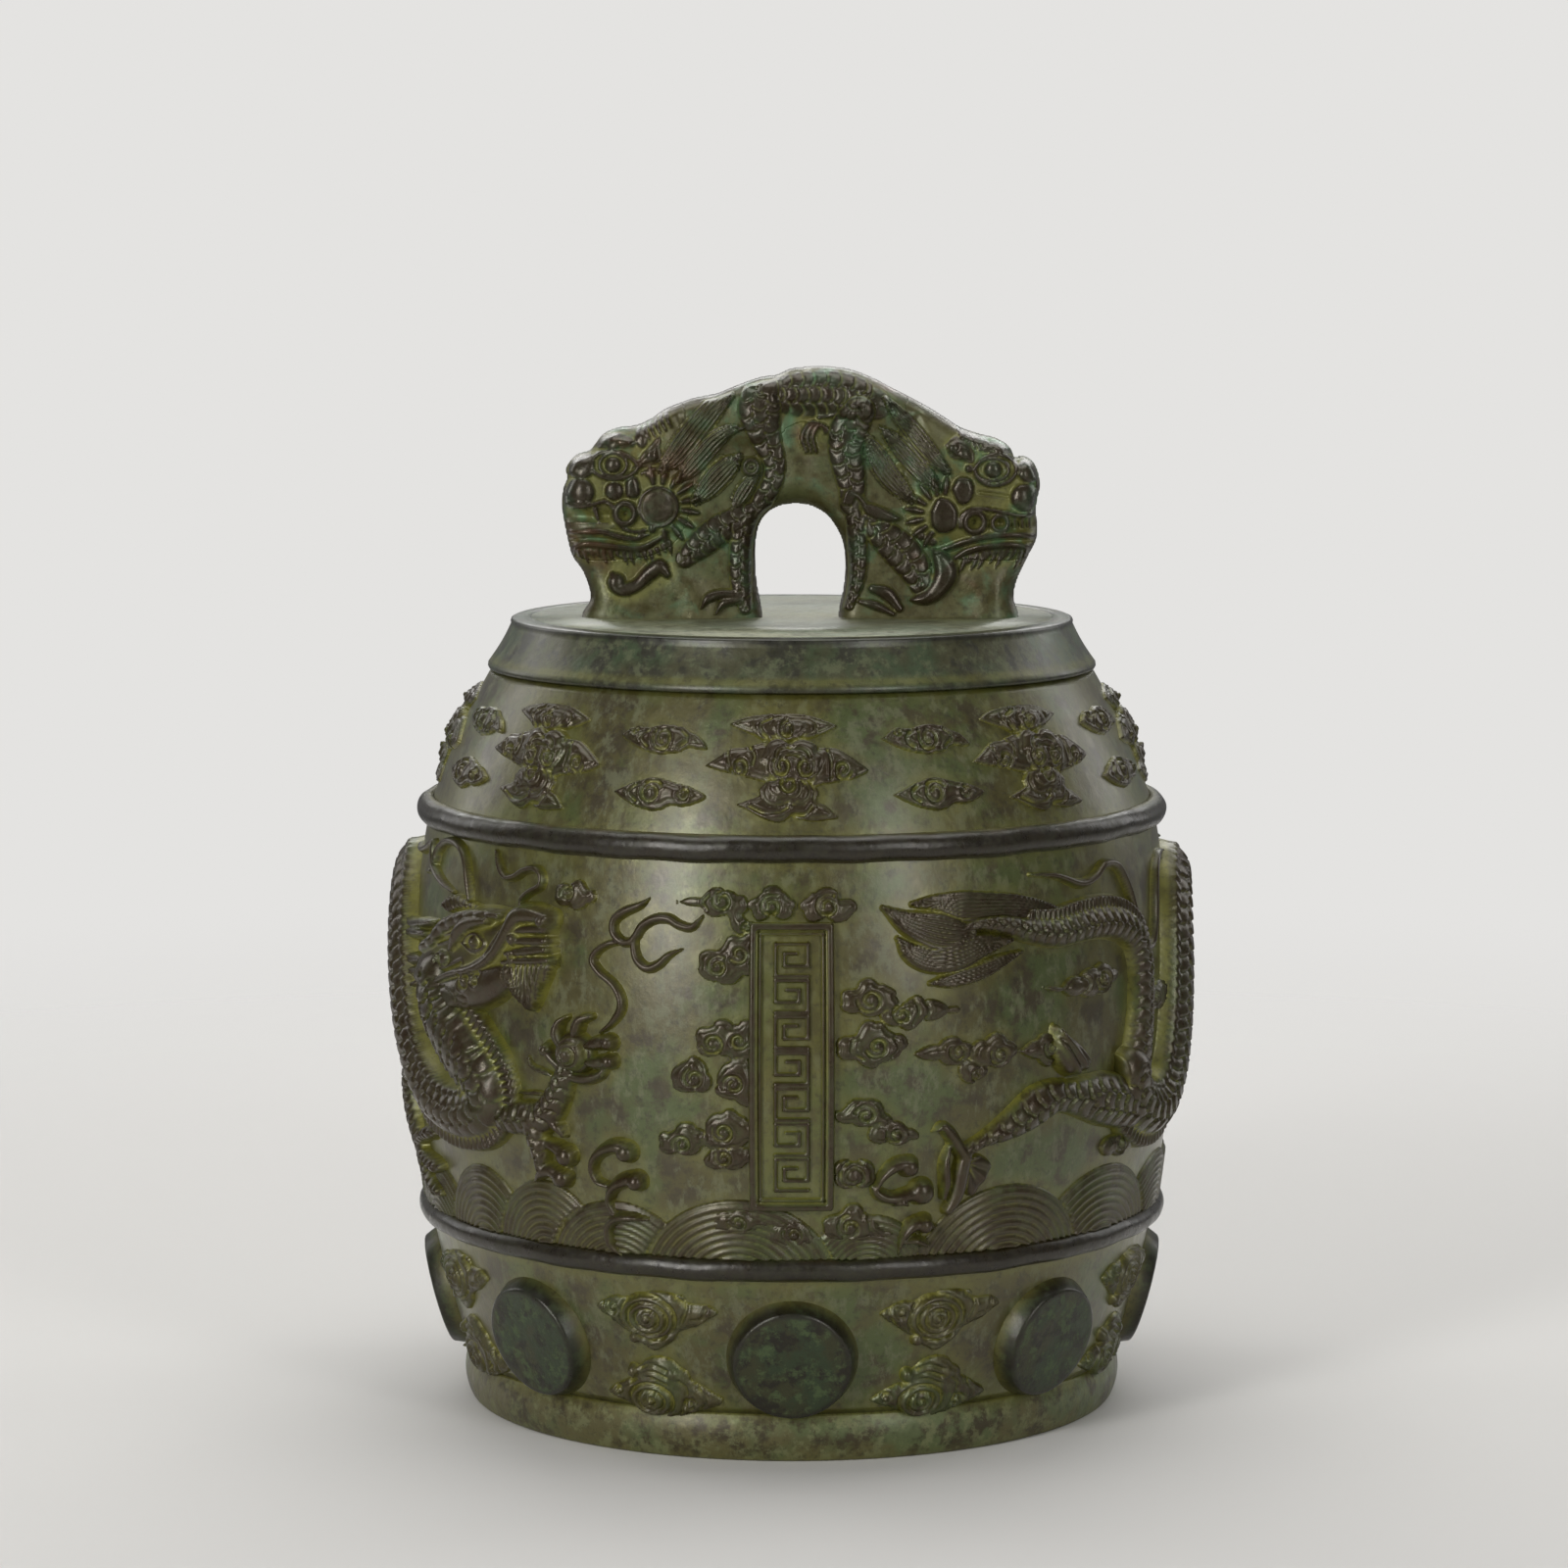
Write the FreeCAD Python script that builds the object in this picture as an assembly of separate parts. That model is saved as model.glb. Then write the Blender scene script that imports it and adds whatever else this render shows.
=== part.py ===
"""Bronze court bell with a two-headed dragon loop, standing on its mouth.

The bell is a barrel of revolution about +Z. Its origin is the centre of the mouth, on the ground, and
-Y is its front. A place on its wall is an angle in degrees, counted to the right from the front, and a
share of a zone's height. Every relief piece is seated on the wall's own surface.
"""
import FreeCAD
import Part
import math
import os

Vector = FreeCAD.Vector

# Driving sizes, in millimetres
bell_height = 235.0            # mouth to the top of the crown
crown_radius = 84.0
crown_thickness = 9.0
crown_seat_width = 6.0         # the collar's ring round the crown plate
collar_height = 15.0
collar_low_radius = 91.0
collar_overhang = 1.2          # the collar stands this far proud of the wall's top
wall_thickness = 9.0
upper_moulding_height = 178.0
upper_wall_radius = 108.6
upper_moulding_radius = 4.0
lower_moulding_height = 58.4
lower_wall_radius = 109.2
lower_moulding_radius = 3.6
belly_radius = 114.7
shoulder_bulge = 1.4           # how far the shoulder's arc stands out from its chord
base_bulge = 1.0
rim_height = 14.0
rim_wall_radius = 97.7
rim_bulge = 1.8
rim_foot_inset = 0.7
rim_inner_radius = 86.0

boss_radius = 18.0
boss_rise = 4.2
boss_edge_round = 1.0
boss_height = 31.0             # the bosses' centres above the mouth
boss_count = 8

cloud_relief = 2.6
cloud_tier = 1.2               # the second step on a cloud
small_cloud_width = 28.0
shoulder_cloud_width = 46.0
base_cloud_width = 35.0
zone_cloud_width = 16.0

frame_half_angle = 5.4         # the cartouche's half width round the bell, in degrees
frame_foot_share = 0.16
frame_head_share = 0.825
frame_bar = 2.2
frame_relief = 2.6
field_relief = 0.9
meander_side = 12.0
meander_bar = 1.3
meander_count = 6

wave_relief = 1.6
wave_step = 0.35
wave_half_width = 19.0
wave_rise = 20.5

dragon_girth = 8.6             # half width of the body at its thickest
dragon_relief = 8.0
limb_girth = 4.2
limb_relief = 4.6
flame_girth = 1.15
flame_relief = 2.0
spray_girth = 3.0
spray_relief = 2.4
fin_half_width = 5.2
fin_relief = 2.6
pearl_radius = 3.9

loop_half_length = 70.0
loop_height = 74.5
loop_offset = 3.0              # the loop is cast a little right of the bell's axis
plinth_half_depth = 10.0
back_half_depth = 12.0
head_half_depth = 13.2
head_edge_inset = 2.6          # the step round a head's edge
head_edge_count = 60           # points round the stepped-in outline
head_edge_depth = 3.0
boss_stand = 1.4               # eyes and cheeks stand this far off a head's face
mane_stand = 1.2
limb_stand = 3.2
loop_foot_flare = 2.4
eye_width = 25.0
eye_height = 33.5
loop_limb_girth = 4.4
mane_girth = 3.4

overrun = 2.0                  # how far cutting tools run past what they cut

# Sizes that follow from the driving ones
wall_top = bell_height - collar_height
wall_top_radius = collar_low_radius - collar_overhang
zone_height = upper_moulding_height - lower_moulding_height
shoulder_zone = wall_top - upper_moulding_height
half_turn = 180.0
full_turn = 360.0
octant = full_turn / boss_count


def circle_through(first, middle, last):
    """Centre and radius of the arc through three profile points, each (radius, height)."""
    (ax, ay), (bx, by), (cx, cy) = first, middle, last
    d = 2 * (ax * (by - cy) + bx * (cy - ay) + cx * (ay - by))
    a2, b2, c2 = ax * ax + ay * ay, bx * bx + by * by, cx * cx + cy * cy
    ux = (a2 * (by - cy) + b2 * (cy - ay) + c2 * (ay - by)) / d
    uy = (a2 * (cx - bx) + b2 * (ax - cx) + c2 * (bx - ax)) / d
    return ux, uy, math.hypot(ax - ux, ay - uy)


def bulged_middle(low, high, bulge):
    """The point halfway along a chord, moved outwards by bulge."""
    dr, dz = high[0] - low[0], high[1] - low[1]
    chord = math.hypot(dr, dz)
    return (low[0] + high[0]) / 2 + bulge * dz / chord, (low[1] + high[1]) / 2 - bulge * dr / chord


rim_point = (rim_wall_radius, rim_height)
lower_point = (lower_wall_radius, lower_moulding_height)
upper_point = (upper_wall_radius, upper_moulding_height)
top_point = (wall_top_radius, wall_top)
belly_point = (belly_radius, (upper_moulding_height + lower_moulding_height) / 2)
wall_spans = [
    (rim_point, bulged_middle(rim_point, lower_point, base_bulge), lower_point),
    (lower_point, belly_point, upper_point),
    (upper_point, bulged_middle(upper_point, top_point, shoulder_bulge), top_point),
]


def wall_span(height):
    """The wall's arc at a height."""
    for span in wall_spans:
        if height <= span[2][1]:
            return span
    return wall_spans[2]


def wall_radius(height):
    cr, cz, radius = circle_through(*wall_span(height))
    return cr + math.sqrt(radius ** 2 - (height - cz) ** 2)


def wall_normal(angle, height):
    cr, cz, radius = circle_through(*wall_span(height))
    out = (wall_radius(height) - cr) / radius
    turn = math.radians(angle)
    return Vector(out * math.sin(turn), -out * math.cos(turn), (height - cz) / radius)


def wall_point(angle, height, lift=0.0):
    """The point of the wall at an angle and a height, raised by lift along the wall's normal."""
    turn, radius = math.radians(angle), wall_radius(height)
    point = Vector(radius * math.sin(turn), -radius * math.cos(turn), height)
    return point + wall_normal(angle, height) * lift


def zone_at(share):
    return lower_moulding_height + share * zone_height


def turned(shape, angle):
    copy = shape.copy()
    copy.rotate(Vector(0, 0, 0), Vector(0, 0, 1), angle)
    return copy


def solids_of(shapes):
    """One compound of every solid in the shapes."""
    return Part.makeCompound([solid for shape in shapes for solid in shape.Solids])


def profile_point(point):
    return Vector(point[0], 0, point[1])


def profile_arc(span, offset=0.0):
    """A wall arc in the XZ plane, moved outwards by offset."""
    cr, cz, radius = circle_through(*span)
    grown = (radius + offset) / radius
    moved = [Vector(cr + (r - cr) * grown, 0, cz + (z - cz) * grown) for r, z in span]
    return Part.Arc(*moved).toShape()


def line(first, last):
    return Part.LineSegment(first, last).toShape()


def revolve(edges):
    """The solid that a closed profile in the XZ plane sweeps about the bell's axis."""
    face = Part.Face(Part.Wire(Part.__sortEdges__(edges)))
    return face.revolve(Vector(0, 0, 0), Vector(0, 0, 1), full_turn)


def wall_core():
    """Everything inside the wall's outer surface, which seats the relief pieces."""
    arcs = [profile_arc(span) for span in wall_spans]
    foot, head = Vector(0, 0, rim_height), Vector(0, 0, wall_top)
    ends = [line(foot, profile_point(rim_point)), line(profile_point(top_point), head), line(head, foot)]
    return revolve(arcs + ends)


def relief_shell(span, relief):
    """The layer of a zone from the wall's surface out to the relief's height."""
    inner, outer = profile_arc(span), profile_arc(span, relief)
    ends = [line(inner.Vertexes[k].Point, outer.Vertexes[k].Point) for k in (0, 1)]
    return revolve([inner, outer] + ends)


core = wall_core()
shells = {}


def shell_of(zone, relief):
    if (zone, relief) not in shells:
        shells[zone, relief] = relief_shell(wall_spans[zone], relief)
    return shells[zone, relief]


def moved_in(span, inset):
    return [(r - inset, z) for r, z in span]


def bell_wall():
    outer = [profile_arc(span) for span in wall_spans]
    inner = [profile_arc(moved_in(span, wall_thickness)) for span in wall_spans]
    foot = line(outer[0].Vertexes[0].Point, inner[0].Vertexes[0].Point)
    head = line(outer[-1].Vertexes[1].Point, inner[-1].Vertexes[1].Point)
    return revolve(outer + inner + [foot, head])


def polygon_ring(points):
    vectors = [profile_point(p) for p in points]
    return revolve([line(a, b) for a, b in zip(vectors, vectors[1:] + vectors[:1])])


def crown_plate():
    seat = crown_radius - crown_seat_width
    low = bell_height - crown_thickness
    return Part.makeCylinder(seat, crown_thickness, Vector(0, 0, low))


def shoulder_collar():
    seat = crown_radius - crown_seat_width
    return polygon_ring([
        (seat, wall_top),
        (collar_low_radius, wall_top),
        (crown_radius, bell_height),
        (seat, bell_height),
    ])


def moulding(height, radius):
    """A half-round ring on the wall."""
    ring = Part.makeTorus(wall_radius(height), radius, Vector(0, 0, height), Vector(0, 0, 1))
    return ring.cut(core)


def mouth_rim():
    foot = Vector(rim_wall_radius - rim_foot_inset, 0, 0)
    middle = Vector(rim_wall_radius + rim_bulge, 0, rim_height / 2)
    head = profile_point(rim_point)
    inner_foot, inner_head = Vector(rim_inner_radius, 0, 0), Vector(rim_inner_radius, 0, rim_height)
    return revolve([
        Part.Arc(foot, middle, head).toShape(),
        line(head, inner_head),
        line(inner_head, inner_foot),
        line(inner_foot, foot),
    ])


def tangent_frame(angle, height):
    """The placement whose X runs round the bell, Y up the wall and Z out of it."""
    out = wall_normal(angle, height)
    right = Vector(math.cos(math.radians(angle)), math.sin(math.radians(angle)), 0)
    up = out.cross(right)
    at = wall_point(angle, height)
    matrix = FreeCAD.Matrix(
        right.x, up.x, out.x, at.x,
        right.y, up.y, out.y, at.y,
        right.z, up.z, out.z, at.z,
        0, 0, 0, 1,
    )
    return FreeCAD.Placement(matrix)


def strike_boss(angle):
    """A round flat-faced boss, where the bell is struck."""
    sunk = boss_rise + boss_radius
    edge = boss_radius - boss_edge_round
    brow = boss_rise - boss_edge_round
    middle = boss_edge_round * math.sqrt(0.5)
    arc = Part.Arc(
        Vector(boss_radius, 0, brow),
        Vector(edge + middle, 0, brow + middle),
        Vector(edge, 0, boss_rise),
    ).toShape()
    foot = Vector(0, 0, -sunk)
    disc = revolve([
        line(foot, Vector(boss_radius, 0, -sunk)),
        line(Vector(boss_radius, 0, -sunk), Vector(boss_radius, 0, brow)),
        arc,
        line(Vector(edge, 0, boss_rise), Vector(0, 0, boss_rise)),
        line(Vector(0, 0, boss_rise), foot),
    ])
    disc.Placement = tangent_frame(angle, boss_height)
    return disc.cut(core)


def disc_face(x, y, radius):
    edge = Part.makeCircle(radius, Vector(x, y, 0))
    return Part.Face(Part.Wire([edge]))


def tail_face(root_high, tip, root_low):
    """A pointed cloud tail with hollow sides."""
    def side(first, last):
        middle = (first + last) * 0.5
        along = last - first
        return Part.Arc(first, middle + Vector(-along.y, along.x, 0) * tail_hollow_share, last).toShape()
    edges = [side(root_high, tip), side(tip, root_low), line(root_low, root_high)]
    return Part.Face(Part.Wire(edges))


def cloud_face(width, lobe_shares, tail_shares):
    """A cloud's outline: round lobes (x, y, radius) and pointed tails, as shares of its width."""
    faces = [disc_face(x * width, y * width, r * width) for x, y, r in lobe_shares]
    for corners in tail_shares:
        faces.append(tail_face(*[Vector(x * width, y * width, 0) for x, y in corners]))
    return faces[0].multiFuse(faces[1:]).removeSplitter()


def raised(face, angle, height, zone, relief):
    """A plate of a flat outline that follows the wall and stands out by relief."""
    return plate(face, tangent_frame(angle, height), zone, relief)


small_cloud_lobe_shares = [(0.0, 0.0, 0.155), (-0.13, 0.03, 0.10), (0.15, -0.02, 0.11)]
small_cloud_tail_shares = [
    ((-0.12, 0.12), (-0.5, -0.01), (-0.1, -0.12)),
    ((0.14, -0.12), (0.5, -0.04), (0.12, 0.12)),
]
cluster_lobe_shares = [
    (0.0, 0.02, 0.15), (-0.12, 0.03, 0.09), (0.13, 0.03, 0.10), (0.0, 0.24, 0.10), (-0.12, 0.25, 0.07),
    (0.13, 0.24, 0.07), (0.02, -0.18, 0.13), (-0.09, -0.24, 0.08), (0.12, -0.2, 0.07),
]
cluster_tail_shares = [
    ((-0.1, 0.12), (-0.5, 0.0), (-0.1, -0.1)),
    ((0.1, -0.08), (0.5, 0.0), (0.1, 0.13)),
    ((-0.1, 0.32), (-0.38, 0.27), (-0.1, 0.18)),
    ((0.1, 0.18), (0.36, 0.25), (0.1, 0.31)),
    ((-0.05, -0.12), (-0.27, -0.2), (-0.05, -0.32)),
    ((0.08, -0.3), (0.29, -0.27), (0.1, -0.13)),
]
base_lobe_shares = [
    (0.0, 0.03, 0.20), (-0.17, 0.08, 0.13), (0.17, 0.08, 0.13), (-0.07, -0.14, 0.10), (0.07, -0.14, 0.10),
    (-0.3, 0.08, 0.07),
]
base_tail_shares = [
    ((-0.25, 0.15), (-0.52, 0.07), (-0.22, 0.0)),
    ((0.25, 0.02), (0.52, 0.1), (0.22, 0.17)),
    ((-0.1, -0.2), (0.0, -0.27), (0.1, -0.2)),
]
lobed_cloud_shares = [(0.0, 0.0, 0.27), (-0.26, -0.06, 0.2), (0.26, -0.06, 0.2), (0.0, 0.12, 0.2)]


def stepped_cloud(width, lobes, tails, tier_share, angle, height, zone):
    """A cloud plate and, on it, a smaller round step where its scroll is."""
    plate = raised(cloud_face(width, lobes, tails), angle, height, zone, cloud_relief)
    x, y, r = lobes[0]
    step = disc_face(x * width, y * width, r * width * tier_share)
    tall = raised(step, angle, height, zone, cloud_relief + cloud_tier)
    return plate.fuse(tall).removeSplitter()


tier_share = 0.8
tail_hollow_share = 0.04
shoulder_cloud_share = 0.53    # heights within the shoulder zone
small_cloud_shares = (0.71, 0.36)
base_cloud_shares = (0.73, 0.33)


def shoulder_height(share):
    return upper_moulding_height + share * shoulder_zone


def shoulder_cloud(angle):
    height = shoulder_height(shoulder_cloud_share)
    return stepped_cloud(
        shoulder_cloud_width, cluster_lobe_shares, cluster_tail_shares, tier_share, angle, height, 2)


def small_clouds():
    found = []
    for share in small_cloud_shares:
        cloud = stepped_cloud(
            small_cloud_width, small_cloud_lobe_shares, small_cloud_tail_shares, tier_share,
            octant / 2, shoulder_height(share), 2)
        found += [turned(cloud, k * octant) for k in range(boss_count)]
    return solids_of(found)


def mirrored_shares(lobes, tails):
    """The same cloud upside down."""
    flipped = [(x, -y, r) for x, y, r in lobes]
    return flipped, [[(x, -y) for x, y in reversed(corners)] for corners in tails]


def base_clouds():
    found = []
    upright = (base_lobe_shares, base_tail_shares)
    for share, (lobes, tails) in zip(base_cloud_shares, (upright, mirrored_shares(*upright))):
        height = share * lower_moulding_height
        cloud = stepped_cloud(base_cloud_width, lobes, tails, tier_share, octant / 2, height, 0)
        found += [turned(cloud, k * octant) for k in range(boss_count)]
    return solids_of(found)


# Clouds of the front half of the main zone: angle, height share, width share and tilt in degrees
zone_cloud_shares = [
    (-10.5, 0.872, 1.0, 0), (-3.0, 0.866, 0.85, 0), (5.2, 0.866, 0.95, 0), (-9.6, 0.74, 1.0, 35),
    (-10.6, 0.555, 0.95, 0), (-14.4, 0.475, 0.75, 0), (-8.6, 0.455, 0.62, 0), (-15.6, 0.315, 0.85, 0),
    (-9.8, 0.342, 0.85, 0), (-9.0, 0.272, 0.68, 0), (10.6, 0.655, 1.0, 0), (16.6, 0.612, 0.8, -12),
    (11.2, 0.54, 1.1, 0), (24.0, 0.52, 0.8, 0), (30.4, 0.505, 0.85, 0), (26.8, 0.462, 0.5, 0),
    (39.0, 0.502, 0.8, 0), (10.0, 0.383, 0.9, -10), (14.6, 0.327, 0.75, -20), (9.0, 0.237, 0.8, 0),
    (51.5, 0.655, 0.9, 0), (68.0, 0.575, 1.0, 0), (59.5, 0.225, 1.0, 0), (-34.4, 0.875, 0.9, -8),
    (-18.5, 0.405, 0.5, 0), (84.0, 0.12, 0.8, 0),
]
zone_cloud_tail_shares = [((-0.3, 0.1), (-0.75, -0.02), (-0.25, -0.2))]


def zone_clouds():
    found = []
    for angle, share, size, tilt in zone_cloud_shares:
        face = cloud_face(zone_cloud_width * size, lobed_cloud_shares, zone_cloud_tail_shares)
        face.rotate(Vector(0, 0, 0), Vector(0, 0, 1), tilt)
        found.append(raised(face, angle, zone_at(share), 1, cloud_relief))
    return solids_of(found)


def cartouche_frame():
    """The upright frame on the front, a bar all round."""
    low, high = zone_at(frame_foot_share), zone_at(frame_head_share)
    half = belly_radius * math.sin(math.radians(frame_half_angle))
    deep = belly_radius + frame_relief
    outer = Part.makeBox(2 * half, deep, high - low, Vector(-half, -deep, low))
    inner = Part.makeBox(
        2 * (half - frame_bar), deep, high - low - 2 * frame_bar,
        Vector(frame_bar - half, -deep, low + frame_bar))
    return outer.cut(inner).common(shell_of(1, frame_relief))


meander_turn_shares = [1.0, 1.0, 1.0, 0.66, 0.66, 0.33]


def meander_face(side, bar):
    """A square scroll drawn with a bar, centred on the origin."""
    x, y = -side / 2 + bar / 2, side / 2 - bar / 2
    headings = [(1, 0), (0, -1), (-1, 0), (0, 1)]
    bars = []
    for turn, share in enumerate(meander_turn_shares):
        dx, dy = headings[turn % 4]
        run = (side - bar) * share
        nx, ny = x + dx * run, y + dy * run
        low = Vector(min(x, nx) - bar / 2, min(y, ny) - bar / 2, 0)
        width, height = abs(nx - x) + bar, abs(ny - y) + bar
        bars.append(Part.makePlane(width, height, low))
        x, y = nx, ny
    return bars[0].multiFuse(bars[1:]).removeSplitter()


def cartouche_field():
    """A column of square scrolls inside the frame."""
    low = zone_at(frame_foot_share) + frame_bar
    pitch = (zone_at(frame_head_share) - frame_bar - low) / meander_count
    found = []
    for k in range(meander_count):
        face = meander_face(meander_side, meander_bar)
        found.append(raised(face, 0.0, low + (k + 0.5) * pitch, 1, field_relief))
    return solids_of(found)


# Wave mounds of the front half: angle of the centre, rise and half width as shares
wave_shares = [
    (-87, 0.9, 1.0), (-70, 1.0, 1.0), (-52, 1.0, 1.05), (-37, 0.92, 1.0), (-21, 0.72, 1.0),
    (-2, 0.98, 1.0), (16, 0.8, 1.0), (35, 1.0, 1.0), (55, 0.98, 1.05), (72.5, 0.9, 1.0),
]


def wave_mounds():
    """Overlapping mounds along the lower moulding, each cut back by those in front of it."""
    foot = lower_moulding_height
    found = []
    for place, (angle, rise_share, width_share) in enumerate(wave_shares):
        half, rise = wave_half_width * width_share, wave_rise * rise_share
        arc = Part.Arc(Vector(-half, 0, 0), Vector(0, rise, 0), Vector(half, 0, 0)).toShape()
        face = Part.Face(Part.Wire([arc, line(Vector(half, 0, 0), Vector(-half, 0, 0))]))
        relief = wave_relief + wave_step * (place % 2)
        mound = raised(face, angle, foot, 1, relief)
        found.append(trimmed(mound, found))
    return found


def spline(points):
    curve = Part.BSplineCurve()
    curve.interpolate(Points=points)
    return curve.toShape()


def ribbon_face(left, right):
    """A flat face between two smooth sides that run the same way."""
    ends = [line(left[-1], right[-1]), line(right[0], left[0])]
    return Part.Face(Part.Wire(Part.__sortEdges__([spline(left), ends[0], spline(right), ends[1]])))


def strand_face(places, girth, frame):
    """A strand's outline, seen square to the wall at the strand's middle."""
    into = frame.inverse()
    centres = [wall_point(angle, zone_at(share)) for angle, share, _ in places]
    left, right = [], []
    for k, (angle, share, size) in enumerate(places):
        ahead = (centres[min(k + 1, len(places) - 1)] - centres[max(k - 1, 0)]).normalize()
        side = wall_normal(angle, zone_at(share)).cross(ahead).normalize() * (girth * size)
        for way, points in ((side, left), (-side, right)):
            point = into.multVec(centres[k] + way)
            points.append(Vector(point.x, point.y, 0))
    return ribbon_face(left, right)


def middle_of(places, column):
    values = [place[column] for place in places]
    return (min(values) + max(values)) / 2


def plate(face, frame, zone, relief):
    """A plate that stands out by relief, under a flat outline held in frame."""
    reach = frame.Base.Length
    prism = face.extrude(Vector(0, 0, reach))
    prism.translate(Vector(0, 0, -reach / 2))
    prism.Placement = frame.multiply(prism.Placement)
    return prism.common(shell_of(zone, relief))


def thin_strand(places, girth, relief):
    """A tapering strand on the wall, of one height."""
    frame = tangent_frame(middle_of(places, 0), zone_at(middle_of(places, 1)))
    return plate(strand_face(places, girth, frame), frame, 1, relief)


def strand(places, girth, relief):
    """A tapering strand on the wall, low at its sides and full height along its crest."""
    side = thin_strand(places, girth, relief * side_relief_share)
    return side.fuse(thin_strand(places, girth * crest_width_share, relief))


# The left dragon, from its nape round the bell to its tail: angle, height share, girth share
fore_body_shares = [
    (-62.6, 0.605, 1.1), (-61.8, 0.545, 1.14), (-59.2, 0.5, 1.08), (-55.2, 0.468, 1.0),
    (-50.5, 0.44, 0.9), (-47.6, 0.385, 0.78), (-49.5, 0.322, 0.72), (-54.5, 0.287, 0.74),
    (-61.0, 0.28, 0.78), (-67.5, 0.31, 0.84), (-73.0, 0.375, 0.92), (-77.5, 0.47, 0.98),
    (-81.0, 0.58, 1.0), (-84.5, 0.70, 1.02), (-88.0, 0.78, 1.0),
]
rear_body_shares = [
    (-86.4, 0.75, 1.0), (-89.5, 0.805, 1.0), (-94.5, 0.835, 1.0), (-99.5, 0.78, 1.0), (-102.5, 0.67, 1.0),
    (-104.0, 0.54, 1.0), (-106.0, 0.41, 1.0), (-110.0, 0.31, 0.94), (-116.0, 0.285, 0.88),
    (-121.5, 0.33, 0.84), (-123.0, 0.41, 0.8),
]
tail_shares = [
    (-121.8, 0.445, 0.72), (-120.3, 0.52, 0.64), (-119.6, 0.60, 0.6), (-119.8, 0.68, 0.58),
    (-121.8, 0.745, 0.56), (-126.5, 0.77, 0.52), (-132.0, 0.772, 0.47), (-138.0, 0.762, 0.41),
    (-144.0, 0.768, 0.35), (-149.5, 0.795, 0.29), (-154.5, 0.803, 0.2),
]
head_lump_shares = [
    [(-72.0, 0.665, 0.25), (-67.0, 0.69, 0.8), (-60.0, 0.71, 1.1), (-53.0, 0.715, 1.05),
     (-47.0, 0.735, 0.85), (-42.0, 0.765, 0.75), (-38.5, 0.78, 0.4)],
    [(-64.0, 0.655, 0.3), (-56.0, 0.645, 0.6), (-49.5, 0.665, 0.5), (-44.0, 0.69, 0.55),
     (-39.0, 0.70, 0.45)],
    [(-42.5, 0.695, 0.5), (-41.0, 0.655, 0.55), (-40.4, 0.62, 0.3), (-40.0, 0.598, 0.06)],
    [(-59.5, 0.765, 0.2), (-63.5, 0.79, 0.35), (-60.0, 0.815, 0.3), (-54.0, 0.818, 0.12)],
    [(-47.0, 0.795, 0.2), (-44.0, 0.815, 0.34), (-40.5, 0.818, 0.3), (-38.4, 0.807, 0.12)],
    [(-62.0, 0.74, 0.3), (-68.0, 0.725, 0.34), (-74.0, 0.70, 0.28), (-80.0, 0.675, 0.1)],
    [(-66.0, 0.665, 0.3), (-72.0, 0.645, 0.3), (-78.0, 0.615, 0.1)],
]
foreleg_shares = [
    [(-46.5, 0.345, 1.0), (-42.0, 0.335, 1.15), (-38.3, 0.33, 1.1), (-36.0, 0.365, 0.95),
     (-34.3, 0.41, 0.85), (-33.2, 0.45, 0.8), (-32.6, 0.475, 0.7)],
    [(-39.0, 0.325, 1.0), (-38.4, 0.28, 0.9), (-38.4, 0.235, 0.7), (-38.2, 0.205, 0.6)],
    [(-37.8, 0.275, 0.5), (-35.6, 0.27, 0.5), (-34.0, 0.25, 0.62), (-33.4, 0.225, 0.3)],
    [(-39.5, 0.205, 0.3), (-37.4, 0.212, 0.5), (-35.4, 0.2, 0.66), (-34.6, 0.187, 0.3)],
]
raised_claw_shares = [
    [(-34.6, 0.47, 0.5), (-36.0, 0.49, 0.45), (-36.9, 0.505, 0.3)],
    [(-34.4, 0.515, 0.4), (-35.0, 0.54, 0.42), (-34.2, 0.57, 0.25)],
    [(-31.6, 0.54, 0.4), (-31.4, 0.565, 0.42), (-29.8, 0.588, 0.25)],
    [(-30.2, 0.515, 0.4), (-28.0, 0.532, 0.5), (-26.0, 0.53, 0.28)],
    [(-30.4, 0.478, 0.4), (-28.2, 0.478, 0.55), (-26.0, 0.487, 0.28)],
]
hindleg_shares = [
    [(-120.0, 0.385, 1.5), (-127.0, 0.385, 1.6), (-134.0, 0.372, 1.4), (-140.0, 0.35, 1.1),
     (-145.5, 0.32, 0.85), (-150.5, 0.288, 0.62), (-153.2, 0.262, 0.62)],
    [(-152.8, 0.262, 0.6), (-154.6, 0.305, 0.55), (-156.4, 0.332, 0.45), (-158.4, 0.318, 0.12)],
    [(-152.8, 0.262, 0.6), (-153.6, 0.21, 0.72), (-155.2, 0.16, 0.6), (-156.4, 0.13, 0.25)],
    [(-152.5, 0.25, 0.5), (-150.0, 0.232, 0.62), (-148.8, 0.195, 0.3)],
]
far_leg_shares = [
    [(-78.5, 0.40, 1.3), (-80.0, 0.32, 1.3), (-79.0, 0.25, 1.1), (-76.5, 0.2, 0.9), (-73.5, 0.165, 0.8)],
    [(-74.5, 0.18, 0.6), (-70.5, 0.215, 0.6), (-67.5, 0.232, 0.72), (-65.6, 0.228, 0.3)],
    [(-74.5, 0.165, 0.6), (-70.5, 0.155, 0.6), (-67.0, 0.15, 0.72), (-65.0, 0.152, 0.3)],
    [(-74.5, 0.155, 0.6), (-71.5, 0.115, 0.6), (-68.0, 0.088, 0.72), (-66.0, 0.083, 0.3)],
]
forelimb_shares = foreleg_shares + far_leg_shares + raised_claw_shares
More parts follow.
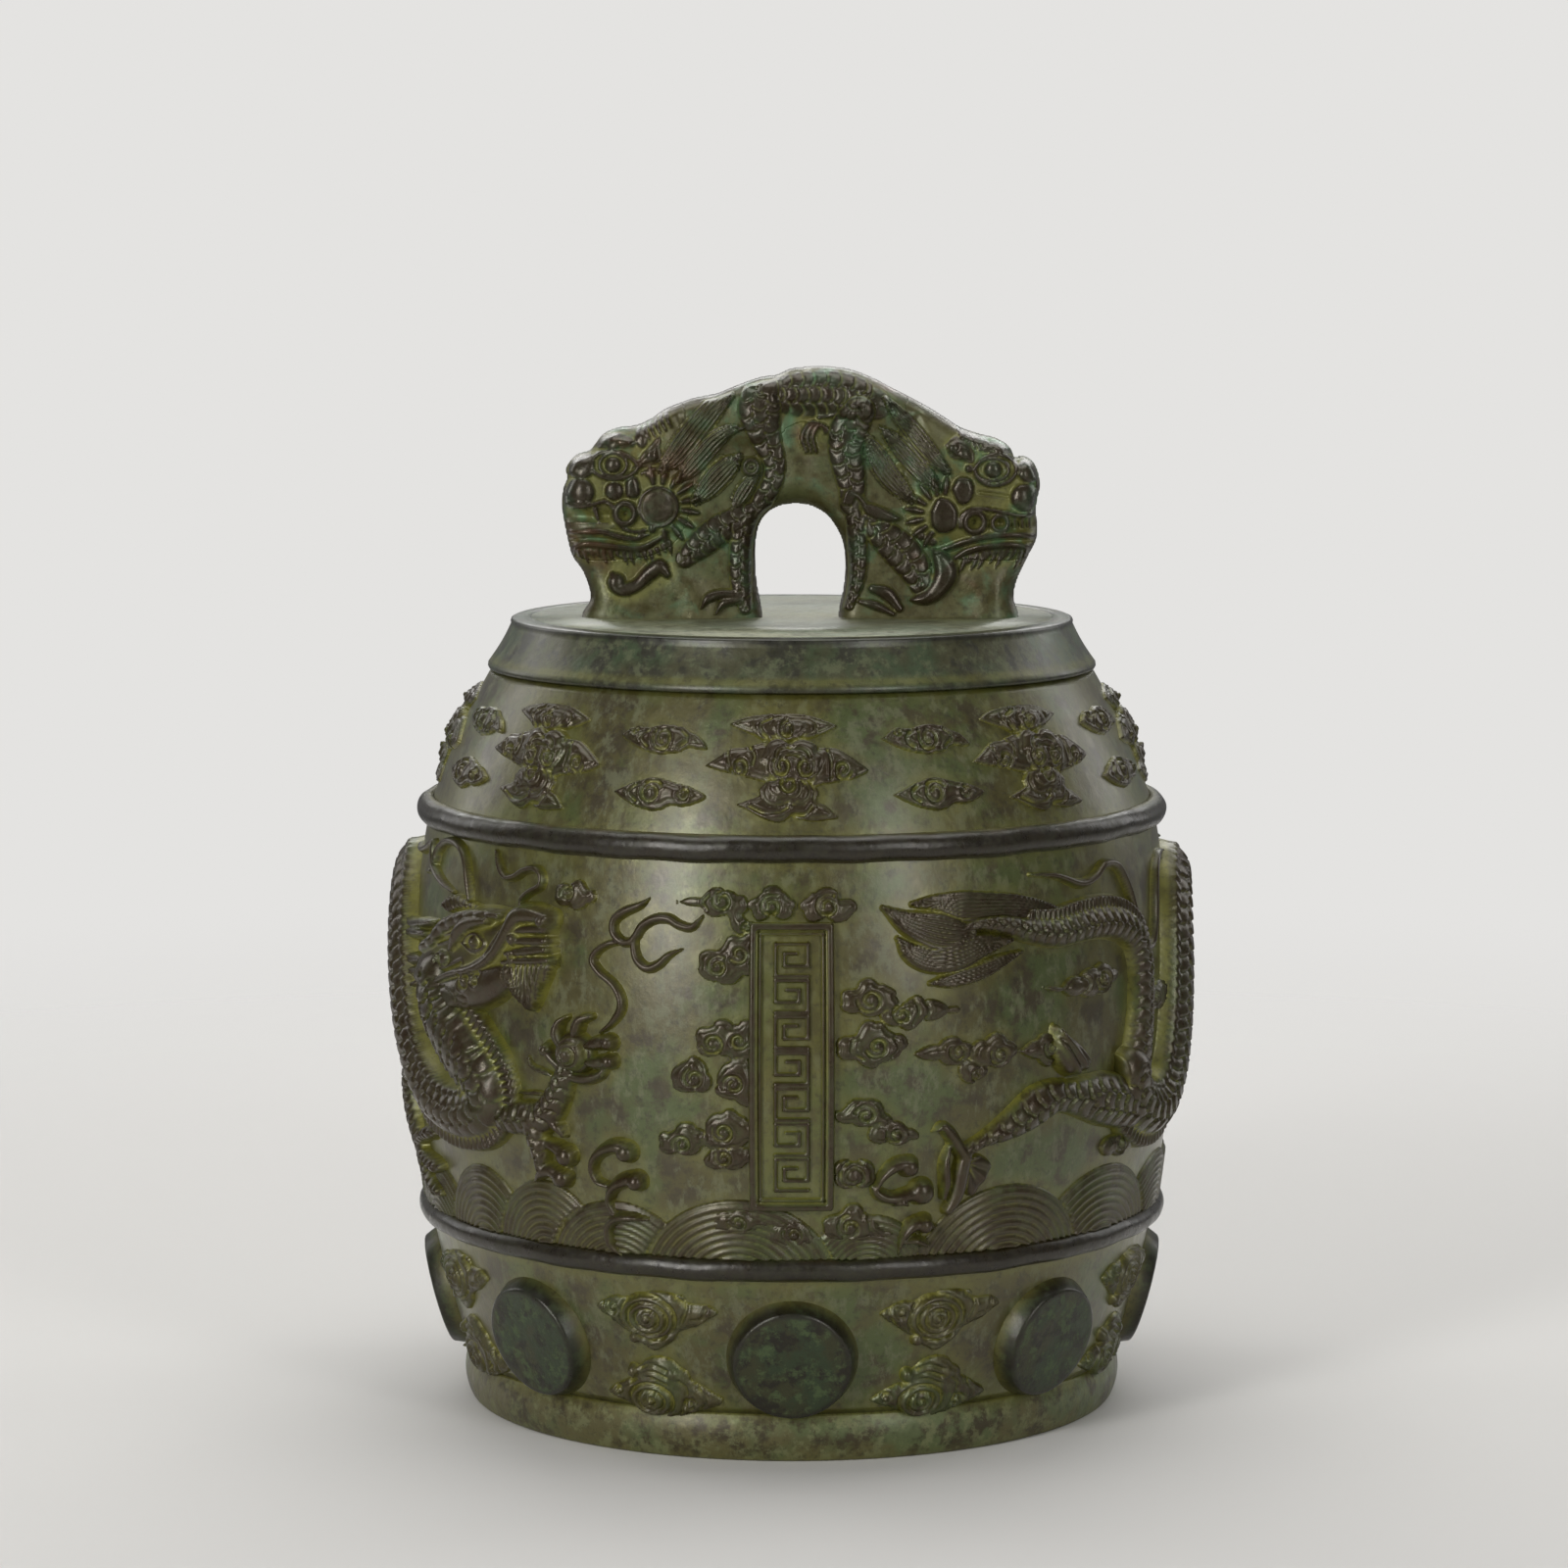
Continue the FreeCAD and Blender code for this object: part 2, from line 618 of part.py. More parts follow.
flame_shares = [
    [(-28.0, 0.558, 0.6), (-25.9, 0.585, 1.0), (-24.7, 0.63, 1.0), (-25.9, 0.675, 1.0), (-28.4, 0.71, 1.0),
     (-29.2, 0.74, 1.0), (-27.9, 0.765, 0.9), (-26.2, 0.772, 0.7)],
    [(-21.4, 0.877, 0.35), (-23.4, 0.857, 0.8), (-25.6, 0.84, 0.95), (-26.4, 0.805, 1.0),
     (-25.0, 0.775, 1.0), (-23.2, 0.775, 1.0), (-22.2, 0.805, 1.0), (-20.3, 0.834, 1.0),
     (-18.0, 0.834, 1.0), (-15.6, 0.814, 1.0), (-13.9, 0.82, 0.8), (-12.9, 0.842, 0.35)],
    [(-23.0, 0.78, 0.6), (-23.0, 0.74, 1.0), (-21.8, 0.715, 1.0), (-20.0, 0.716, 1.0), (-18.4, 0.745, 0.9),
     (-16.2, 0.763, 0.4)],
]
whisker_shares = [
    [(-43.6, 0.832, 0.7), (-43.2, 0.862, 0.8), (-40.8, 0.882, 0.85), (-39.7, 0.908, 0.85),
     (-41.4, 0.924, 0.85), (-44.4, 0.906, 0.85), (-46.4, 0.896, 0.85), (-48.6, 0.915, 0.8),
     (-50.2, 0.948, 0.4)],
    [(-55.6, 0.828, 0.7), (-56.4, 0.88, 1.0), (-58.8, 0.935, 1.0), (-62.5, 0.953, 1.0), (-66.6, 0.94, 1.0),
     (-69.0, 0.905, 1.0), (-67.0, 0.868, 0.9), (-62.0, 0.845, 0.5)],
    [(-70.0, 0.892, 0.6), (-71.4, 0.93, 0.9), (-76.0, 0.915, 0.9), (-82.0, 0.905, 0.5)],
    [(-142.6, 0.918, 0.5), (-137.0, 0.905, 1.1), (-131.5, 0.884, 1.25), (-127.5, 0.905, 1.25),
     (-124.5, 0.916, 1.25), (-121.0, 0.885, 1.25), (-118.8, 0.81, 1.25), (-117.4, 0.735, 1.2),
     (-114.6, 0.695, 1.1), (-111.6, 0.735, 1.1), (-109.4, 0.82, 1.1), (-106.6, 0.885, 1.0),
     (-101.5, 0.905, 0.6)],
]
fin_shares = [
    [(-153.0, 0.795, 0.5), (-158.0, 0.79, 0.85), (-162.5, 0.815, 0.75), (-166.8, 0.86, 0.08)],
    [(-150.0, 0.775, 0.5), (-156.0, 0.752, 0.8), (-161.0, 0.748, 0.7), (-164.8, 0.79, 0.08)],
    [(-146.0, 0.745, 0.3), (-151.5, 0.728, 0.85), (-156.0, 0.695, 0.6), (-160.0, 0.668, 0.08)],
    [(-128.0, 0.825, 0.08), (-138.0, 0.83, 0.75), (-148.0, 0.855, 0.9), (-156.0, 0.875, 0.65),
     (-163.0, 0.883, 0.08)],
]
spray_shares = [
    [(-27.4, 0.198, 0.3), (-29.0, 0.232, 0.55), (-28.2, 0.268, 0.7), (-26.0, 0.282, 0.9),
     (-24.2, 0.272, 0.9), (-23.0, 0.25, 0.4)],
    [(-26.6, 0.115, 0.5), (-27.2, 0.158, 0.6), (-25.6, 0.195, 0.75), (-23.4, 0.212, 0.95),
     (-21.8, 0.202, 0.6)],
    [(-25.6, 0.05, 0.15), (-27.2, 0.085, 0.75), (-25.2, 0.115, 0.95), (-22.4, 0.12, 0.7),
     (-20.6, 0.114, 0.2)],
    [(12.3, 0.205, 0.5), (12.9, 0.232, 0.7), (14.6, 0.252, 0.8), (16.4, 0.248, 0.7), (17.6, 0.232, 0.35)],
    [(12.3, 0.198, 0.5), (13.4, 0.175, 0.7), (16.0, 0.168, 0.8), (18.4, 0.182, 1.05), (19.4, 0.188, 0.5)],
    [(15.8, 0.045, 0.2), (16.2, 0.085, 0.6), (17.8, 0.112, 0.95), (19.8, 0.108, 0.7), (20.8, 0.1, 0.2)],
]
pearl_lift_share = 0.35
crest_width_share = 0.62
side_relief_share = 0.6
tail_relief_share = 0.7
pearl_shares = (-32.0, 0.502)


def fused(shapes):
    return shapes[0].multiFuse(shapes[1:]) if len(shapes) > 1 else shapes[0]


def strands(places, girth, relief):
    return fused([strand(run, girth, relief) for run in places])


def thin_strands(places, girth, relief):
    return fused([thin_strand(run, girth, relief) for run in places])


def pearl():
    angle, share = pearl_shares
    out = tangent_frame(angle, zone_at(share)).Rotation.multVec(Vector(0, 0, 1))
    centre = wall_point(angle, zone_at(share), pearl_radius * pearl_lift_share)
    return Part.makeSphere(pearl_radius, centre, out).cut(core)


def left_dragon():
    """The left dragon's pieces by name. Where two meet, the later one is cut back."""
    return cut_back([
        ("head", strands(head_lump_shares, dragon_girth, dragon_relief)),
        ("body", strands([fore_body_shares, rear_body_shares], dragon_girth, dragon_relief)),
        ("tail", strand(tail_shares, dragon_girth, dragon_relief * tail_relief_share)),
        ("pearl", pearl()),
        ("forelegs", strands(forelimb_shares, limb_girth, limb_relief)),
        ("hindlegs", strands(hindleg_shares, limb_girth, limb_relief)),
        ("tail_fin", thin_strands(fin_shares, fin_half_width, fin_relief)),
        ("whiskers", thin_strands(whisker_shares, flame_girth, flame_relief)),
        ("flame", thin_strands(flame_shares, flame_girth, flame_relief)),
    ])


def cut_back(order, fixed=()):
    """Cuts each shape's solids back by those before it, so that neighbours meet face to face."""
    found, before = {}, [solid for shape in fixed for solid in shape.Solids]
    for name, shape in order:
        found[name] = solids_of([trimmed(solid, before) for solid in shape.Solids])
        before += found[name].Solids
    return found


def trimmed(solid, others):
    near = [other for other in others if solid.BoundBox.intersect(other.BoundBox)]
    return solid.cut(near) if near else solid


# The loop's outlines, as shares of its half length and of its height above the crown
plinth_shares = [
    (-0.90, 0.0), (-0.885, 0.1), (-0.78, 0.17), (-0.6, 0.3), (-0.4, 0.52), (-0.16, 0.68), (0.16, 0.68),
    (0.4, 0.52), (0.6, 0.3), (0.78, 0.15), (0.895, 0.1), (0.915, 0.0),
]
back_top_shares = [
    (-0.40, 0.885), (-0.34, 0.905), (-0.26, 0.93), (-0.12, 0.965), (0.0, 0.995), (0.12, 1.0), (0.24, 0.98),
    (0.34, 0.93), (0.42, 0.885), (0.48, 0.85),
]
back_foot_shares = [
    (-0.40, 0.5), (-0.3, 0.6), (-0.16, 0.665), (0.0, 0.69), (0.16, 0.665), (0.32, 0.58), (0.48, 0.44),
]
left_head_shares = [
    (-0.40, 0.5), (-0.44, 0.27), (-0.6, 0.2), (-0.76, 0.155), (-0.885, 0.14), (-0.93, 0.22), (-0.985, 0.36),
    (-1.015, 0.48), (-1.0, 0.58), (-0.92, 0.655), (-0.8, 0.735), (-0.68, 0.76), (-0.57, 0.8),
    (-0.40, 0.885),
]
right_head_shares = [
    (0.48, 0.44), (0.46, 0.26), (0.6, 0.17), (0.76, 0.13), (0.9, 0.15), (0.955, 0.25), (1.0, 0.36),
    (1.005, 0.5), (0.96, 0.625), (0.88, 0.665), (0.8, 0.72), (0.68, 0.755), (0.58, 0.79), (0.48, 0.85),
]
# Eyes, nostrils and cheeks: place, height and radius as shares of the loop's height
left_knob_shares = [
    (-0.79, 0.61, 0.055), (-0.94, 0.51, 0.05), (-0.79, 0.52, 0.03), (-0.71, 0.52, 0.03),
    (-0.745, 0.43, 0.045), (-0.615, 0.455, 0.08),
]
right_knob_shares = [
    (0.80, 0.60, 0.055), (0.95, 0.47, 0.05), (0.69, 0.51, 0.03), (0.6, 0.43, 0.05), (0.72, 0.385, 0.045),
    (0.84, 0.38, 0.04),
]
# Limbs and mane locks on the loop's faces: place, height and girth as shares
left_limb_shares = [
    [(-0.20, 0.52, 0.7), (-0.25, 0.38, 0.95), (-0.25, 0.2, 0.85), (-0.235, 0.04, 0.8)],
    [(-0.25, 0.09, 0.6), (-0.33, 0.085, 0.6), (-0.41, 0.04, 0.2)],
    [(-0.28, 0.42, 0.8), (-0.37, 0.35, 1.1), (-0.47, 0.27, 0.95), (-0.56, 0.2, 0.8), (-0.66, 0.135, 0.6)],
]
right_limb_shares = [
    [(0.20, 0.62, 0.8), (0.2, 0.46, 0.9), (0.225, 0.3, 0.8), (0.2, 0.14, 0.65), (0.17, 0.04, 0.4)],
    [(0.26, 0.36, 0.9), (0.36, 0.28, 1.1), (0.46, 0.2, 1.2), (0.55, 0.155, 1.3), (0.63, 0.17, 0.8)],
    [(0.235, 0.1, 0.5), (0.32, 0.08, 0.7), (0.42, 0.045, 0.3)],
]
left_mane_shares = [
    [(-0.58, 0.6, 0.6), (-0.5, 0.68, 1.0), (-0.42, 0.78, 0.9), (-0.35, 0.88, 0.2)],
    [(-0.53, 0.54, 0.6), (-0.42, 0.6, 1.0), (-0.32, 0.69, 0.9), (-0.24, 0.77, 0.2)],
]
right_mane_shares = [
    [(0.6, 0.6, 0.6), (0.51, 0.68, 1.0), (0.43, 0.78, 0.8), (0.37, 0.87, 0.2)],
    [(0.55, 0.52, 0.6), (0.45, 0.62, 1.0), (0.35, 0.74, 0.2)],
]


def loop_point(place, height):
    return Vector(loop_offset + place * loop_half_length, 0, bell_height + height * loop_height)


def loop_slab(face, half_depth):
    """A flat outline in the XZ plane, made half_depth thick each way."""
    slab = face.extrude(Vector(0, 2 * half_depth, 0))
    slab.translate(Vector(0, -half_depth, 0))
    return slab


def loop_eye():
    """The arched opening that the bell hangs by."""
    half = eye_width / 2
    deep = head_half_depth + limb_stand + overrun
    crest = bell_height + eye_height - half
    corner = Vector(loop_offset - half, -deep, bell_height - overrun)
    box = Part.makeBox(eye_width, 2 * deep, crest - corner.z, corner)
    return box.fuse(Part.makeCylinder(half, 2 * deep, Vector(loop_offset, -deep, crest), Vector(0, 1, 0)))


def loop_plinth():
    """The upright web between the heads and the crown, flared at its foot."""
    points = [loop_point(*shares) for shares in plinth_shares]
    web = loop_slab(Part.Face(Part.makePolygon(points + points[:1])), plinth_half_depth)
    return web.fuse(flared_foot(points[0].x, points[-1].x))


def flared_foot(first, last):
    """A low wedge round the web's foot, where it runs out on the crown."""
    def ring(grown, height):
        half = plinth_half_depth + grown
        corners = [
            Vector(first - grown, -half, height), Vector(last + grown, -half, height),
            Vector(last + grown, half, height), Vector(first - grown, half, height),
        ]
        return Part.makePolygon(corners + corners[:1])
    low = ring(loop_foot_flare, bell_height)
    high = ring(0.0, bell_height + loop_foot_flare)
    return Part.makeLoft([low, high], True, True)


def loop_back():
    top = [loop_point(*shares) for shares in back_top_shares]
    foot = [loop_point(*shares) for shares in back_foot_shares]
    return loop_slab(ribbon_face(top, foot), back_half_depth)


def loop_head(outline_shares, knob_shares):
    """A head's slab, stepped in round its edge, with its eye, nostril and cheeks standing off it."""
    points = [loop_point(*shares) for shares in outline_shares]
    face = Part.Face(Part.Wire([spline(points), line(points[-1], points[0])]))
    slab = loop_slab(face, head_half_depth - head_edge_depth)
    inset = face.makeOffset2D(-head_edge_inset).OuterWire.discretize(head_edge_count)
    inner = loop_slab(Part.Face(Part.makePolygon(inset)), head_half_depth)
    knobs = [knob(*shares) for shares in knob_shares]
    return slab.multiFuse([inner] + knobs)


def knob(place, height, radius_share):
    half = head_half_depth + boss_stand
    at = loop_point(place, height) - Vector(0, half, 0)
    return Part.makeCylinder(radius_share * loop_height, 2 * half, at, Vector(0, 1, 0))


def face_strand(places, girth, half_depth):
    """A tapering strand that shows on both faces of the loop."""
    centres = [loop_point(place, height) for place, height, _ in places]
    left, right = [], []
    for k, (_, _, size) in enumerate(places):
        ahead = (centres[min(k + 1, len(places) - 1)] - centres[max(k - 1, 0)]).normalize()
        side = Vector(0, 1, 0).cross(ahead) * (girth * size)
        left.append(centres[k] + side)
        right.append(centres[k] - side)
    return loop_slab(ribbon_face(left, right), half_depth)


def face_strands(places, girth, half_depth):
    return fused([face_strand(run, girth, half_depth) for run in places])


def loop_pieces():
    eye = loop_eye()
    mane_depth = head_half_depth + mane_stand
    limb_depth = plinth_half_depth + limb_stand
    order = [
        ("loop_left_head", loop_head(left_head_shares, left_knob_shares)),
        ("loop_right_head", loop_head(right_head_shares, right_knob_shares)),
        ("loop_back", loop_back()),
        ("loop_plinth", loop_plinth()),
        ("loop_left_mane", face_strands(left_mane_shares, mane_girth, mane_depth)),
        ("loop_right_mane", face_strands(right_mane_shares, mane_girth, mane_depth)),
        ("loop_left_forelegs", face_strands(left_limb_shares, loop_limb_girth, limb_depth)),
        ("loop_right_forelegs", face_strands(right_limb_shares, loop_limb_girth, limb_depth)),
    ]
    return cut_back([(name, shape.cut(eye)) for name, shape in order])


def both_sides(shape):
    """A front piece and the same turned to the back."""
    return shape, turned(shape, half_turn)


def build():
    pieces = {
        "bell_wall": bell_wall(),
        "crown_plate": crown_plate(),
        "shoulder_collar": shoulder_collar(),
        "upper_moulding": moulding(upper_moulding_height, upper_moulding_radius),
        "lower_moulding": moulding(lower_moulding_height, lower_moulding_radius),
        "mouth_rim": mouth_rim(),
        "shoulder_small_clouds": small_clouds(),
        "base_clouds": base_clouds(),
    }
    boss, cluster = strike_boss(0.0), shoulder_cloud(0.0)
    for k in range(boss_count):
        pieces[f"strike_boss_{k + 1}"] = turned(boss, k * octant)
        pieces[f"shoulder_cloud_{k + 1}"] = turned(cluster, k * octant)
    pieces.update(loop_pieces())
    rings = pieces["upper_moulding"].fuse(pieces["lower_moulding"])
    dragon = left_dragon()
    reliefs = [rings] + [side for shape in dragon.values() for side in both_sides(shape)]
    order = [
        ("cartouche_frame", cartouche_frame()),
        ("cartouche_field", cartouche_field()),
        ("sea_spray", thin_strands(spray_shares, spray_girth, spray_relief)),
        ("wave_band", solids_of(wave_mounds())),
        ("cartouche_clouds", zone_clouds()),
    ]
    for name, shape in cut_back(order, reliefs).items():
        pieces[name + "_front"], pieces[name + "_back"] = both_sides(shape)
    for name, shape in dragon.items():
        shape = shape.cut(rings)
        pieces["left_dragon_" + name], pieces["right_dragon_" + name] = both_sides(shape)
    return pieces


def main():
    os.makedirs("parts", exist_ok=True)
    for name, shape in build().items():
        solids_of([shape]).exportStep(f"parts/{name}.step")


main()
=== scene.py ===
import math

import bmesh
import bpy
import numpy as np
from mathutils import Matrix, Vector


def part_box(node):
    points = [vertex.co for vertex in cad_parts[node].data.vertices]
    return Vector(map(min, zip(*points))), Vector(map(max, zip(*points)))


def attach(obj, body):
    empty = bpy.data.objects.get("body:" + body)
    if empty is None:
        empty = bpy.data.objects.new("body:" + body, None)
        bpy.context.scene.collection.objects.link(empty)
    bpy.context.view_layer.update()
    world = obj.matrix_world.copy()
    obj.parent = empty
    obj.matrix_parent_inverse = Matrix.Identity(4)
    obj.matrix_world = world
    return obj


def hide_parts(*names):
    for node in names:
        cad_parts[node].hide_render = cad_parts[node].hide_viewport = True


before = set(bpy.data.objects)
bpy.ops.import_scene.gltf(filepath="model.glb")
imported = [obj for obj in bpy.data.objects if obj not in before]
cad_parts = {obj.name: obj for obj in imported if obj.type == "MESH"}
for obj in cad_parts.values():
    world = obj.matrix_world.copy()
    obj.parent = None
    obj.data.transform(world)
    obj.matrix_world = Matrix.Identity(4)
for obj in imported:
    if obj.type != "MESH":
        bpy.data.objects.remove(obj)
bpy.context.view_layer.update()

# Cast bronze court bell with relief dragons, clouds and waves, standing on its mouth.
# Ornament is drawn flat, in millimetres round the wall and up it, then wrapped onto the wall.

mm = 0.001
drawRadius = 112.0  # mm, the radius at which degrees round the wall become millimetres
degree = math.radians(1.0) * drawRadius


def say(text):
    print("bell:", text, flush=True)


def nodeHeights(node):
    low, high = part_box(node)
    return low[2] / mm, high[2] / mm


rimFoot, rimTop = nodeHeights("mouth_rim")
wallTop, crownTop = nodeHeights("shoulder_collar")
lowBead = sum(nodeHeights("lower_moulding")) / 2
highBead = sum(nodeHeights("upper_moulding")) / 2

bell = {  # radius and height in mm, up the outside of the wall
    "rim": (97.7, rimTop),
    "base": (104.45, (rimTop + lowBead) / 2),
    "low": (109.2, lowBead),
    "belly": (114.7, (lowBead + highBead) / 2),
    "high": (108.6, highBead),
    "shoulder": (100.55, (highBead + wallTop) / 2),
    "top": (89.8, wallTop),
    "thickness": 9.0,
    "stepsRound": 432,
    "stepUp": 2.1,
}


def arcThrough(a, b, c):
    d = 2 * (a[0] * (b[1] - c[1]) + b[0] * (c[1] - a[1]) + c[0] * (a[1] - b[1]))
    s = [p[0] ** 2 + p[1] ** 2 for p in (a, b, c)]
    x = (s[0] * (b[1] - c[1]) + s[1] * (c[1] - a[1]) + s[2] * (a[1] - b[1])) / d
    y = (s[0] * (c[0] - b[0]) + s[1] * (a[0] - c[0]) + s[2] * (b[0] - a[0])) / d
    return x, y, math.hypot(a[0] - x, a[1] - y)


wallArcs = [
    arcThrough(bell["rim"], bell["base"], bell["low"]),
    arcThrough(bell["low"], bell["belly"], bell["high"]),
    arcThrough(bell["high"], bell["shoulder"], bell["top"]),
]


def wallProfile(height):
    # radius of the wall and its outward normal (radial, upward) at heights in mm
    height = np.asarray(height, dtype=float)
    zone = np.where(height < lowBead, 0, np.where(height < highBead, 1, 2))
    cx, cy, cr = (np.array([arc[k] for arc in wallArcs])[zone] for k in range(3))
    up = np.clip((height - cy) / cr, -0.95, 0.95)
    out = np.sqrt(1 - up * up)
    return cx + cr * out, out, up


def wrap(x, z, lift):
    # drawing millimetres to metres on the wall, raised by lift along the wall's normal
    radius, out, up = wallProfile(z)
    turn = x / drawRadius
    r = radius + lift * out
    return np.stack([r * np.sin(turn), -r * np.cos(turn), z + lift * up], axis=-1) * mm


# Drawing tools. A canvas is a small height map of lift above the wall, in mm.

tool = {
    "empty": -3.0,  # the lift where nothing is drawn
    "fall": 2.4,  # how steeply a mark falls away past its edge
    "strokeMargin": 1.6, "pillowMargin": 2.5,  # how far past its edge a mark is worked out
    "cutSharpness": 1.4, "burr": 0.3, "burrPlace": 1.7, "burrSharpness": 1.5,  # a cut and its thrown-up lips
    "grooveDepth": 0.7, "grooveWidth": 0.46,  # the groove inside a cushion's outline
    "lobeShare": 0.15,  # depth of a scalloped edge's bulges for their length
}


def newCanvas(xLow, xHigh, zLow, zHigh, step=0.45):
    nx, nz = int((xHigh - xLow) / step) + 2, int((zHigh - zLow) / step) + 2
    return {"x": xLow, "z": zLow, "step": step, "lift": np.full((nz, nx), tool["empty"])}


def windowOf(canvas, xLow, xHigh, zLow, zHigh):
    nz, nx = canvas["lift"].shape
    x, z, step = canvas["x"], canvas["z"], canvas["step"]
    i0, i1 = max(0, int((xLow - x) / step)), min(nx, int((xHigh - x) / step) + 2)
    j0, j1 = max(0, int((zLow - z) / step)), min(nz, int((zHigh - z) / step) + 2)
    return i0, i1, j0, j1


def gridOf(canvas, i0, i1, j0, j1):
    x = canvas["x"] + canvas["step"] * np.arange(i0, i1)
    z = canvas["z"] + canvas["step"] * np.arange(j0, j1)
    return np.meshgrid(x, z)


def curve(rows, spacing=0.5):
    # a smooth run of rows (x, z, half width) through the given ones
    rows = np.array(rows, dtype=float)
    ends = np.vstack([2 * rows[0] - rows[1], rows, 2 * rows[-1] - rows[-2]])
    found = []
    for k in range(len(rows) - 1):
        a, b, c, d = ends[k:k + 4]
        count = max(2, int(np.hypot(*(c - b)[:2]) / spacing))
        t = np.linspace(0, 1, count, endpoint=False)[:, None]
        found.append(0.5 * (2 * b + (c - a) * t + (2 * a - 5 * b + 4 * c - d) * t * t
                            + (3 * b - a - 3 * c + d) * t ** 3))
    found.append(rows[-1:])
    run = np.vstack(found)
    run[:, 2] = np.maximum(run[:, 2], 0.05)
    return run


def measure(canvas, path, reach):
    # distance to the path, distance along it, side of it and its half width, over a window
    low, high = path.min(axis=0) - reach, path.max(axis=0) + reach
    i0, i1, j0, j1 = windowOf(canvas, low[0], high[0], low[1], high[1])
    if i1 <= i0 or j1 <= j0:
        return None
    shape = (j1 - j0, i1 - i0)
    best, along = np.full(shape, 1e9), np.zeros(shape)
    side, wide = np.ones(shape), np.full(shape, 0.1)
    length = np.r_[0, np.cumsum(np.hypot(*np.diff(path[:, :2], axis=0).T))]
    heading = np.gradient(path[:, :2], axis=0)
    heading /= np.maximum(np.hypot(*heading.T), 1e-9)[:, None]
    for first in range(0, len(path), 16):
        part = slice(first, min(first + 17, len(path)))
        run = path[part]
        a0, a1, b0, b1 = windowOf(canvas, run[:, 0].min() - reach, run[:, 0].max() + reach,
                                  run[:, 1].min() - reach, run[:, 1].max() + reach)
        if a1 <= a0 or b1 <= b0:
            continue
        gx, gz = gridOf(canvas, a0, a1, b0, b1)
        dx, dz = gx[..., None] - run[:, 0], gz[..., None] - run[:, 1]
        far = dx * dx + dz * dz
        k = far.argmin(axis=-1)
        far = np.take_along_axis(far, k[..., None], -1)[..., 0]
        dx = np.take_along_axis(dx, k[..., None], -1)[..., 0]
        dz = np.take_along_axis(dz, k[..., None], -1)[..., 0]
        ahead = heading[part][k]
        view = (slice(b0 - j0, b1 - j0), slice(a0 - i0, a1 - i0))
        forward = np.clip(dx * ahead[..., 0] + dz * ahead[..., 1], -0.3, 0.3)
        far = np.maximum(far - forward ** 2, 0)
        closer = far < best[view]
        best[view] = np.where(closer, far, best[view])
        along[view] = np.where(closer, length[part][k] + forward, along[view])
        across = ahead[..., 0] * dz - ahead[..., 1] * dx
        side[view] = np.where(closer, np.where(across < 0, -1.0, 1.0), side[view])
        wide[view] = np.where(closer, run[k, 2], wide[view])
    return (slice(j0, j1), slice(i0, i1)), np.sqrt(best), along, side, wide


def roundTop(t):
    return np.sqrt(np.clip(1 - t * t, 0, 1))


def softTop(t):
    return np.clip(1 - t * t, 0, 1) ** 0.75


def plateTop(t):
    return np.clip((1 - t) / 0.35, 0, 1) ** 0.5


def stroke(canvas, rows, rise, base=0.0, texture=None, top=roundTop, smooth=True, carve=False):
    # raises a band along a path, or cuts it in
    path = curve(rows) if smooth else np.array(rows, dtype=float)
    reach = path[:, 2].max() + tool["strokeMargin"]
    found = measure(canvas, path, reach)
    if found is None:
        return
    window, far, along, side, wide = found
    t = far / wide
    lift = canvas["lift"]
    if carve:
        lips = tool["burr"] * np.exp(-((t - tool["burrPlace"]) * tool["burrSharpness"]) ** 2)
        cut = rise * (np.exp(-(t * tool["cutSharpness"]) ** 2) - lips)
        lift[window] = np.where(lift[window] > -0.4, lift[window] - cut, lift[window])
        return
    size = np.minimum(1.0, wide / path[:, 2].max()) ** 0.5
    height = base + rise * size * top(np.clip(t, 0, 1)) - np.clip(far - wide, 0, None) * tool["fall"]
    if texture is not None:
        height = height + np.where(t < 1, texture(along, side * t, wide), 0)
    lift[window] = np.maximum(lift[window], np.where(far < reach, height, tool["empty"]))


def engrave(canvas, rows, depth, half):
    rows = [(x, z, half) for x, z in rows]
    stroke(canvas, rows, depth, carve=True)


def closedCurve(rows, spacing=0.6):
    rows = [(x, z, 0.3) for x, z in rows]
    return curve(rows + rows[:1], spacing)


def within(path, gx, gz):
    # which places lie inside a closed path
    inside = np.zeros(gx.shape, dtype=bool)
    x, z = path[:, 0], path[:, 1]
    for k in range(len(path)):
        x0, z0, x1, z1 = x[k - 1], z[k - 1], x[k], z[k]
        if z0 != z1:
            crosses = (z0 > gz) != (z1 > gz)
            inside ^= crosses & (gx < (x1 - x0) * (gz - z0) / (z1 - z0) + x0)
    return inside


def scalloped(path, lobe, deep):
    # a closed path with bulges between cusps, as a cloud's edge has
    run = np.r_[0, np.cumsum(np.hypot(*np.diff(path[:, :2], axis=0).T))]
    ahead = np.gradient(path[:, :2], axis=0)
    ahead /= np.maximum(np.hypot(*ahead.T), 1e-9)[:, None]
    x, z = path[:, 0], path[:, 1]
    turns = 1.0 if np.sum(x[:-1] * z[1:] - x[1:] * z[:-1]) > 0 else -1.0
    count = max(3, round(run[-1] / lobe))
    out = deep * (np.abs(np.sin(math.pi * count * run / run[-1])) ** 0.7 - 0.55)
    bulged = path.copy()
    bulged[:, 0] += turns * ahead[:, 1] * out
    bulged[:, 1] -= turns * ahead[:, 0] * out
    return bulged


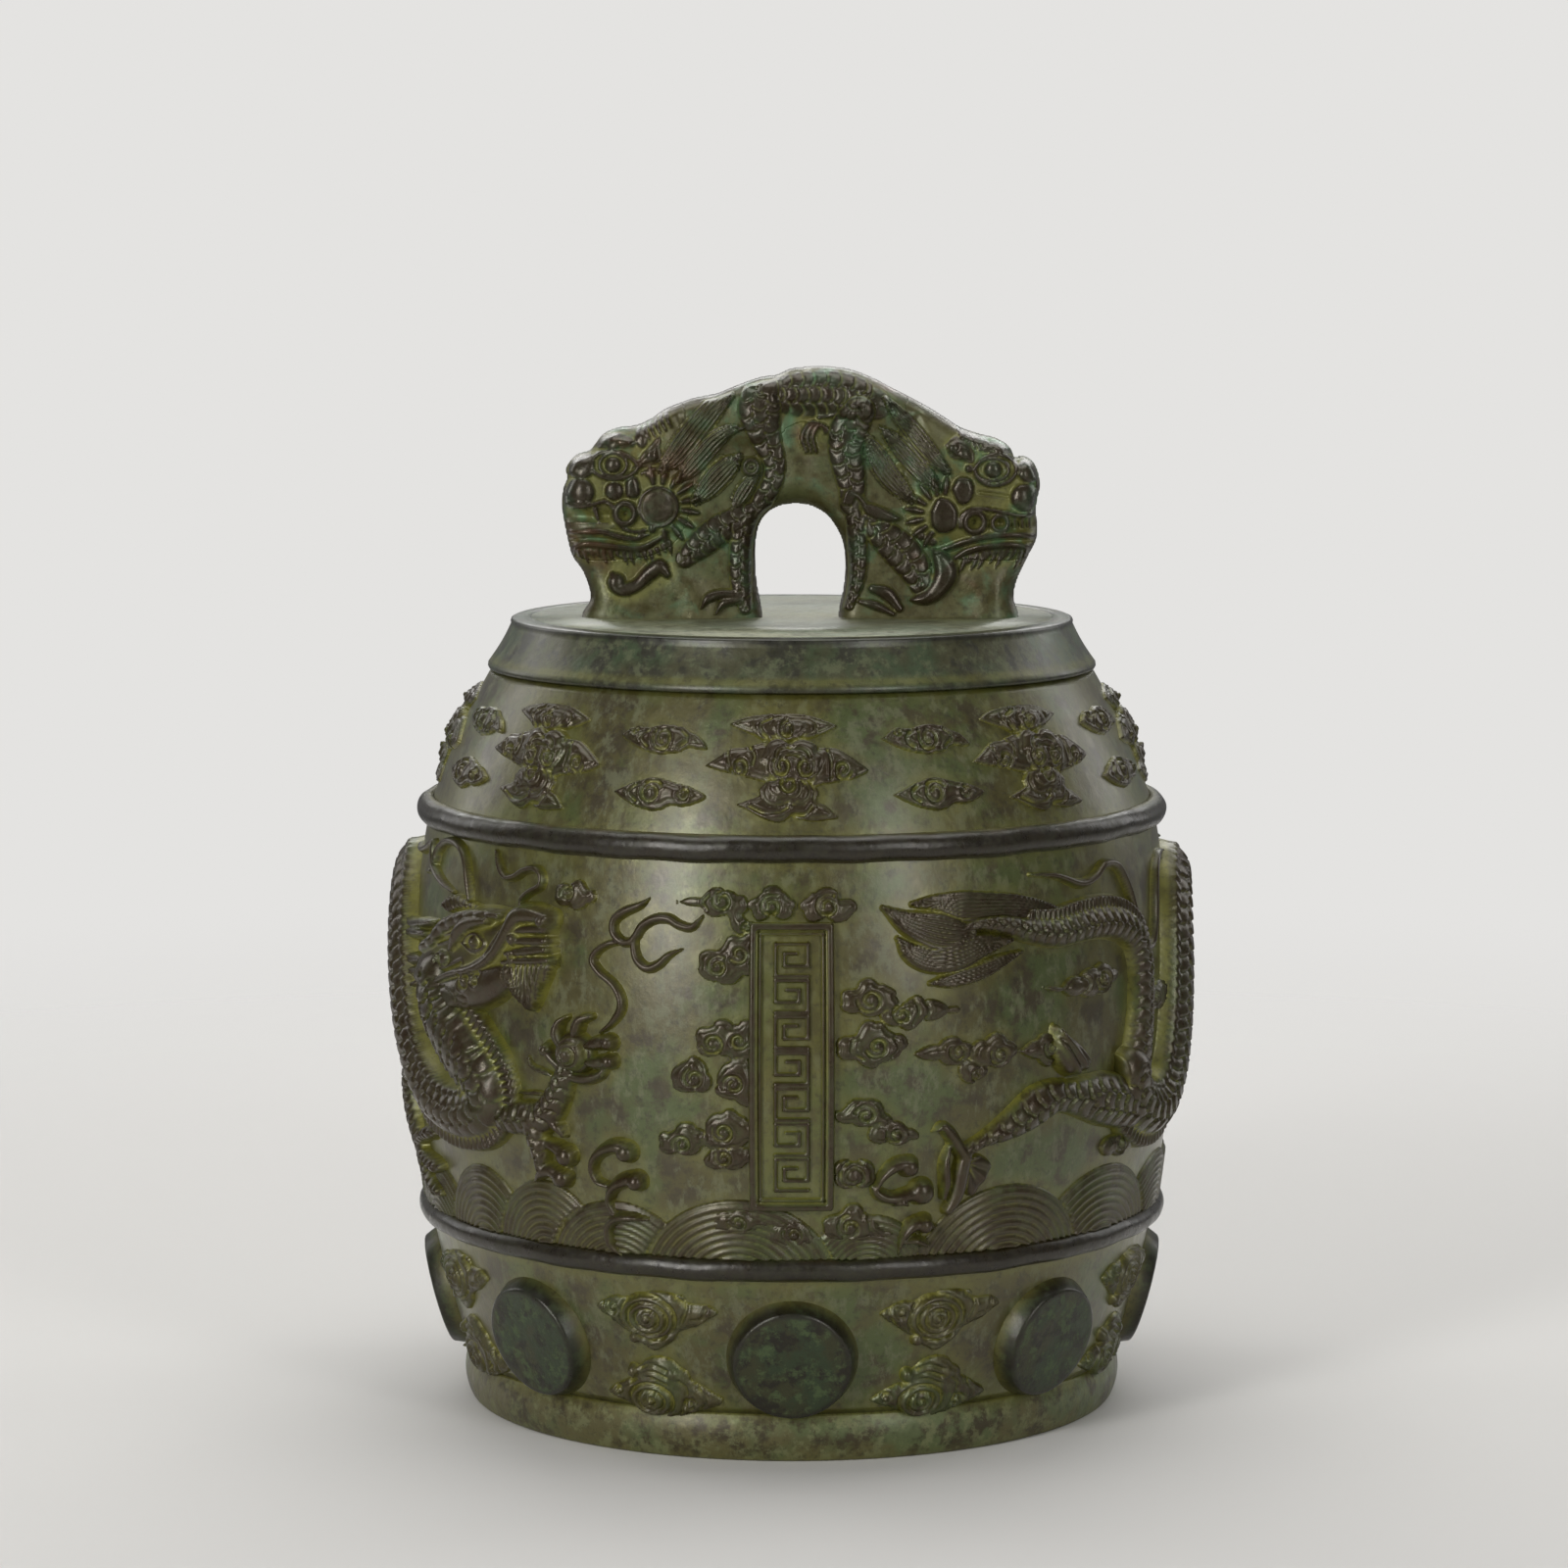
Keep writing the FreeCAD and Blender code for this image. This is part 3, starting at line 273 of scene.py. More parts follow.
def pillow(canvas, rows, rise, edge, base=0.0, rim=0.0, texture=None, lobe=0.0):
    # a closed outline filled to a cushion, round within edge mm of its outline,
    # with a groove cut rim mm inside it and bulges lobe mm long round it
    path = closedCurve(rows)
    if lobe:
        path = scalloped(path, lobe, lobe * tool["lobeShare"])
    margin = tool["pillowMargin"]
    window, far = measure(canvas, path, max(edge, rim) + margin)[:2]
    gx, gz = gridOf(canvas, window[1].start, window[1].stop, window[0].start, window[0].stop)
    inside = within(path, gx, gz)
    depth = np.where(far > 1e4, 50.0, far)
    t = 1 - np.clip(depth / edge, 0, 1)
    height = np.where(inside, base + rise * np.sqrt(np.clip(1 - t * t, 0, 1)),
                      base - np.minimum(depth, margin) * tool["fall"])
    if rim:
        groove = tool["grooveDepth"] * np.exp(-((depth - rim) / tool["grooveWidth"]) ** 2)
        height = height - np.where(inside, groove, 0)
    if texture is not None:
        height = height + np.where(inside, texture(gx, gz, t), 0)
    lift = canvas["lift"]
    covers = inside & (height > lift[window] - 0.6)
    lift[window] = np.where(covers, height, np.maximum(lift[window], height))


def disc(canvas, x, z, radius, rise, base=0.0, top=roundTop):
    stroke(canvas, [(x, z, radius), (x + 0.01, z, radius)], rise, base, top=top, smooth=False)


def spiral(x, z, outer, inner, turns, start, half):
    # rows of a spiral from its outer end inwards. start is in degrees; negative turns wind clockwise
    count = max(8, int(abs(turns) * 12))
    rows = []
    for k in range(count + 1):
        share = k / count
        r = outer + (inner - outer) * share ** 0.9
        a = math.radians(start) + 2 * math.pi * turns * share
        rows.append((x + r * math.cos(a), z + r * math.sin(a), half * (1 - 0.25 * share)))
    return rows


def blurred(field, radius, around=False):
    # box averages, taken twice each way
    half = max(1, int(round(radius)))
    for _ in range(2):
        for axis in (0, 1):
            mode = "wrap" if around and axis == 1 else "edge"
            pad = [(0, 0), (0, 0)]
            pad[axis] = (half, half)
            padded = np.cumsum(np.pad(field, pad, mode=mode), axis=axis)
            padded = np.insert(padded, 0, 0, axis=axis)
            size = field.shape[axis]
            ahead = np.take(padded, np.arange(2 * half + 1, 2 * half + 1 + size), axis=axis)
            field = (ahead - np.take(padded, np.arange(size), axis=axis)) / (2 * half + 1)
    return field


cover = np.zeros((int(wallTop) + 2, int(360 * degree)))  # the wall in cells of 1 mm, 1 under ornament


def stampNear(canvas, turns):
    # notes where ornament stands on the wall, for the patina round it
    rows, cols = np.nonzero(canvas["lift"] > 0.15)
    x = canvas["x"] + cols * canvas["step"]
    z = canvas["z"] + rows * canvas["step"]
    j = np.clip(z.astype(int), 0, cover.shape[0] - 1)
    for turn in turns:
        i = np.mod((x + turn * degree).astype(int), cover.shape[1])
        cover[j, i] = 1.0


# Making pieces

def meshOf(bm, name):
    mesh = bpy.data.meshes.new(name)
    bm.to_mesh(mesh)
    bm.free()
    return mesh


def addObject(name, data):
    made = bpy.data.objects.new(name, data)
    bpy.context.scene.collection.objects.link(made)
    return made


def dress(mesh, name, look, node):
    # the finished mesh as a piece, with its finish, in the place of its CAD node
    slot, material = finish[look]
    piece = addObject(name, mesh)
    mesh.shade_smooth()
    mesh.materials.append(material)
    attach(piece, "root")
    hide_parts(node)
    say(f"{name} {len(mesh.polygons)} faces")
    return piece


def setFloat(mesh, name, values):
    layer = mesh.attributes.new(name, "FLOAT", "POINT")
    layer.data.foreach_set("value", np.asarray(values, dtype=np.float32))


patina = {  # how rubbing and residue follow the relief; heights and hollows are in mm
    "nearReach": 1.0, "wideReach": 3.2,  # over which a place counts as a small or a wide hollow
    "fullHeight": 1.5, "height": 1.05, "crestMost": 0.25, "crest": 2.2, "hollow": 0.8,
    "level": 1.55, "steep": 0.75, "least": 0.12, "wideFrom": 0.2, "wide": 0.8,
    "dustHollow": 0.4, "dustHeight": 0.9, "dustSteepFrom": 0.9, "dustSteep": 0.3,
    "dustWideFrom": 0.15, "dustWideMost": 0.8, "dustWide": 1.1,
}


def wearAndDust(canvas):
    p, step = patina, canvas["step"]
    filled = np.maximum(canvas["lift"], 0)
    hollow = blurred(filled, p["nearReach"] / step) - filled
    wideHollow = blurred(filled, p["wideReach"] / step) - filled
    slope = np.hypot(*np.gradient(filled, step))
    low = np.clip(hollow, 0, 1)
    worn = np.clip(filled / p["fullHeight"], 0, 1) * p["height"]
    worn = worn + np.clip(-hollow, 0, p["crestMost"]) * p["crest"] - low * p["hollow"]
    worn = worn * np.clip(p["level"] - p["steep"] * slope, p["least"], 1) * canvas["wear"]
    worn = worn + canvas.get("wearBed", 0.0)
    worn = worn - np.clip(wideHollow - p["wideFrom"], 0, 1) * p["wide"]
    dust = low * p["dustHollow"] + np.clip(1 - filled / p["dustHeight"], 0, 1) * canvas["residue"]
    dust = dust + np.clip(slope - p["dustSteepFrom"], 0, 1) * p["dustSteep"]
    dust = dust + np.clip(wideHollow - p["dustWideFrom"], 0, p["dustWideMost"]) * p["dustWide"]
    return np.clip(worn, 0, 1), np.clip(dust, 0, 1)


def reliefMesh(name, canvas, place, floor=-0.5, back=-1.3):
    # a closed shell from a canvas: cells above the floor, walls round them and a flat back.
    # A canvas may stand on a bed of its own, name its cells, or be alike on both faces.
    lift = canvas["lift"]
    bed = canvas.get("bed", 0 * lift)
    nz, nx = lift.shape
    high = lift > floor
    cell = canvas.get("cells", high[:-1, :-1] | high[1:, :-1] | high[:-1, 1:] | high[1:, 1:])
    bm = bmesh.new()
    bmesh.ops.create_grid(bm, x_segments=nx - 1, y_segments=nz - 1, size=0.5)
    doomed = []
    for face in bm.faces:
        middle = face.calc_center_median()
        if not cell[int((middle.y + 0.5) * (nz - 1)), int((middle.x + 0.5) * (nx - 1))]:
            doomed.append(face)
    bmesh.ops.delete(bm, geom=doomed, context="FACES")
    made = bmesh.ops.extrude_face_region(bm, geom=bm.faces[:], use_keep_orig=True)
    raised = [item for item in made["geom"] if isinstance(item, bmesh.types.BMVert)]
    bmesh.ops.translate(bm, verts=raised, vec=(0, 0, 1))
    bmesh.ops.recalc_face_normals(bm, faces=bm.faces[:])
    mesh = meshOf(bm, name)
    co = np.zeros(len(mesh.vertices) * 3, dtype=np.float32)
    mesh.vertices.foreach_get("co", co)
    co = co.reshape(-1, 3)
    i = np.rint((co[:, 0] + 0.5) * (nx - 1)).astype(int)
    j = np.rint((co[:, 1] + 0.5) * (nz - 1)).astype(int)
    front = co[:, 2] > 0.5
    shown = bed + np.maximum(lift, floor - 0.3)
    behind = -shown if canvas.get("bothFaces") else bed + back
    height = np.where(front, shown[j, i], behind[j, i])
    x = canvas["x"] + i * canvas["step"]
    z = canvas["z"] + j * canvas["step"]
    if "pull" in canvas:  # brings the outermost points onto the drawn outline
        x, z = x + canvas["pull"][0][j, i], z + canvas["pull"][1][j, i]
    mesh.vertices.foreach_set("co", place(x, z, height).astype(np.float32).ravel())
    worn, dust = wearAndDust(canvas)
    shows = front | bool(canvas.get("bothFaces"))
    setFloat(mesh, "worn", np.where(shows, worn[j, i], 0))
    setFloat(mesh, "dust", np.where(shows, dust[j, i], 1))
    mesh.update()
    return mesh


def joined(meshes, name, turns=(0,)):
    # one mesh of several, repeated about the bell's axis at the turns given in degrees
    bm = bmesh.new()
    for turn in turns:
        for mesh in meshes:
            copy = mesh.copy()
            copy.transform(Matrix.Rotation(math.radians(turn), 4, "Z"))
            bm.from_mesh(copy)
            bpy.data.meshes.remove(copy)
    return meshOf(bm, name)


def relief(name, canvases, nodeByTurn, wear, residue=0.7, turns=(0,)):
    # one ornament, repeated within a piece at turns, and as separate pieces by nodeByTurn;
    # wear is how far it is rubbed back, and residue how much dust lies low on it
    canvases = canvases if isinstance(canvases, (list, tuple)) else [canvases]
    for canvas in canvases:
        canvas["wear"], canvas["residue"] = wear, residue
    meshes = [reliefMesh(name, canvas, wrap) for canvas in canvases]
    for count, (turn, node) in enumerate(nodeByTurn):
        label = name if len(nodeByTurn) == 1 else f"{name}{count + 1}"
        dress(joined(meshes, label, [turn + extra for extra in turns]), label, "relief", node)
    for canvas in canvases:
        stampNear(canvas, [turn + extra for turn, _ in nodeByTurn for extra in turns])


# Materials

def colour(code):
    # an sRGB hex colour, made linear
    parts = [int(code[k:k + 2], 16) / 255 for k in (1, 3, 5)]
    return [c / 12.92 if c <= 0.04045 else ((c + 0.055) / 1.055) ** 2.4 for c in parts] + [1.0]


def put(tree, kind, inputs=None, **settings):
    # adds a node with its settings and links
    made = tree.nodes.new(kind)
    for key, value in settings.items():
        setattr(made, key, value)
    for key, value in (inputs or {}).items():
        socket = made.inputs[key]
        if isinstance(value, bpy.types.NodeSocket):
            tree.links.new(value, socket)
        else:
            socket.default_value = value
    return made


def newMaterial(name):
    material = bpy.data.materials.new(name)
    material.use_nodes = True
    material.node_tree.nodes.clear()
    return material, material.node_tree


def patinatedBronze(name, look):
    # Lost-wax cast bronze, chemically patinated, waxed and rubbed back on the high spots.
    # The eye gets brown-black relief over an olive field, pale ochre residue in the corners,
    # soft green clouding and a broad waxy sheen. "worn" and "dust" are painted on the meshes.
    material, tree = newMaterial(name)
    place = put(tree, "ShaderNodeTexCoord").outputs["Object"]
    worn = put(tree, "ShaderNodeAttribute", attribute_name="worn").outputs["Fac"]
    dust = put(tree, "ShaderNodeAttribute", attribute_name="dust").outputs["Fac"]

    # blotches by their size in mm: broad clouds, hand-sized blotches, fine speckle, casting grain
    sizes = {"cloud": (look["cloudSize"], 4.0, 0.6), "blotch": (look["blotchSize"], 5.0, 0.65),
             "speckle": (2.4, 4.0, 0.75), "grain": (0.9, 3.0, 0.6), "dents": (7.0, 2.0, 0.5),
             "strokes": (4.6, 5.0, 0.72)}
    upright = put(tree, "ShaderNodeVectorMath", {0: place, 1: (1.0, 1.0, look["stretch"])},
                  operation="MULTIPLY")
    noise = {key: put(tree, "ShaderNodeTexNoise", {
        "Vector": upright.outputs[0] if key == "strokes" else place,
        "Scale": 1000.0 / size, "Detail": detail, "Roughness": rough}).outputs["Fac"]
        for key, (size, detail, rough) in sizes.items()}

    # each layer of colour: what drives it, where it starts and is full, its most share
    # and what it is thinned by
    thin = put(tree, "ShaderNodeMapRange", {
        "Value": noise["blotch"], "From Min": 0.25, "From Max": 0.6, "To Min": 1.0, "To Max": 0.55})
    patchy = put(tree, "ShaderNodeMapRange", {
        "Value": noise["speckle"], "From Min": 0.3, "From Max": 0.62, "To Min": 1.0, "To Max": 0.66})
    corners = put(tree, "ShaderNodeMapRange", {
        "Value": dust, "From Min": 0.05, "From Max": 0.6, "To Min": 0.3, "To Max": 1.0})
    layers = [
        (noise["cloud"], 0.45, 0.57, 1.0, None, look["fieldGreen"]),
        (noise["blotch"], 0.48, 0.6, 0.95, None, look["fieldDark"]),
        (noise["strokes"], 0.49, 0.62, 0.65, None, look["bloom"]),
        (dust, 0.0, 1.0, 1.0, thin.outputs["Result"], look["dust"]),
        (worn, 0.0, 1.0, 1.0, patchy.outputs["Result"], look["worn"]),
    ]
    for key, low, high, thinned in (("verdigris", 0.5, 0.68, corners.outputs["Result"]),
                                    ("rust", 0.57, 0.72, None)):
        if key in look:
            size = look[key + "Size"]
            spots = put(tree, "ShaderNodeTexNoise", {
                "Vector": place, "Scale": 1000.0 / size, "Detail": 4.0, "Roughness": 0.6, "Distortion": 0.4})
            layers.append((spots.outputs["Fac"], low, high, look[key + "Share"], thinned, look[key]))
    layers.append((noise["speckle"], 0.5, 0.7, 0.55, None, look["fleck"]))
    base = colour(look["field"])
    shares = []
    for driver, low, high, most, thinned, tint in layers:
        share = put(tree, "ShaderNodeMapRange", {
            "Value": driver, "From Min": low, "From Max": high, "To Max": most},
            interpolation_type="SMOOTHSTEP").outputs["Result"]
        if thinned is not None:
            share = put(tree, "ShaderNodeMath", {0: share, 1: thinned}, operation="MULTIPLY").outputs[0]
        shares.append(share)
        base = put(tree, "ShaderNodeMix", {0: share, 6: base, 7: colour(tint)}, data_type="RGBA").outputs[2]

    rubbed = shares[4]
    uneven = put(tree, "ShaderNodeMapRange", {
        "Value": noise["strokes"], "From Min": 0.36, "From Max": 0.64, "To Min": -0.1, "To Max": 0.12})
    rough = put(tree, "ShaderNodeMapRange", {
        "Value": rubbed, "To Min": look["roughness"], "To Max": look["wornRoughness"]})
    rough = put(tree, "ShaderNodeMath", {0: rough.outputs["Result"], 1: uneven.outputs["Result"]},
                operation="ADD", use_clamp=True)
    shine = put(tree, "ShaderNodeMapRange", {
        "Value": rubbed, "To Min": look["metallic"], "To Max": look["wornMetallic"]})
    grain = put(tree, "ShaderNodeBump", {
        "Height": noise["grain"], "Strength": look["grain"], "Distance": 0.00012})
    dents = put(tree, "ShaderNodeBump", {
        "Height": noise["dents"], "Strength": look["dents"], "Distance": 0.001,
        "Normal": grain.outputs["Normal"]})
    surface = put(tree, "ShaderNodeBsdfPrincipled", {
        "Base Color": base, "Metallic": shine.outputs["Result"], "Roughness": rough.outputs[0],
        "Normal": dents.outputs["Normal"], "Coat Weight": look["wax"], "Coat Roughness": 0.3})
    put(tree, "ShaderNodeOutputMaterial", {"Surface": surface.outputs["BSDF"]})
    return material


fieldLook = {
    "field": "#4c461e", "fieldGreen": "#485227", "fieldDark": "#3a3118", "dust": "#69672a",
    "worn": "#271e14", "fleck": "#29260f", "cloudSize": 34.0, "blotchSize": 10.0,
    "roughness": 0.42, "wornRoughness": 0.33, "metallic": 0.35, "wornMetallic": 0.45,
    "grain": 0.55, "dents": 0.4, "wax": 0.7, "stretch": 0.55, "bloom": "#66684a",
}
reliefLook = dict(fieldLook, field="#4a4520", fieldGreen="#464f26", dust="#7d7a2c", worn="#33240f", wax=0.35,
                  roughness=0.44, wornRoughness=0.31, grain=0.5, dents=0.25, blotchSize=9.0, stretch=1.0,
                  bloom="#55573a")
ringLook = dict(fieldLook, field="#2e2a14", fieldGreen="#33361a", worn="#1d160c", dust="#66612f",
                wornRoughness=0.3, stretch=1.0, bloom="#44452c", wax=0.25, metallic=0.2, wornMetallic=0.25)
rimLook = dict(fieldLook, stretch=1.0, field="#5a5530", fieldGreen="#566039", bloom="#757850", wax=0.3,
               roughness=0.5, dents=0.6)
bossLook = dict(fieldLook, field="#33341a", fieldGreen="#2b371f", fieldDark="#1d190c", roughness=0.5,
                worn="#231f15", dust="#605b2b", cloudSize=18.0, blotchSize=6.0, wax=0.25, stretch=1.0,
                bloom="#4b5c36")
crownLook = dict(fieldLook, field="#45442a", fieldGreen="#3c4a2e", fieldDark="#2d2c1d", wax=0.5,
                 worn="#24221a", roughness=0.44, wornRoughness=0.34, stretch=1.0, bloom="#5c6142")
# the crown's top plate: colours lightened to paint in the pale reflection its flat top catches from the light
# above, a painted reflection laid over its olive patina
crownTopPaintedReflectionLook = dict(crownLook, field="#7f8166", fieldGreen="#767e68", fieldDark="#62644e", bloom="#92947c",
               worn="#5a5b40", dust="#8c8a4c")
loopLook = dict(reliefLook, field="#4c4730", fieldGreen="#454e34", dust="#747336", worn="#33281a",
                verdigris="#4c7a5a", verdigrisSize=12.0, verdigrisShare=0.6, wax=0.2,
                rust="#5a3a22", rustSize=24.0, rustShare=0.6, wornRoughness=0.24,
                dents=0.7, grain=0.7)

finish = {look: (slot, patinatedBronze(name, settings)) for look, slot, name, settings in (
    ("field", "field_bronze", "castBronzeOliveField", fieldLook),
    ("relief", "relief_bronze", "castBronzeRubbedRelief", reliefLook),
    ("ring", "ring_bronze", "castBronzeRubbedRing", ringLook),
    ("rim", "field_bronze", "castBronzeMouthRim", rimLook),
    ("boss", "boss_bronze", "castBronzeGreenBoss", bossLook),
    ("crown", "crown_bronze", "castBronzeSmoothCrown", crownLook),
    ("crownTop", "crown_bronze", "castBronzeDustyCrownTop", crownTopPaintedReflectionLook),
    ("loop", "loop_bronze", "castBronzeVerdigrisLoop", loopLook))}


# The turned body: wall, rings, rim, collar, crown and bosses

def spun(profile, steps, closed=True):
    # a profile of (radius, height) in mm, turned once round the axis
    bm = bmesh.new()
    verts = [bm.verts.new((r * mm, 0, z * mm)) for r, z in profile]
    for a, b in zip(verts, verts[1:] + (verts[:1] if closed else [])):
        bm.edges.new((a, b))
    bmesh.ops.spin(bm, geom=bm.verts[:] + bm.edges[:], cent=(0, 0, 0), axis=(0, 0, 1),
                   angle=math.tau, steps=steps, use_merge=True, use_duplicate=False)
    bmesh.ops.remove_doubles(bm, verts=bm.verts[:], dist=0.00001)
    bmesh.ops.recalc_face_normals(bm, faces=bm.faces[:])
    return bm


def paint(piece, wornAt, dustAt):
    # fills the wear and residue attributes from functions of position in mm
    mesh = piece.data
    co = np.zeros(len(mesh.vertices) * 3)
    mesh.vertices.foreach_get("co", co)
    x, y, z = (co.reshape(-1, 3) / mm).T
    setFloat(mesh, "worn", np.clip(wornAt(x, y, z) + np.zeros(len(x)), 0, 1))
    setFloat(mesh, "dust", np.clip(dustAt(x, y, z) + np.zeros(len(x)), 0, 1))


def arcRow(cx, cz, r, first, last, count):
    angles = np.radians(np.linspace(first, last, count))
    return [(cx + r * math.cos(a), cz + r * math.sin(a)) for a in angles]


def falloff(distance, width):
    return np.exp(-np.maximum(distance, 0) / width)


def makeWall():
    heights = np.linspace(rimTop, wallTop, int((wallTop - rimTop) / bell["stepUp"]))
    radius, out, up = wallProfile(heights)
    outer = list(zip(radius, heights))
    inner = [(r - bell["thickness"] * o, z - bell["thickness"] * u)
             for r, z, o, u in list(zip(radius, heights, out, up))[::-5]]
    inner = [(r, min(max(z, rimTop), wallTop)) for r, z in inner]
    mesh = meshOf(spun(outer + inner, bell["stepsRound"]), "bellWall")
    return dress(mesh, "bellWall", "field", "bell_wall")


wallDust = {"close": 0.46, "closeReach": 1.6, "wide": 0.22, "wideReach": 5.0, "rings": 0.75, "inside": 0.15}


def finishWall(piece):
    # residue gathers round the ornament and along the rings, and fades over a few mm
    close = np.clip(blurred(cover, wallDust["closeReach"], True) * 2.2, 0, 1)
    wide = np.clip(blurred(cover, wallDust["wideReach"], True) * 1.6, 0, 1)

    def outside(x, y, z):
        return np.hypot(x, y) > wallProfile(z)[0] - 1.0

    def dustAt(x, y, z):
        i = np.mod((np.arctan2(x, -y) * drawRadius).astype(int), cover.shape[1])
        j = np.clip(z.astype(int), 0, cover.shape[0] - 1)
        rings = sum(falloff(abs(z - h) - 4.0, 3.0) for h in (lowBead, highBead))
        rings = rings + falloff(z - rimTop, 4.0) + falloff(wallTop - z, 3.0)
        near = wallDust["close"] * close[j, i] + wallDust["wide"] * wide[j, i]
        return np.where(outside(x, y, z), np.clip(near, 0, 1) + wallDust["rings"] * rings, wallDust["inside"])
    paint(piece, lambda x, y, z: np.where(outside(x, y, z), 0.1, 0.0), dustAt)


bead = {"low": ("lower_moulding", "ringLow", lowBead, 3.55),
        "high": ("upper_moulding", "ringHigh", highBead, 3.95),
        "sink": 0.8, "unevenness": 0.12, "steps": 480}


def makeRings():
    for key in ("low", "high"):
        node, name, z, size = bead[key]
        radius = float(wallProfile(z)[0])
        profile = arcRow(radius, z, size, -88, 88, 19)
        profile += [(radius - bead["sink"], z + size), (radius - bead["sink"], z - size)]
        bm = spun(profile, bead["steps"])
        for vert in bm.verts:  # filed by hand, so never quite even
            turn = math.atan2(vert.co.x, -vert.co.y)
            wobble = math.sin(turn * 7 + 1) + math.sin(turn * 17 + 2.3) + math.sin(turn * 31)
            if vert.co.to_2d().length / mm > radius + 0.5:
                vert.co.z += bead["unevenness"] * wobble * mm
        paint(dress(meshOf(bm, name), name, "ring", node),
              lambda x, y, v: np.clip((np.hypot(x, y) - radius - 1.2) / 1.8, 0, 1) * 0.95,
              lambda x, y, v: np.clip(1 - (np.hypot(x, y) - radius) / 1.3, 0, 1))


rim = {"inner": 86.0, "foot": 97.0, "top": 97.7, "bulge": 1.8, "steps": 360}


def makeRim():
    low, high = (rim["foot"], rimFoot), (rim["top"], rimTop)
    middle = ((rim["foot"] + rim["top"]) / 2 + rim["bulge"], (rimFoot + rimTop) / 2)
    cx, cz, cr = arcThrough(low, middle, high)
    heights = np.linspace(rimFoot + 0.9, rimTop, 18)
    profile = [(rim["inner"] + 0.6, rimFoot), (rim["foot"] - 0.6, rimFoot),
               (rim["foot"] + 0.1, rimFoot + 0.35)]
    profile += [(cx + math.sqrt(cr * cr - (z - cz) ** 2), z) for z in heights]
    profile += [(rim["inner"] + 2.0, rimTop), (rim["inner"], rimTop - 1.5), (rim["inner"], rimFoot + 0.6)]
    paint(dress(meshOf(spun(profile, rim["steps"]), "mouthRim"), "mouthRim", "rim", "mouth_rim"),
          lambda x, y, z: np.clip((np.hypot(x, y) - 98.6) / 0.9, 0, 1) * 0.35,
          lambda x, y, z: falloff(rimTop - z, 2.0) * 0.9 + falloff(z, 2.0) * 0.8)


collar = {"low": 91.05, "high": 84.05, "seat": 78.0, "plate": 9, "steps": 360}


def makeCollar():
    foot, top = wallTop, crownTop
    low, high, seat, deep = (collar[key] for key in ("low", "high", "seat", "plate"))
    profile = [(low - 1.4, foot), (low - 0.3, foot + 0.1), (low, foot + 0.7), (low - 0.1, foot + 1.6)]
    for k in range(1, 12):  # the slope, a little hollow
        share = k / 12
        r = low - 0.1 + (high - low + 0.1) * share - 0.45 * math.sin(math.pi * share)
        profile.append((r, foot + 1.6 + (top - foot - 3.4) * share))
    profile += [(high, top - 1.8), (high + 0.15, top - 1.0), (high - 0.1, top - 0.35), (high - 0.9, top)]
    profile += [(high - 3.0, top - 0.02), (seat, top), (seat, top - deep), (low - 9, foot)]
    mesh = meshOf(spun(profile, collar["steps"]), "shoulderCollar")

    def edge(x, y, z):
        return np.exp(-((top - 0.7 - z) / 0.9) ** 2) * (np.hypot(x, y) > high - 1.5)
    paint(dress(mesh, "shoulderCollar", "crown", "shoulder_collar"),
          lambda x, y, z: edge(x, y, z) * 0.9 + 0.5 * np.exp(-((z - foot - 0.8) / 0.8) ** 2) + 0.1,
          lambda x, y, z: 0.7 * np.exp(-((z - foot - 3.0) / 1.4) ** 2))
    # the top plate takes the pale look whose colours paint in the reflection of light on its flat top
    plate = [(0, top), (seat / 2, top), (seat, top), (seat, top - deep), (seat / 2, top - deep),
             (0, top - deep)]
    mesh = meshOf(spun(plate, collar["steps"]), "crownPlate")
    paint(dress(mesh, "crownPlate", "crownTop", "crown_plate"), lambda x, y, z: 0.15,
          lambda x, y, z: 0.7 * falloff(np.maximum(abs(y) - 13.5, abs(x) - 64), 3.0))


octants = [k * 45 for k in range(8)]
boss = {"radius": 17.9, "draft": 0.9, "rise": 4.3, "edge": 1.3, "height": 31.0, "sink": 3.0, "steps": 72}


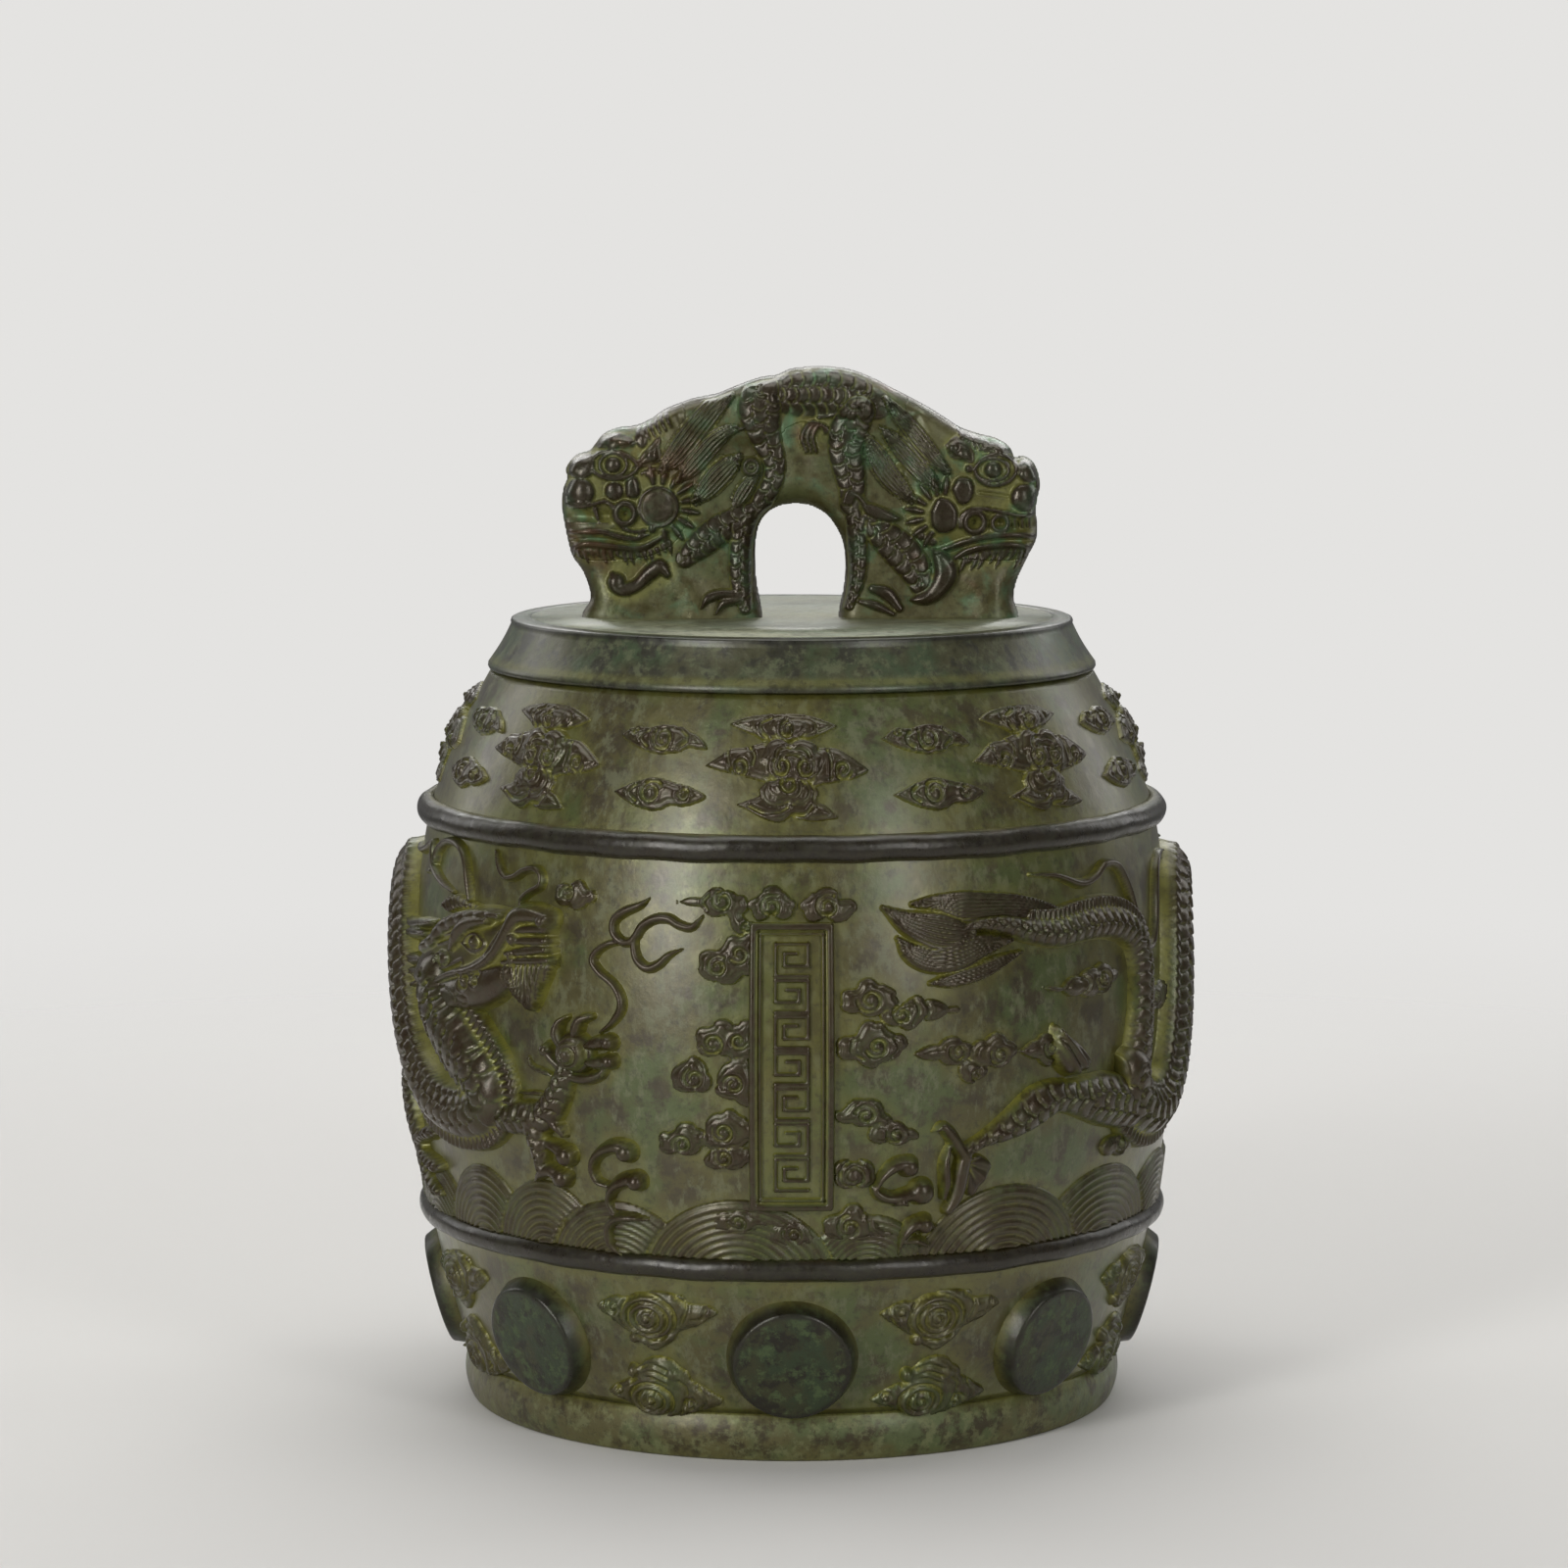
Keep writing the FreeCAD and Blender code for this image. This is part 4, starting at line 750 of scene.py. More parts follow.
def makeBosses():
    r = boss["radius"]
    flat, draft = boss["rise"], boss["draft"]
    profile = [(0.0, flat + 0.25), (r * 0.5, flat + 0.2), (r - 3.0, flat + 0.05)]
    profile += arcRow(r - draft - boss["edge"], flat - boss["edge"], boss["edge"], 82, 12, 6)
    profile += [(r + draft, -1.2), (r + draft, -boss["sink"]), (0.0, -boss["sink"])]
    radius, _, up = (float(v) for v in wallProfile(boss["height"]))
    lean = Matrix.Rotation(math.acos(up), 4, "X")
    for k in range(len(octants)):
        bm = spun(profile, boss["steps"], closed=False)
        bmesh.ops.holes_fill(bm, edges=[e for e in bm.edges if e.is_boundary])
        bmesh.ops.recalc_face_normals(bm, faces=bm.faces[:])
        marks = [v.co.copy() / mm for v in bm.verts]
        place = Matrix.Translation((0, -radius * mm, boss["height"] * mm)) @ lean
        bmesh.ops.transform(bm, matrix=Matrix.Rotation(k * math.tau / 8, 4, "Z") @ place, verts=bm.verts[:])
        mesh = meshOf(bm, f"strikeBoss{k + 1}")
        dress(mesh, mesh.name, "boss", f"strike_boss_{k + 1}")
        across = np.array([m.to_2d().length for m in marks])
        tall = np.array([m.z for m in marks])
        edge = np.exp(-((across - r + draft + 0.6) / 1.2) ** 2) * (tall > flat - 1.8)
        setFloat(mesh, "worn", np.clip(edge, 0, 1))
        setFloat(mesh, "dust", np.clip(1 - (tall + 0.6) / 2.2, 0, 1) * (across > r - 1))
    stamp = newCanvas(-r - 1, r + 1, boss["height"] - r, boss["height"] + r, 0.8)
    disc(stamp, 0, boss["height"], r - 0.4, 2.0)
    stampNear(stamp, octants)


# Clouds. Outlines and marks are in degrees round the wall and shares of their zone's height.

def inZone(rows, low, high):
    return [(row[0] * degree, low + row[1] * (high - low), *row[2:]) for row in rows]


def drawCloud(canvas, low, high, outline, marks, base=0.0, rise=2.0, groove=1.3, lobe=0.0):
    pillow(canvas, inZone(outline, low, high), rise, 1.5, base, rim=groove, lobe=lobe)
    for mark in marks:
        if isinstance(mark, tuple):  # a spiral: place, radius, and its start and turns where they differ
            (x, z), = inZone([mark[:2]], low, high)
            carveSpiral(canvas, x, z, *mark[2:])
        else:
            engrave(canvas, inZone(mark, low, high), 0.8, 0.6)


def carveSpiral(canvas, x, z, radius, start=160, turns=1.6):
    disc(canvas, x, z, radius * 0.4, 0.9, float(heightAt(canvas, x, z)) - 0.2)
    rows = spiral(x, z, radius * 1.2, radius * 0.46, turns * 0.8, start, 0.66)
    stroke(canvas, rows, 1.1, carve=True)


def heightAt(canvas, x, z):
    i = int(round((x - canvas["x"]) / canvas["step"]))
    j = int(round((z - canvas["z"]) / canvas["step"]))
    nz, nx = canvas["lift"].shape
    return max(0.0, canvas["lift"][min(max(j, 0), nz - 1), min(max(i, 0), nx - 1)])


shoulderCluster = [  # outline, base and rise in mm, marks
    ([(-10.9, .8), (-9, .835), (-7, .855), (-4, .868), (-1, .873), (2, .866), (4, .848), (6, .82), (7.7, .79),
      (6.6, .765), (5, .737), (3.2, .72), (0, .7), (-4, .69), (-5.5, .715), (-7, .74), (-8.2, .757),
      (-10, .783)], 0, 1.6, []),
    ([(-7.1, .8), (-6.4, .825), (-5, .835), (-3.6, .852), (-2, .86), (0, .848), (1.2, .845), (2.6, .842),
      (3.8, .82), (4.3, .78), (4, .735), (3.3, .715), (0, .7), (-4, .695), (-5.6, .715), (-6.7, .75)],
     0.4, 1.6, [[(-3.6, .835), (-5.2, .8), (-5.2, .755), (-4.1, .7)]]),
    ([(-3.8, .78), (-3.1, .81), (-2, .824), (-.9, .81), (.2, .82), (1.4, .817), (2.3, .79), (2.2, .745),
      (1.2, .705), (-1, .692), (-2.8, .73)], 1, 1.8, [(-.8, .757, 2, 100, 1.5)]),
    # the foot, one layer on another
    ([(-8.9, .285), (-7, .315), (-5.2, .345), (-4.6, .4), (-3, .44), (-1, .465), (1, .455), (3, .425),
      (4.1, .37), (3.8, .31), (5, .285), (6.2, .24), (7, .2), (5, .185), (3, .178), (1.4, .19), (-.4, .205),
      (-1.4, .178), (-2.8, .175), (-4.6, .2), (-6.2, .237), (-7.6, .263)], 0, 1.6,
     [[(-6.6, .275), (-4.4, .235), (-2.2, .232), (-.8, .26)], [(-.2, .21), (2, .225), (3, .27)]]),
    ([(-5.2, .38), (-4, .435), (-2, .46), (1, .46), (2.6, .42), (3.2, .36), (2.6, .3), (1.4, .272),
      (-.2, .28),
      (-1.4, .262), (-3.2, .262), (-4.6, .3)], 0.6, 1.5, []),
    ([(-4, .41), (-3.5, .43), (-2.2, .438), (-.8, .46), (.6, .452), (1.6, .42), (1.8, .37), (1.3, .32),
      (.2, .295), (-.9, .305), (-2.2, .298), (-3.5, .33), (-4.1, .37)], 1.3, 1.6,
     [(-.5, .405, 2.4, 60, 1.5)]),
    # the arms
    ([(-14.2, .53), (-12, .59), (-10, .642), (-7.8, .652), (-6, .672), (-4.8, .682), (-3, .66), (-3, .44),
      (-4.4, .433), (-6, .448), (-8, .468), (-10, .486), (-12, .502)], 0, 2.1,
     [(-8.4, .52, 2.3, 200, 1.5), [(-6.9, .65), (-6.1, .59), (-6.3, .535)],
      [(-10.6, .625), (-10.2, .55), (-9.6, .5)]]),
    ([(3, .655), (5.4, .652), (7.4, .643), (9.6, .592), (11, .55), (12.3, .5), (11, .468), (9.6, .447),
      (7, .43), (5, .418), (3, .42)], 0, 2.1,
     [(8, .5, 2.2, -20, -1.5), [(5.7, .63), (6.2, .55), (6.1, .45)]]),
    # the flower
    ([(-5, .58), (-4.4, .62), (-4.2, .655), (-3.6, .682), (-2.6, .697), (-1.6, .692), (-.6, .668),
      (-.2, .663),
      (.6, .685), (1.8, .692), (3, .68), (4, .655), (4.1, .62), (4.9, .6), (5.2, .56), (4.7, .52),
      (4.3, .485),
      (3.4, .45), (1.6, .438), (.2, .44), (-1.6, .443), (-2.8, .45), (-3.9, .485), (-4, .525), (-4.9, .545)],
     1.5, 1.8, [(-1.6, .52, 2.3, 160, 1.5), (2, .513, 2.3, 20, -1.5),
                [(-2.6, .56), (-2.3, .615), (-1, .637), (.1, .622), (1.4, .63), (2.5, .6), (2.9, .55)],
                [(-1.7, .575), (-.1, .59), (1.6, .568)]]),
]


def drawCluster():
    canvas = newCanvas(-29, 26, highBead + 3, wallTop - 2, 0.4)
    for outline, base, rise, marks in shoulderCluster:
        drawCloud(canvas, highBead, wallTop, outline, marks, base, rise, 1)
    return canvas


smallClouds = [  # outline, marks, in the shoulder's zone
    ([(-30, .7), (-27.5, .765), (-24.8, .762), (-22, .787), (-19, .772), (-17.4, .742), (-15.6, .712),
      (-14.2, .635), (-17.4, .64), (-19, .61), (-22, .595), (-24.5, .608), (-26.4, .63), (-28.4, .665)],
     [(-21.9, .69, 2.9, 150, 1.7), (-27.1, .732, .95, 150, 1),
      [(-24.6, .745), (-25.9, .69), (-24.6, .63)], [(-18.8, .75), (-17.6, .69), (-19, .63)]]),
    ([(-29.2, .34), (-26.6, .388), (-25.3, .412), (-22.5, .442), (-20, .428), (-18.4, .41), (-16, .388),
      (-13.5, .33), (-15.5, .278), (-17.2, .262), (-19.3, .265), (-20.5, .236), (-22.6, .23), (-25, .253),
      (-27, .288)],
     [(-22.4, .34, 3, 30, 1.7), (-17, .345, 1.5, 200, 1.2), [(-25.2, .39), (-26.2, .335), (-25, .285)]]),
]


def drawSmallClouds():
    canvas = newCanvas(-31 * degree, -13 * degree, highBead + 7, highBead + 36, 0.45)
    for outline, marks in smallClouds:
        drawCloud(canvas, highBead, wallTop, outline, marks, 0, 1.9)
    return canvas


baseClouds = [  # outline, in shares of the height below the lower ring; centre; ring reaches in mm
    ([(-31.7, .765), (-30, .8), (-28, .825), (-26.2, .822), (-24.5, .85), (-21, .865), (-18.5, .86),
      (-16.9, .85), (-15.9, .815), (-13, .81), (-11.4, .77), (-13, .735), (-14.6, .7), (-16.5, .68),
      (-18, .655), (-18.6, .62), (-20.3, .58), (-22, .555), (-23.6, .58), (-25.2, .602), (-25.4, .635),
      (-27.2, .66), (-29, .7), (-30.6, .735)], (-22.5, .735), ((3.6, 3), (6.3, 4.8), (8.8, 6.6))),
    ([(-32.3, .31), (-30, .355), (-28, .385), (-26.6, .4), (-26.2, .44), (-25, .475), (-23.5, .51),
      (-21.5, .525), (-19.5, .51), (-18.3, .475), (-17, .45), (-16.5, .41), (-15, .385), (-13.4, .355),
      (-11.3, .31), (-13, .272), (-15, .255), (-17, .235), (-19, .215), (-21.5, .205), (-24, .212),
      (-26, .235), (-28.5, .265), (-30.5, .285)], (-23.6, .3), ((4.4, 3.2), (7.4, 5))),
]
baseArcs = (  # left end, right end, height of the ends and of the middle
    ((-24.4, -20, .645, .618), (-24, -20.4, .62, .59)),
    ((-27, -20.6, .385, .42), (-25.6, -20.4, .425, .452), (-24.8, -20.4, .462, .486)),
)


def drawBaseClouds():
    canvas = newCanvas(-33 * degree, -10.5 * degree, rimTop - 3, lowBead - 5, 0.53)
    for k, (outline, centre, rings) in enumerate(baseClouds):
        drawCloud(canvas, 0, lowBead, outline, [], 0, 2, 1)
        (x, z), = inZone([centre], 0, lowBead)
        for a, b in rings[::-1]:
            ring = [(x + a * math.cos(t), z + b * math.sin(t)) for t in np.linspace(0, math.tau, 24, False)]
            pillow(canvas, ring, 0.9, 0.9, max(0.2, heightAt(canvas, x, z) - 0.5))
            engrave(canvas, ring + ring[:1], 1.1, 0.75)
        carveSpiral(canvas, x, z, 2.1, 60, 1.4)
        lines = [[(a, ends), ((a + b) / 2, middle), (b, ends)] for a, b, ends, middle in baseArcs[k]]
        if k == 0:
            carveSpiral(canvas, *inZone([(-28.2, .775)], 0, lowBead)[0], 1.7, 150, 1.4)
            disc(canvas, *inZone([(-25.3, .62)], 0, lowBead)[0], 1.4, 0.9, 1.6)
            lines += [[(-29.9, .8), (-30.2, .765), (-29.2, .715)], [(-17.9, .85), (-16.2, .8), (-17.2, .71)],
                      [(-15.4, .735), (-13.9, .745), (-13.2, .79)]]
        else:
            for angle in (-26.4, -19.4):
                disc(canvas, *inZone([(angle, .44)], 0, lowBead)[0], 1.5, 1, 1.8)
            carveSpiral(canvas, *inZone([(-16.8, .285)], 0, lowBead)[0], 1.7, 30, 1.4)
            carveSpiral(canvas, *inZone([(-29.6, .322)], 0, lowBead)[0], 1.4, 30, 1.2)
            lines += [[(-18.4, .41), (-17.2, .36), (-18.6, .24)],
                      [(-15.2, .375), (-14.2, .31), (-15.2, .265)]]
        for rows in lines:
            engrave(canvas, inZone(rows, 0, lowBead), 0.9, 0.65)
    return canvas


mainClouds = [  # outline, spirals and lines, in degrees and shares of the main zone
    ([(-37.2, .872), (-36.4, .893), (-34.5, .9), (-32.8, .908), (-31.4, .897), (-30.2, .885), (-30, .866),
      (-31.5, .85), (-33.5, .842), (-35.5, .848), (-36.8, .86)], [(-34.3, .877, 2, 200, -1.5)]),
    ([(-17, .873), (-14, .886), (-12.6, .896), (-11.5, .906), (-10, .909), (-8.7, .9), (-8, .89),
      (-6.9, .892),
      (-6.3, .88), (-6.6, .862), (-7.3, .848), (-6.4, .838), (-5.4, .828), (-5.5, .808), (-6.6, .8),
      (-7.8, .805), (-8.6, .825), (-9.3, .842), (-10.8, .845), (-12.2, .85), (-13.7, .864), (-15.2, .871)],
     [(-10, .879, 2.5, 100, 1.6), (-6.4, .816, 1.2, 100, 1.3),
      [(-11.9, .893), (-12.9, .876), (-12.2, .858)]]),
    ([(-13.6, .73), (-13, .755), (-11.5, .766), (-9.9, .775), (-9, .795), (-7.5, .802), (-5.6, .793),
      (-5.5, .755), (-5.6, .715), (-7.3, .7), (-8.5, .69), (-10.5, .687), (-12.2, .7), (-13.3, .715)],
     [(-10.5, .727, 2.5, 60, 1.6), (-7.5, .757, 2.1, 220, 1.4)]),
    ([(-13.7, .545), (-13.3, .575), (-11.9, .585), (-10.8, .6), (-9.2, .6), (-8.2, .592), (-7.4, .602),
      (-5.7, .598), (-5.5, .56), (-5.5, .52), (-6.8, .507), (-8.2, .51), (-8.9, .52), (-10, .517),
      (-12.2, .519), (-13.3, .53)], [(-11.1, .547, 2.7, 200, 1.6), (-7.5, .555, 2, -20, -1.3)]),
    ([(-17.4, .452), (-17, .475), (-15.8, .495), (-14.5, .514), (-13.1, .506), (-12.1, .49), (-11.5, .47),
      (-11.7, .445), (-12.7, .43), (-14.5, .429), (-16.6, .437)], [(-13.7, .464, 2.6, 120, 1.6)]),
    ([(-10.9, .45), (-10.3, .475), (-9.2, .505), (-7.5, .513), (-6, .505), (-5.5, .48), (-5.5, .41),
      (-6.5, .402), (-8, .408), (-9.5, .42), (-10.8, .433)], [(-8.2, .452, 2.4, 200, -1.6)]),
    ([(-19.4, .305), (-18.9, .325), (-17.5, .328), (-16.5, .348), (-14.5, .354), (-12.9, .341), (-12.3, .315),
      (-13, .29), (-15, .279), (-17.5, .279), (-18.9, .288)], [(-15.6, .304, 2.3, 200, -1.5)]),
    ([(-13, .265), (-12, .28), (-10.8, .298), (-9, .303), (-6.5, .303), (-5.6, .285), (-6, .262), (-8, .25),
      (-10, .246), (-12, .254)], [(-9.6, .276, 2, 160, 1.5)]),
    ([(-12.6, .335), (-12, .36), (-10.8, .381), (-9, .391), (-7.5, .377), (-6.2, .371), (-5.5, .35),
      (-5.6, .318), (-7, .305), (-9, .3), (-10.5, .292), (-11.9, .3), (-12.6, .315)],
     [(-9.7, .338, 2.6)]),
    ([(-11.7, .115), (-10.9, .136), (-9, .149), (-7, .149), (-5, .14), (-3.7, .12), (-4.5, .104),
      (-6.5, .094),
      (-9, .092), (-10.9, .099)], [(-7.8, .12, 2.2, 180, 1.5)]),
    ([(-3.7, .085), (-2.9, .105), (-1.6, .118), (0, .126), (1.8, .112), (3.2, .09), (2.4, .072), (0, .064),
      (-2, .068), (-3.2, .074)], [(.1, .092, 2.4, 160, 1.5)]),
    ([(4.2, .105), (4.6, .125), (6.4, .138), (7.4, .155), (9.2, .16), (10.6, .145), (11.6, .122),
      (13.8, .098),
      (14.6, .086), (12.4, .08), (10, .076), (7, .078), (5, .088)],
     [(8.2, .108, 3, 100, 1.6), [(11, .135), (11.2, .105), (12.2, .09)]]),
    # the two trefoils above the frame
    ([(-6.2, .855), (-6.4, .875), (-5.2, .889), (-4.5, .907), (-2.9, .914), (-1.2, .907), (-.6, .888),
      (.4, .875), (.2, .853), (-1.4, .84), (-3, .845), (-4.8, .838)], [(-3, .868, 2.7, 60, 1.7)]),
    ([(1.2, .855), (1, .872), (2.2, .888), (3, .904), (4.8, .91), (6.4, .902), (7, .887), (8.6, .88),
      (9.3, .862), (8.4, .843), (6.2, .834), (4.6, .84), (2.6, .836)], [(5, .868, 2.9, 60, 1.7)]),
    # right of the frame
    ([(6.6, .645), (7.2, .668), (8.6, .675), (9.3, .69), (11, .697), (12.6, .688), (13.6, .675), (14.8, .665),
      (15, .64), (14.2, .622), (12.4, .615), (10.6, .612), (8.4, .62), (7, .63)],
     [(10.9, .648, 3, 180, 1.6)]),
    ([(12, .615), (13.6, .622), (15, .635), (16.6, .645), (18.2, .653), (20.4, .64), (22.6, .628),
      (24.2, .617),
      (22.2, .605), (19.4, .595), (18, .588), (16.4, .577), (14.6, .583), (13, .598)],
     [(15.4, .612, 2.2, 100, 1.5), [(17.2, .65), (17.9, .62), (17, .59)],
      [(18.9, .648), (19.4, .62), (18.8, .594)]]),
    ([(6, .535), (6.6, .556), (8.6, .57), (10.6, .6), (12.4, .597), (13.4, .576), (15.4, .566), (16.2, .54),
      (15.2, .517), (13.4, .505), (11.8, .489), (10, .496), (8.4, .508), (6.8, .515)],
     [(11.8, .54, 2.6, 200, 1.5), [(8.4, .555), (8.2, .53), (9.8, .51)],
      [(14.4, .556), (14.9, .535), (14, .517)]]),
    ([(16.9, .517), (19.2, .53), (21.4, .545), (23.4, .551), (25, .542), (26, .525), (25.4, .5), (24, .487),
      (22, .49), (19.6, .502)], [(23.8, .517, 2.2, 160, 1.5)]),
    ([(23.8, .475), (24.6, .49), (26.2, .496), (27.8, .487), (28.4, .465), (27.4, .447), (26.2, .438),
      (24.8, .45)], [(26.6, .457, 1.4, 60, 1.3)]),
    ([(25.4, .5), (26.6, .53), (28, .543), (30.4, .551), (32.4, .535), (33.4, .51), (32.6, .485),
      (30.6, .473),
      (28.2, .475), (26.4, .485)], [(30.4, .502, 2.5)]),
    ([(33.8, .503), (35.4, .512), (36.6, .525), (38, .536), (39.6, .534), (41.2, .52), (42, .5), (40.8, .48),
      (39.4, .462), (37.6, .472), (35.6, .492)], [(39.6, .503, 2.4, 160, 1.5)]),
    ([(38.4, .65), (41.4, .645), (44.4, .662), (47.4, .672), (50.6, .684), (53.4, .674), (54.6, .652),
      (53, .625), (50, .612), (47.2, .614), (44, .622), (41, .637)],
     [(50.8, .648, 2.9, 180, 1.6), [(46.6, .665), (47.4, .643), (46.4, .622)]]),
    ([(10.2, .42), (12.2, .405), (13.6, .378), (14, .36), (12.8, .343), (10.8, .352), (8.8, .352),
      (6.6, .365),
      (6, .385), (7.4, .398), (8.6, .412)], [(10.2, .378, 2.5, 160, -1.5)]),
    ([(10.4, .33), (11.6, .352), (13.2, .36), (15.4, .353), (17, .34), (18, .32), (16.8, .308), (14.8, .305),
      (12.6, .308), (11, .318)], [(14.6, .327, 2.2, 160, 1.5)]),
    ([(5.8, .235), (6, .255), (7.4, .268), (9.2, .27), (11, .26), (12, .24), (11.6, .216), (10, .203),
      (8, .202), (6.4, .214)], [(8.6, .233, 3.6, 60, 2.1)]),
    ([(60, .57), (63, .578), (65.4, .592), (68.6, .604), (72.4, .6), (75.4, .588), (78.6, .572), (76, .555),
      (72.6, .542), (68.4, .535), (64.4, .545), (62, .558)],
     [(66.4, .568, 2.4, 160, 1.5), (72.4, .57, 2.4, 160, 1.5)]),
    ([(51.5, .235), (53.4, .252), (56, .262), (59.2, .26), (62.4, .242), (60.6, .22), (57.4, .205),
      (54, .21), (52.4, .22)], [(56.6, .234, 2.6)]),
    ([(-102, .62), (-99.6, .643), (-96.4, .655), (-93.6, .648), (-90.2, .63), (-88.4, .61), (-91, .592),
      (-94.6, .58), (-98, .585), (-100.6, .602)], [(-95, .618, 2.7)]),
    ([(-86, .44), (-84, .462), (-81, .472), (-78.2, .462), (-76, .44), (-78, .42), (-81, .412), (-84.2, .42)],
     [(-81, .442, 2.5)]),
]


def drawMainClouds():
    # drawn in strips, so that far-off clouds need no wide canvas
    strips = []
    for low, high in ((-104, -75), (-38, -3.2), (-12.4, 24.6), (16.5, 55), (51, 79.5)):
        strips.append(newCanvas(low * degree, high * degree, lowBead + 4, highBead - 5, 0.48))
    for outline, marks in mainClouds:
        first, last = min(p[0] for p in outline) - 0.3, max(p[0] for p in outline) + 0.3
        for canvas in strips:
            end = canvas["x"] + canvas["lift"].shape[1] * canvas["step"]
            if canvas["x"] <= first * degree and last * degree <= end:
                drawCloud(canvas, lowBead, highBead, outline, marks, 0, 2.2, 1.1, 7.6)
                break
        else:
            say(f"no strip for the cloud at {first:.0f}")
    return strips


# The main zone's frame, scroll column, waves, sprays and dragons. Rows are degrees, share, mm.

def zoneCanvas(left, right, foot, top, step):
    # reach in degrees round the bell and in mm above the lower ring
    return newCanvas(left * degree, right * degree, lowBead + foot, lowBead + top, step)


def onZone(rows):
    return inZone(rows, lowBead, highBead)


def strokeZone(canvas, rows, rise, base=0.0, texture=None, top=roundTop):
    stroke(canvas, onZone(rows), rise, base, texture, top)


def discZone(canvas, x, z, radius, rise, base=0.0):
    (x, z), = onZone([(x, z)])
    disc(canvas, x, z, radius, rise, base)


def pillowZone(canvas, rows, rise, edge, base=0.0, texture=None):
    pillow(canvas, onZone(rows), rise, edge, base, 0, texture)


def spiralZone(canvas, x, z, radius, start, turns):
    (x, z), = onZone([(x, z)])
    carveSpiral(canvas, x, z, radius, start, turns)


def scales(length, width, depth):
    # overlapping rounded scales along a band, each rising towards its free edge
    def lift(along, share, wide):
        columns = np.maximum(2, np.round(2 * wide / width))
        v = (share + 1) / 2 * columns
        u = along / length + 0.5 * (np.floor(v) % 2)
        dv = v - np.floor(v) - 0.5
        step = (u + 1.3 * dv * dv) % 1.0
        crease = np.exp(-((0.5 - np.abs(dv)) / 0.1) ** 2) * (step < 0.75)
        plate = 1 - np.exp(-(step / 0.24) ** 2) + 0.25 * step
        return depth * (plate - 0.8 - 0.45 * crease) * np.clip(1.3 - share * share, 0, 1)
    return lift


def bellyPlates(length, depth):
    def lift(along, share, wide):
        step = (along / length + 0.35 * share * share) % 1.0
        return depth * (step ** 0.8 - 0.5)
    return lift


def ribsAlong(count, depth):
    # fine lines that run with a band and close up where it narrows
    def lift(along, share, wide):
        return depth * (np.abs(np.sin(share * math.pi * count / 2)) - 0.6)
    return lift


def ribsAcross(spacing, depth):
    def lift(along, share, wide):
        comb = np.where(np.abs(share) < 0.72, np.abs(np.sin(along * math.pi / spacing)) - 0.9, 0)
        return depth * comb
    return lift


cartouche = {"left": -5.55, "right": 5.35, "foot": 0.158, "head": 0.822, "bar": 1.15, "rise": 2.4,
             "line": 2, "fretRise": 1.15, "fretLine": 0.62, "frets": 7}


def drawFrame():
    c = cartouche
    canvas = newCanvas(c["left"] * degree - 3, c["right"] * degree + 3, lowBead + 16, highBead - 18, 0.42)
    corners = [(c["left"], c["foot"]), (c["right"], c["foot"]), (c["right"], c["head"]),
               (c["left"], c["head"])]
    (x0, z0), (x1, _), (_, z1), _ = onZone(corners)
    for inset, half, rise in ((0, c["bar"], c["rise"]), (c["line"], 0.45, c["rise"] * 0.62)):
        a0, a1, b0, b1 = x0 + inset, x1 - inset, z0 + inset, z1 - inset
        for ends in ([(a0, b0), (a1, b0)], [(a1, b0), (a1, b1)], [(a1, b1), (a0, b1)], [(a0, b1), (a0, b0)]):
            stroke(canvas, [(*ends[0], half), (*ends[1], half)], rise, 0, top=plateTop)
    return canvas


def drawFrets():
    # a column of square scrolls, alternately turned
    c = cartouche
    canvas = newCanvas(c["left"] * degree + 2.6, c["right"] * degree - 2.6, lowBead + 19, highBead - 21, 0.42)
    (x0, z0), (x1, z1) = onZone([(c["left"], c["foot"]), (c["right"], c["head"])])
    margin = 4.2
    tall = (z1 - z0 - 2 * margin) / c["frets"]
    half = min((x1 - x0) / 2 - margin, tall * 0.44)
    middle = (x0 + x1) / 2
    for k in range(c["frets"]):
        turn = 1 if k % 2 else -1
        z = z0 + margin + tall * (k + 0.5)
        path = [(-1, -1), (1, -1), (1, 1), (-1, 1), (-1, -0.38), (0.45, -0.38), (0.45, 0.42), (-0.3, 0.42)]
        rows = [(middle + turn * px * half, z + pz * half, c["fretLine"]) for px, pz in path]
        for a, b in zip(rows, rows[1:]):
            stroke(canvas, [a, b], c["fretRise"], 0, top=plateTop)
    return canvas


waves = [  # middle in degrees, reach each way, peak share; later ones lie in front
    (-86, 11, .15), (88, 12, .15), (-70.5, 12, .165), (75, 14, .165), (54, 15, .185), (-53, 10.5, .188),
    (11, 9, .135), (-39, 10.5, .182), (33, 14.5, .182), (-26.5, 11.5, .152), (-8, 14, .172),
]


sea = {"foot": 3.2, "widen": 1.06, "heighten": 1.5, "lines": 12.5, "lineRise": 0.75, "crown": 0.9, "low": 0.5,
       "overlap": 0.4}


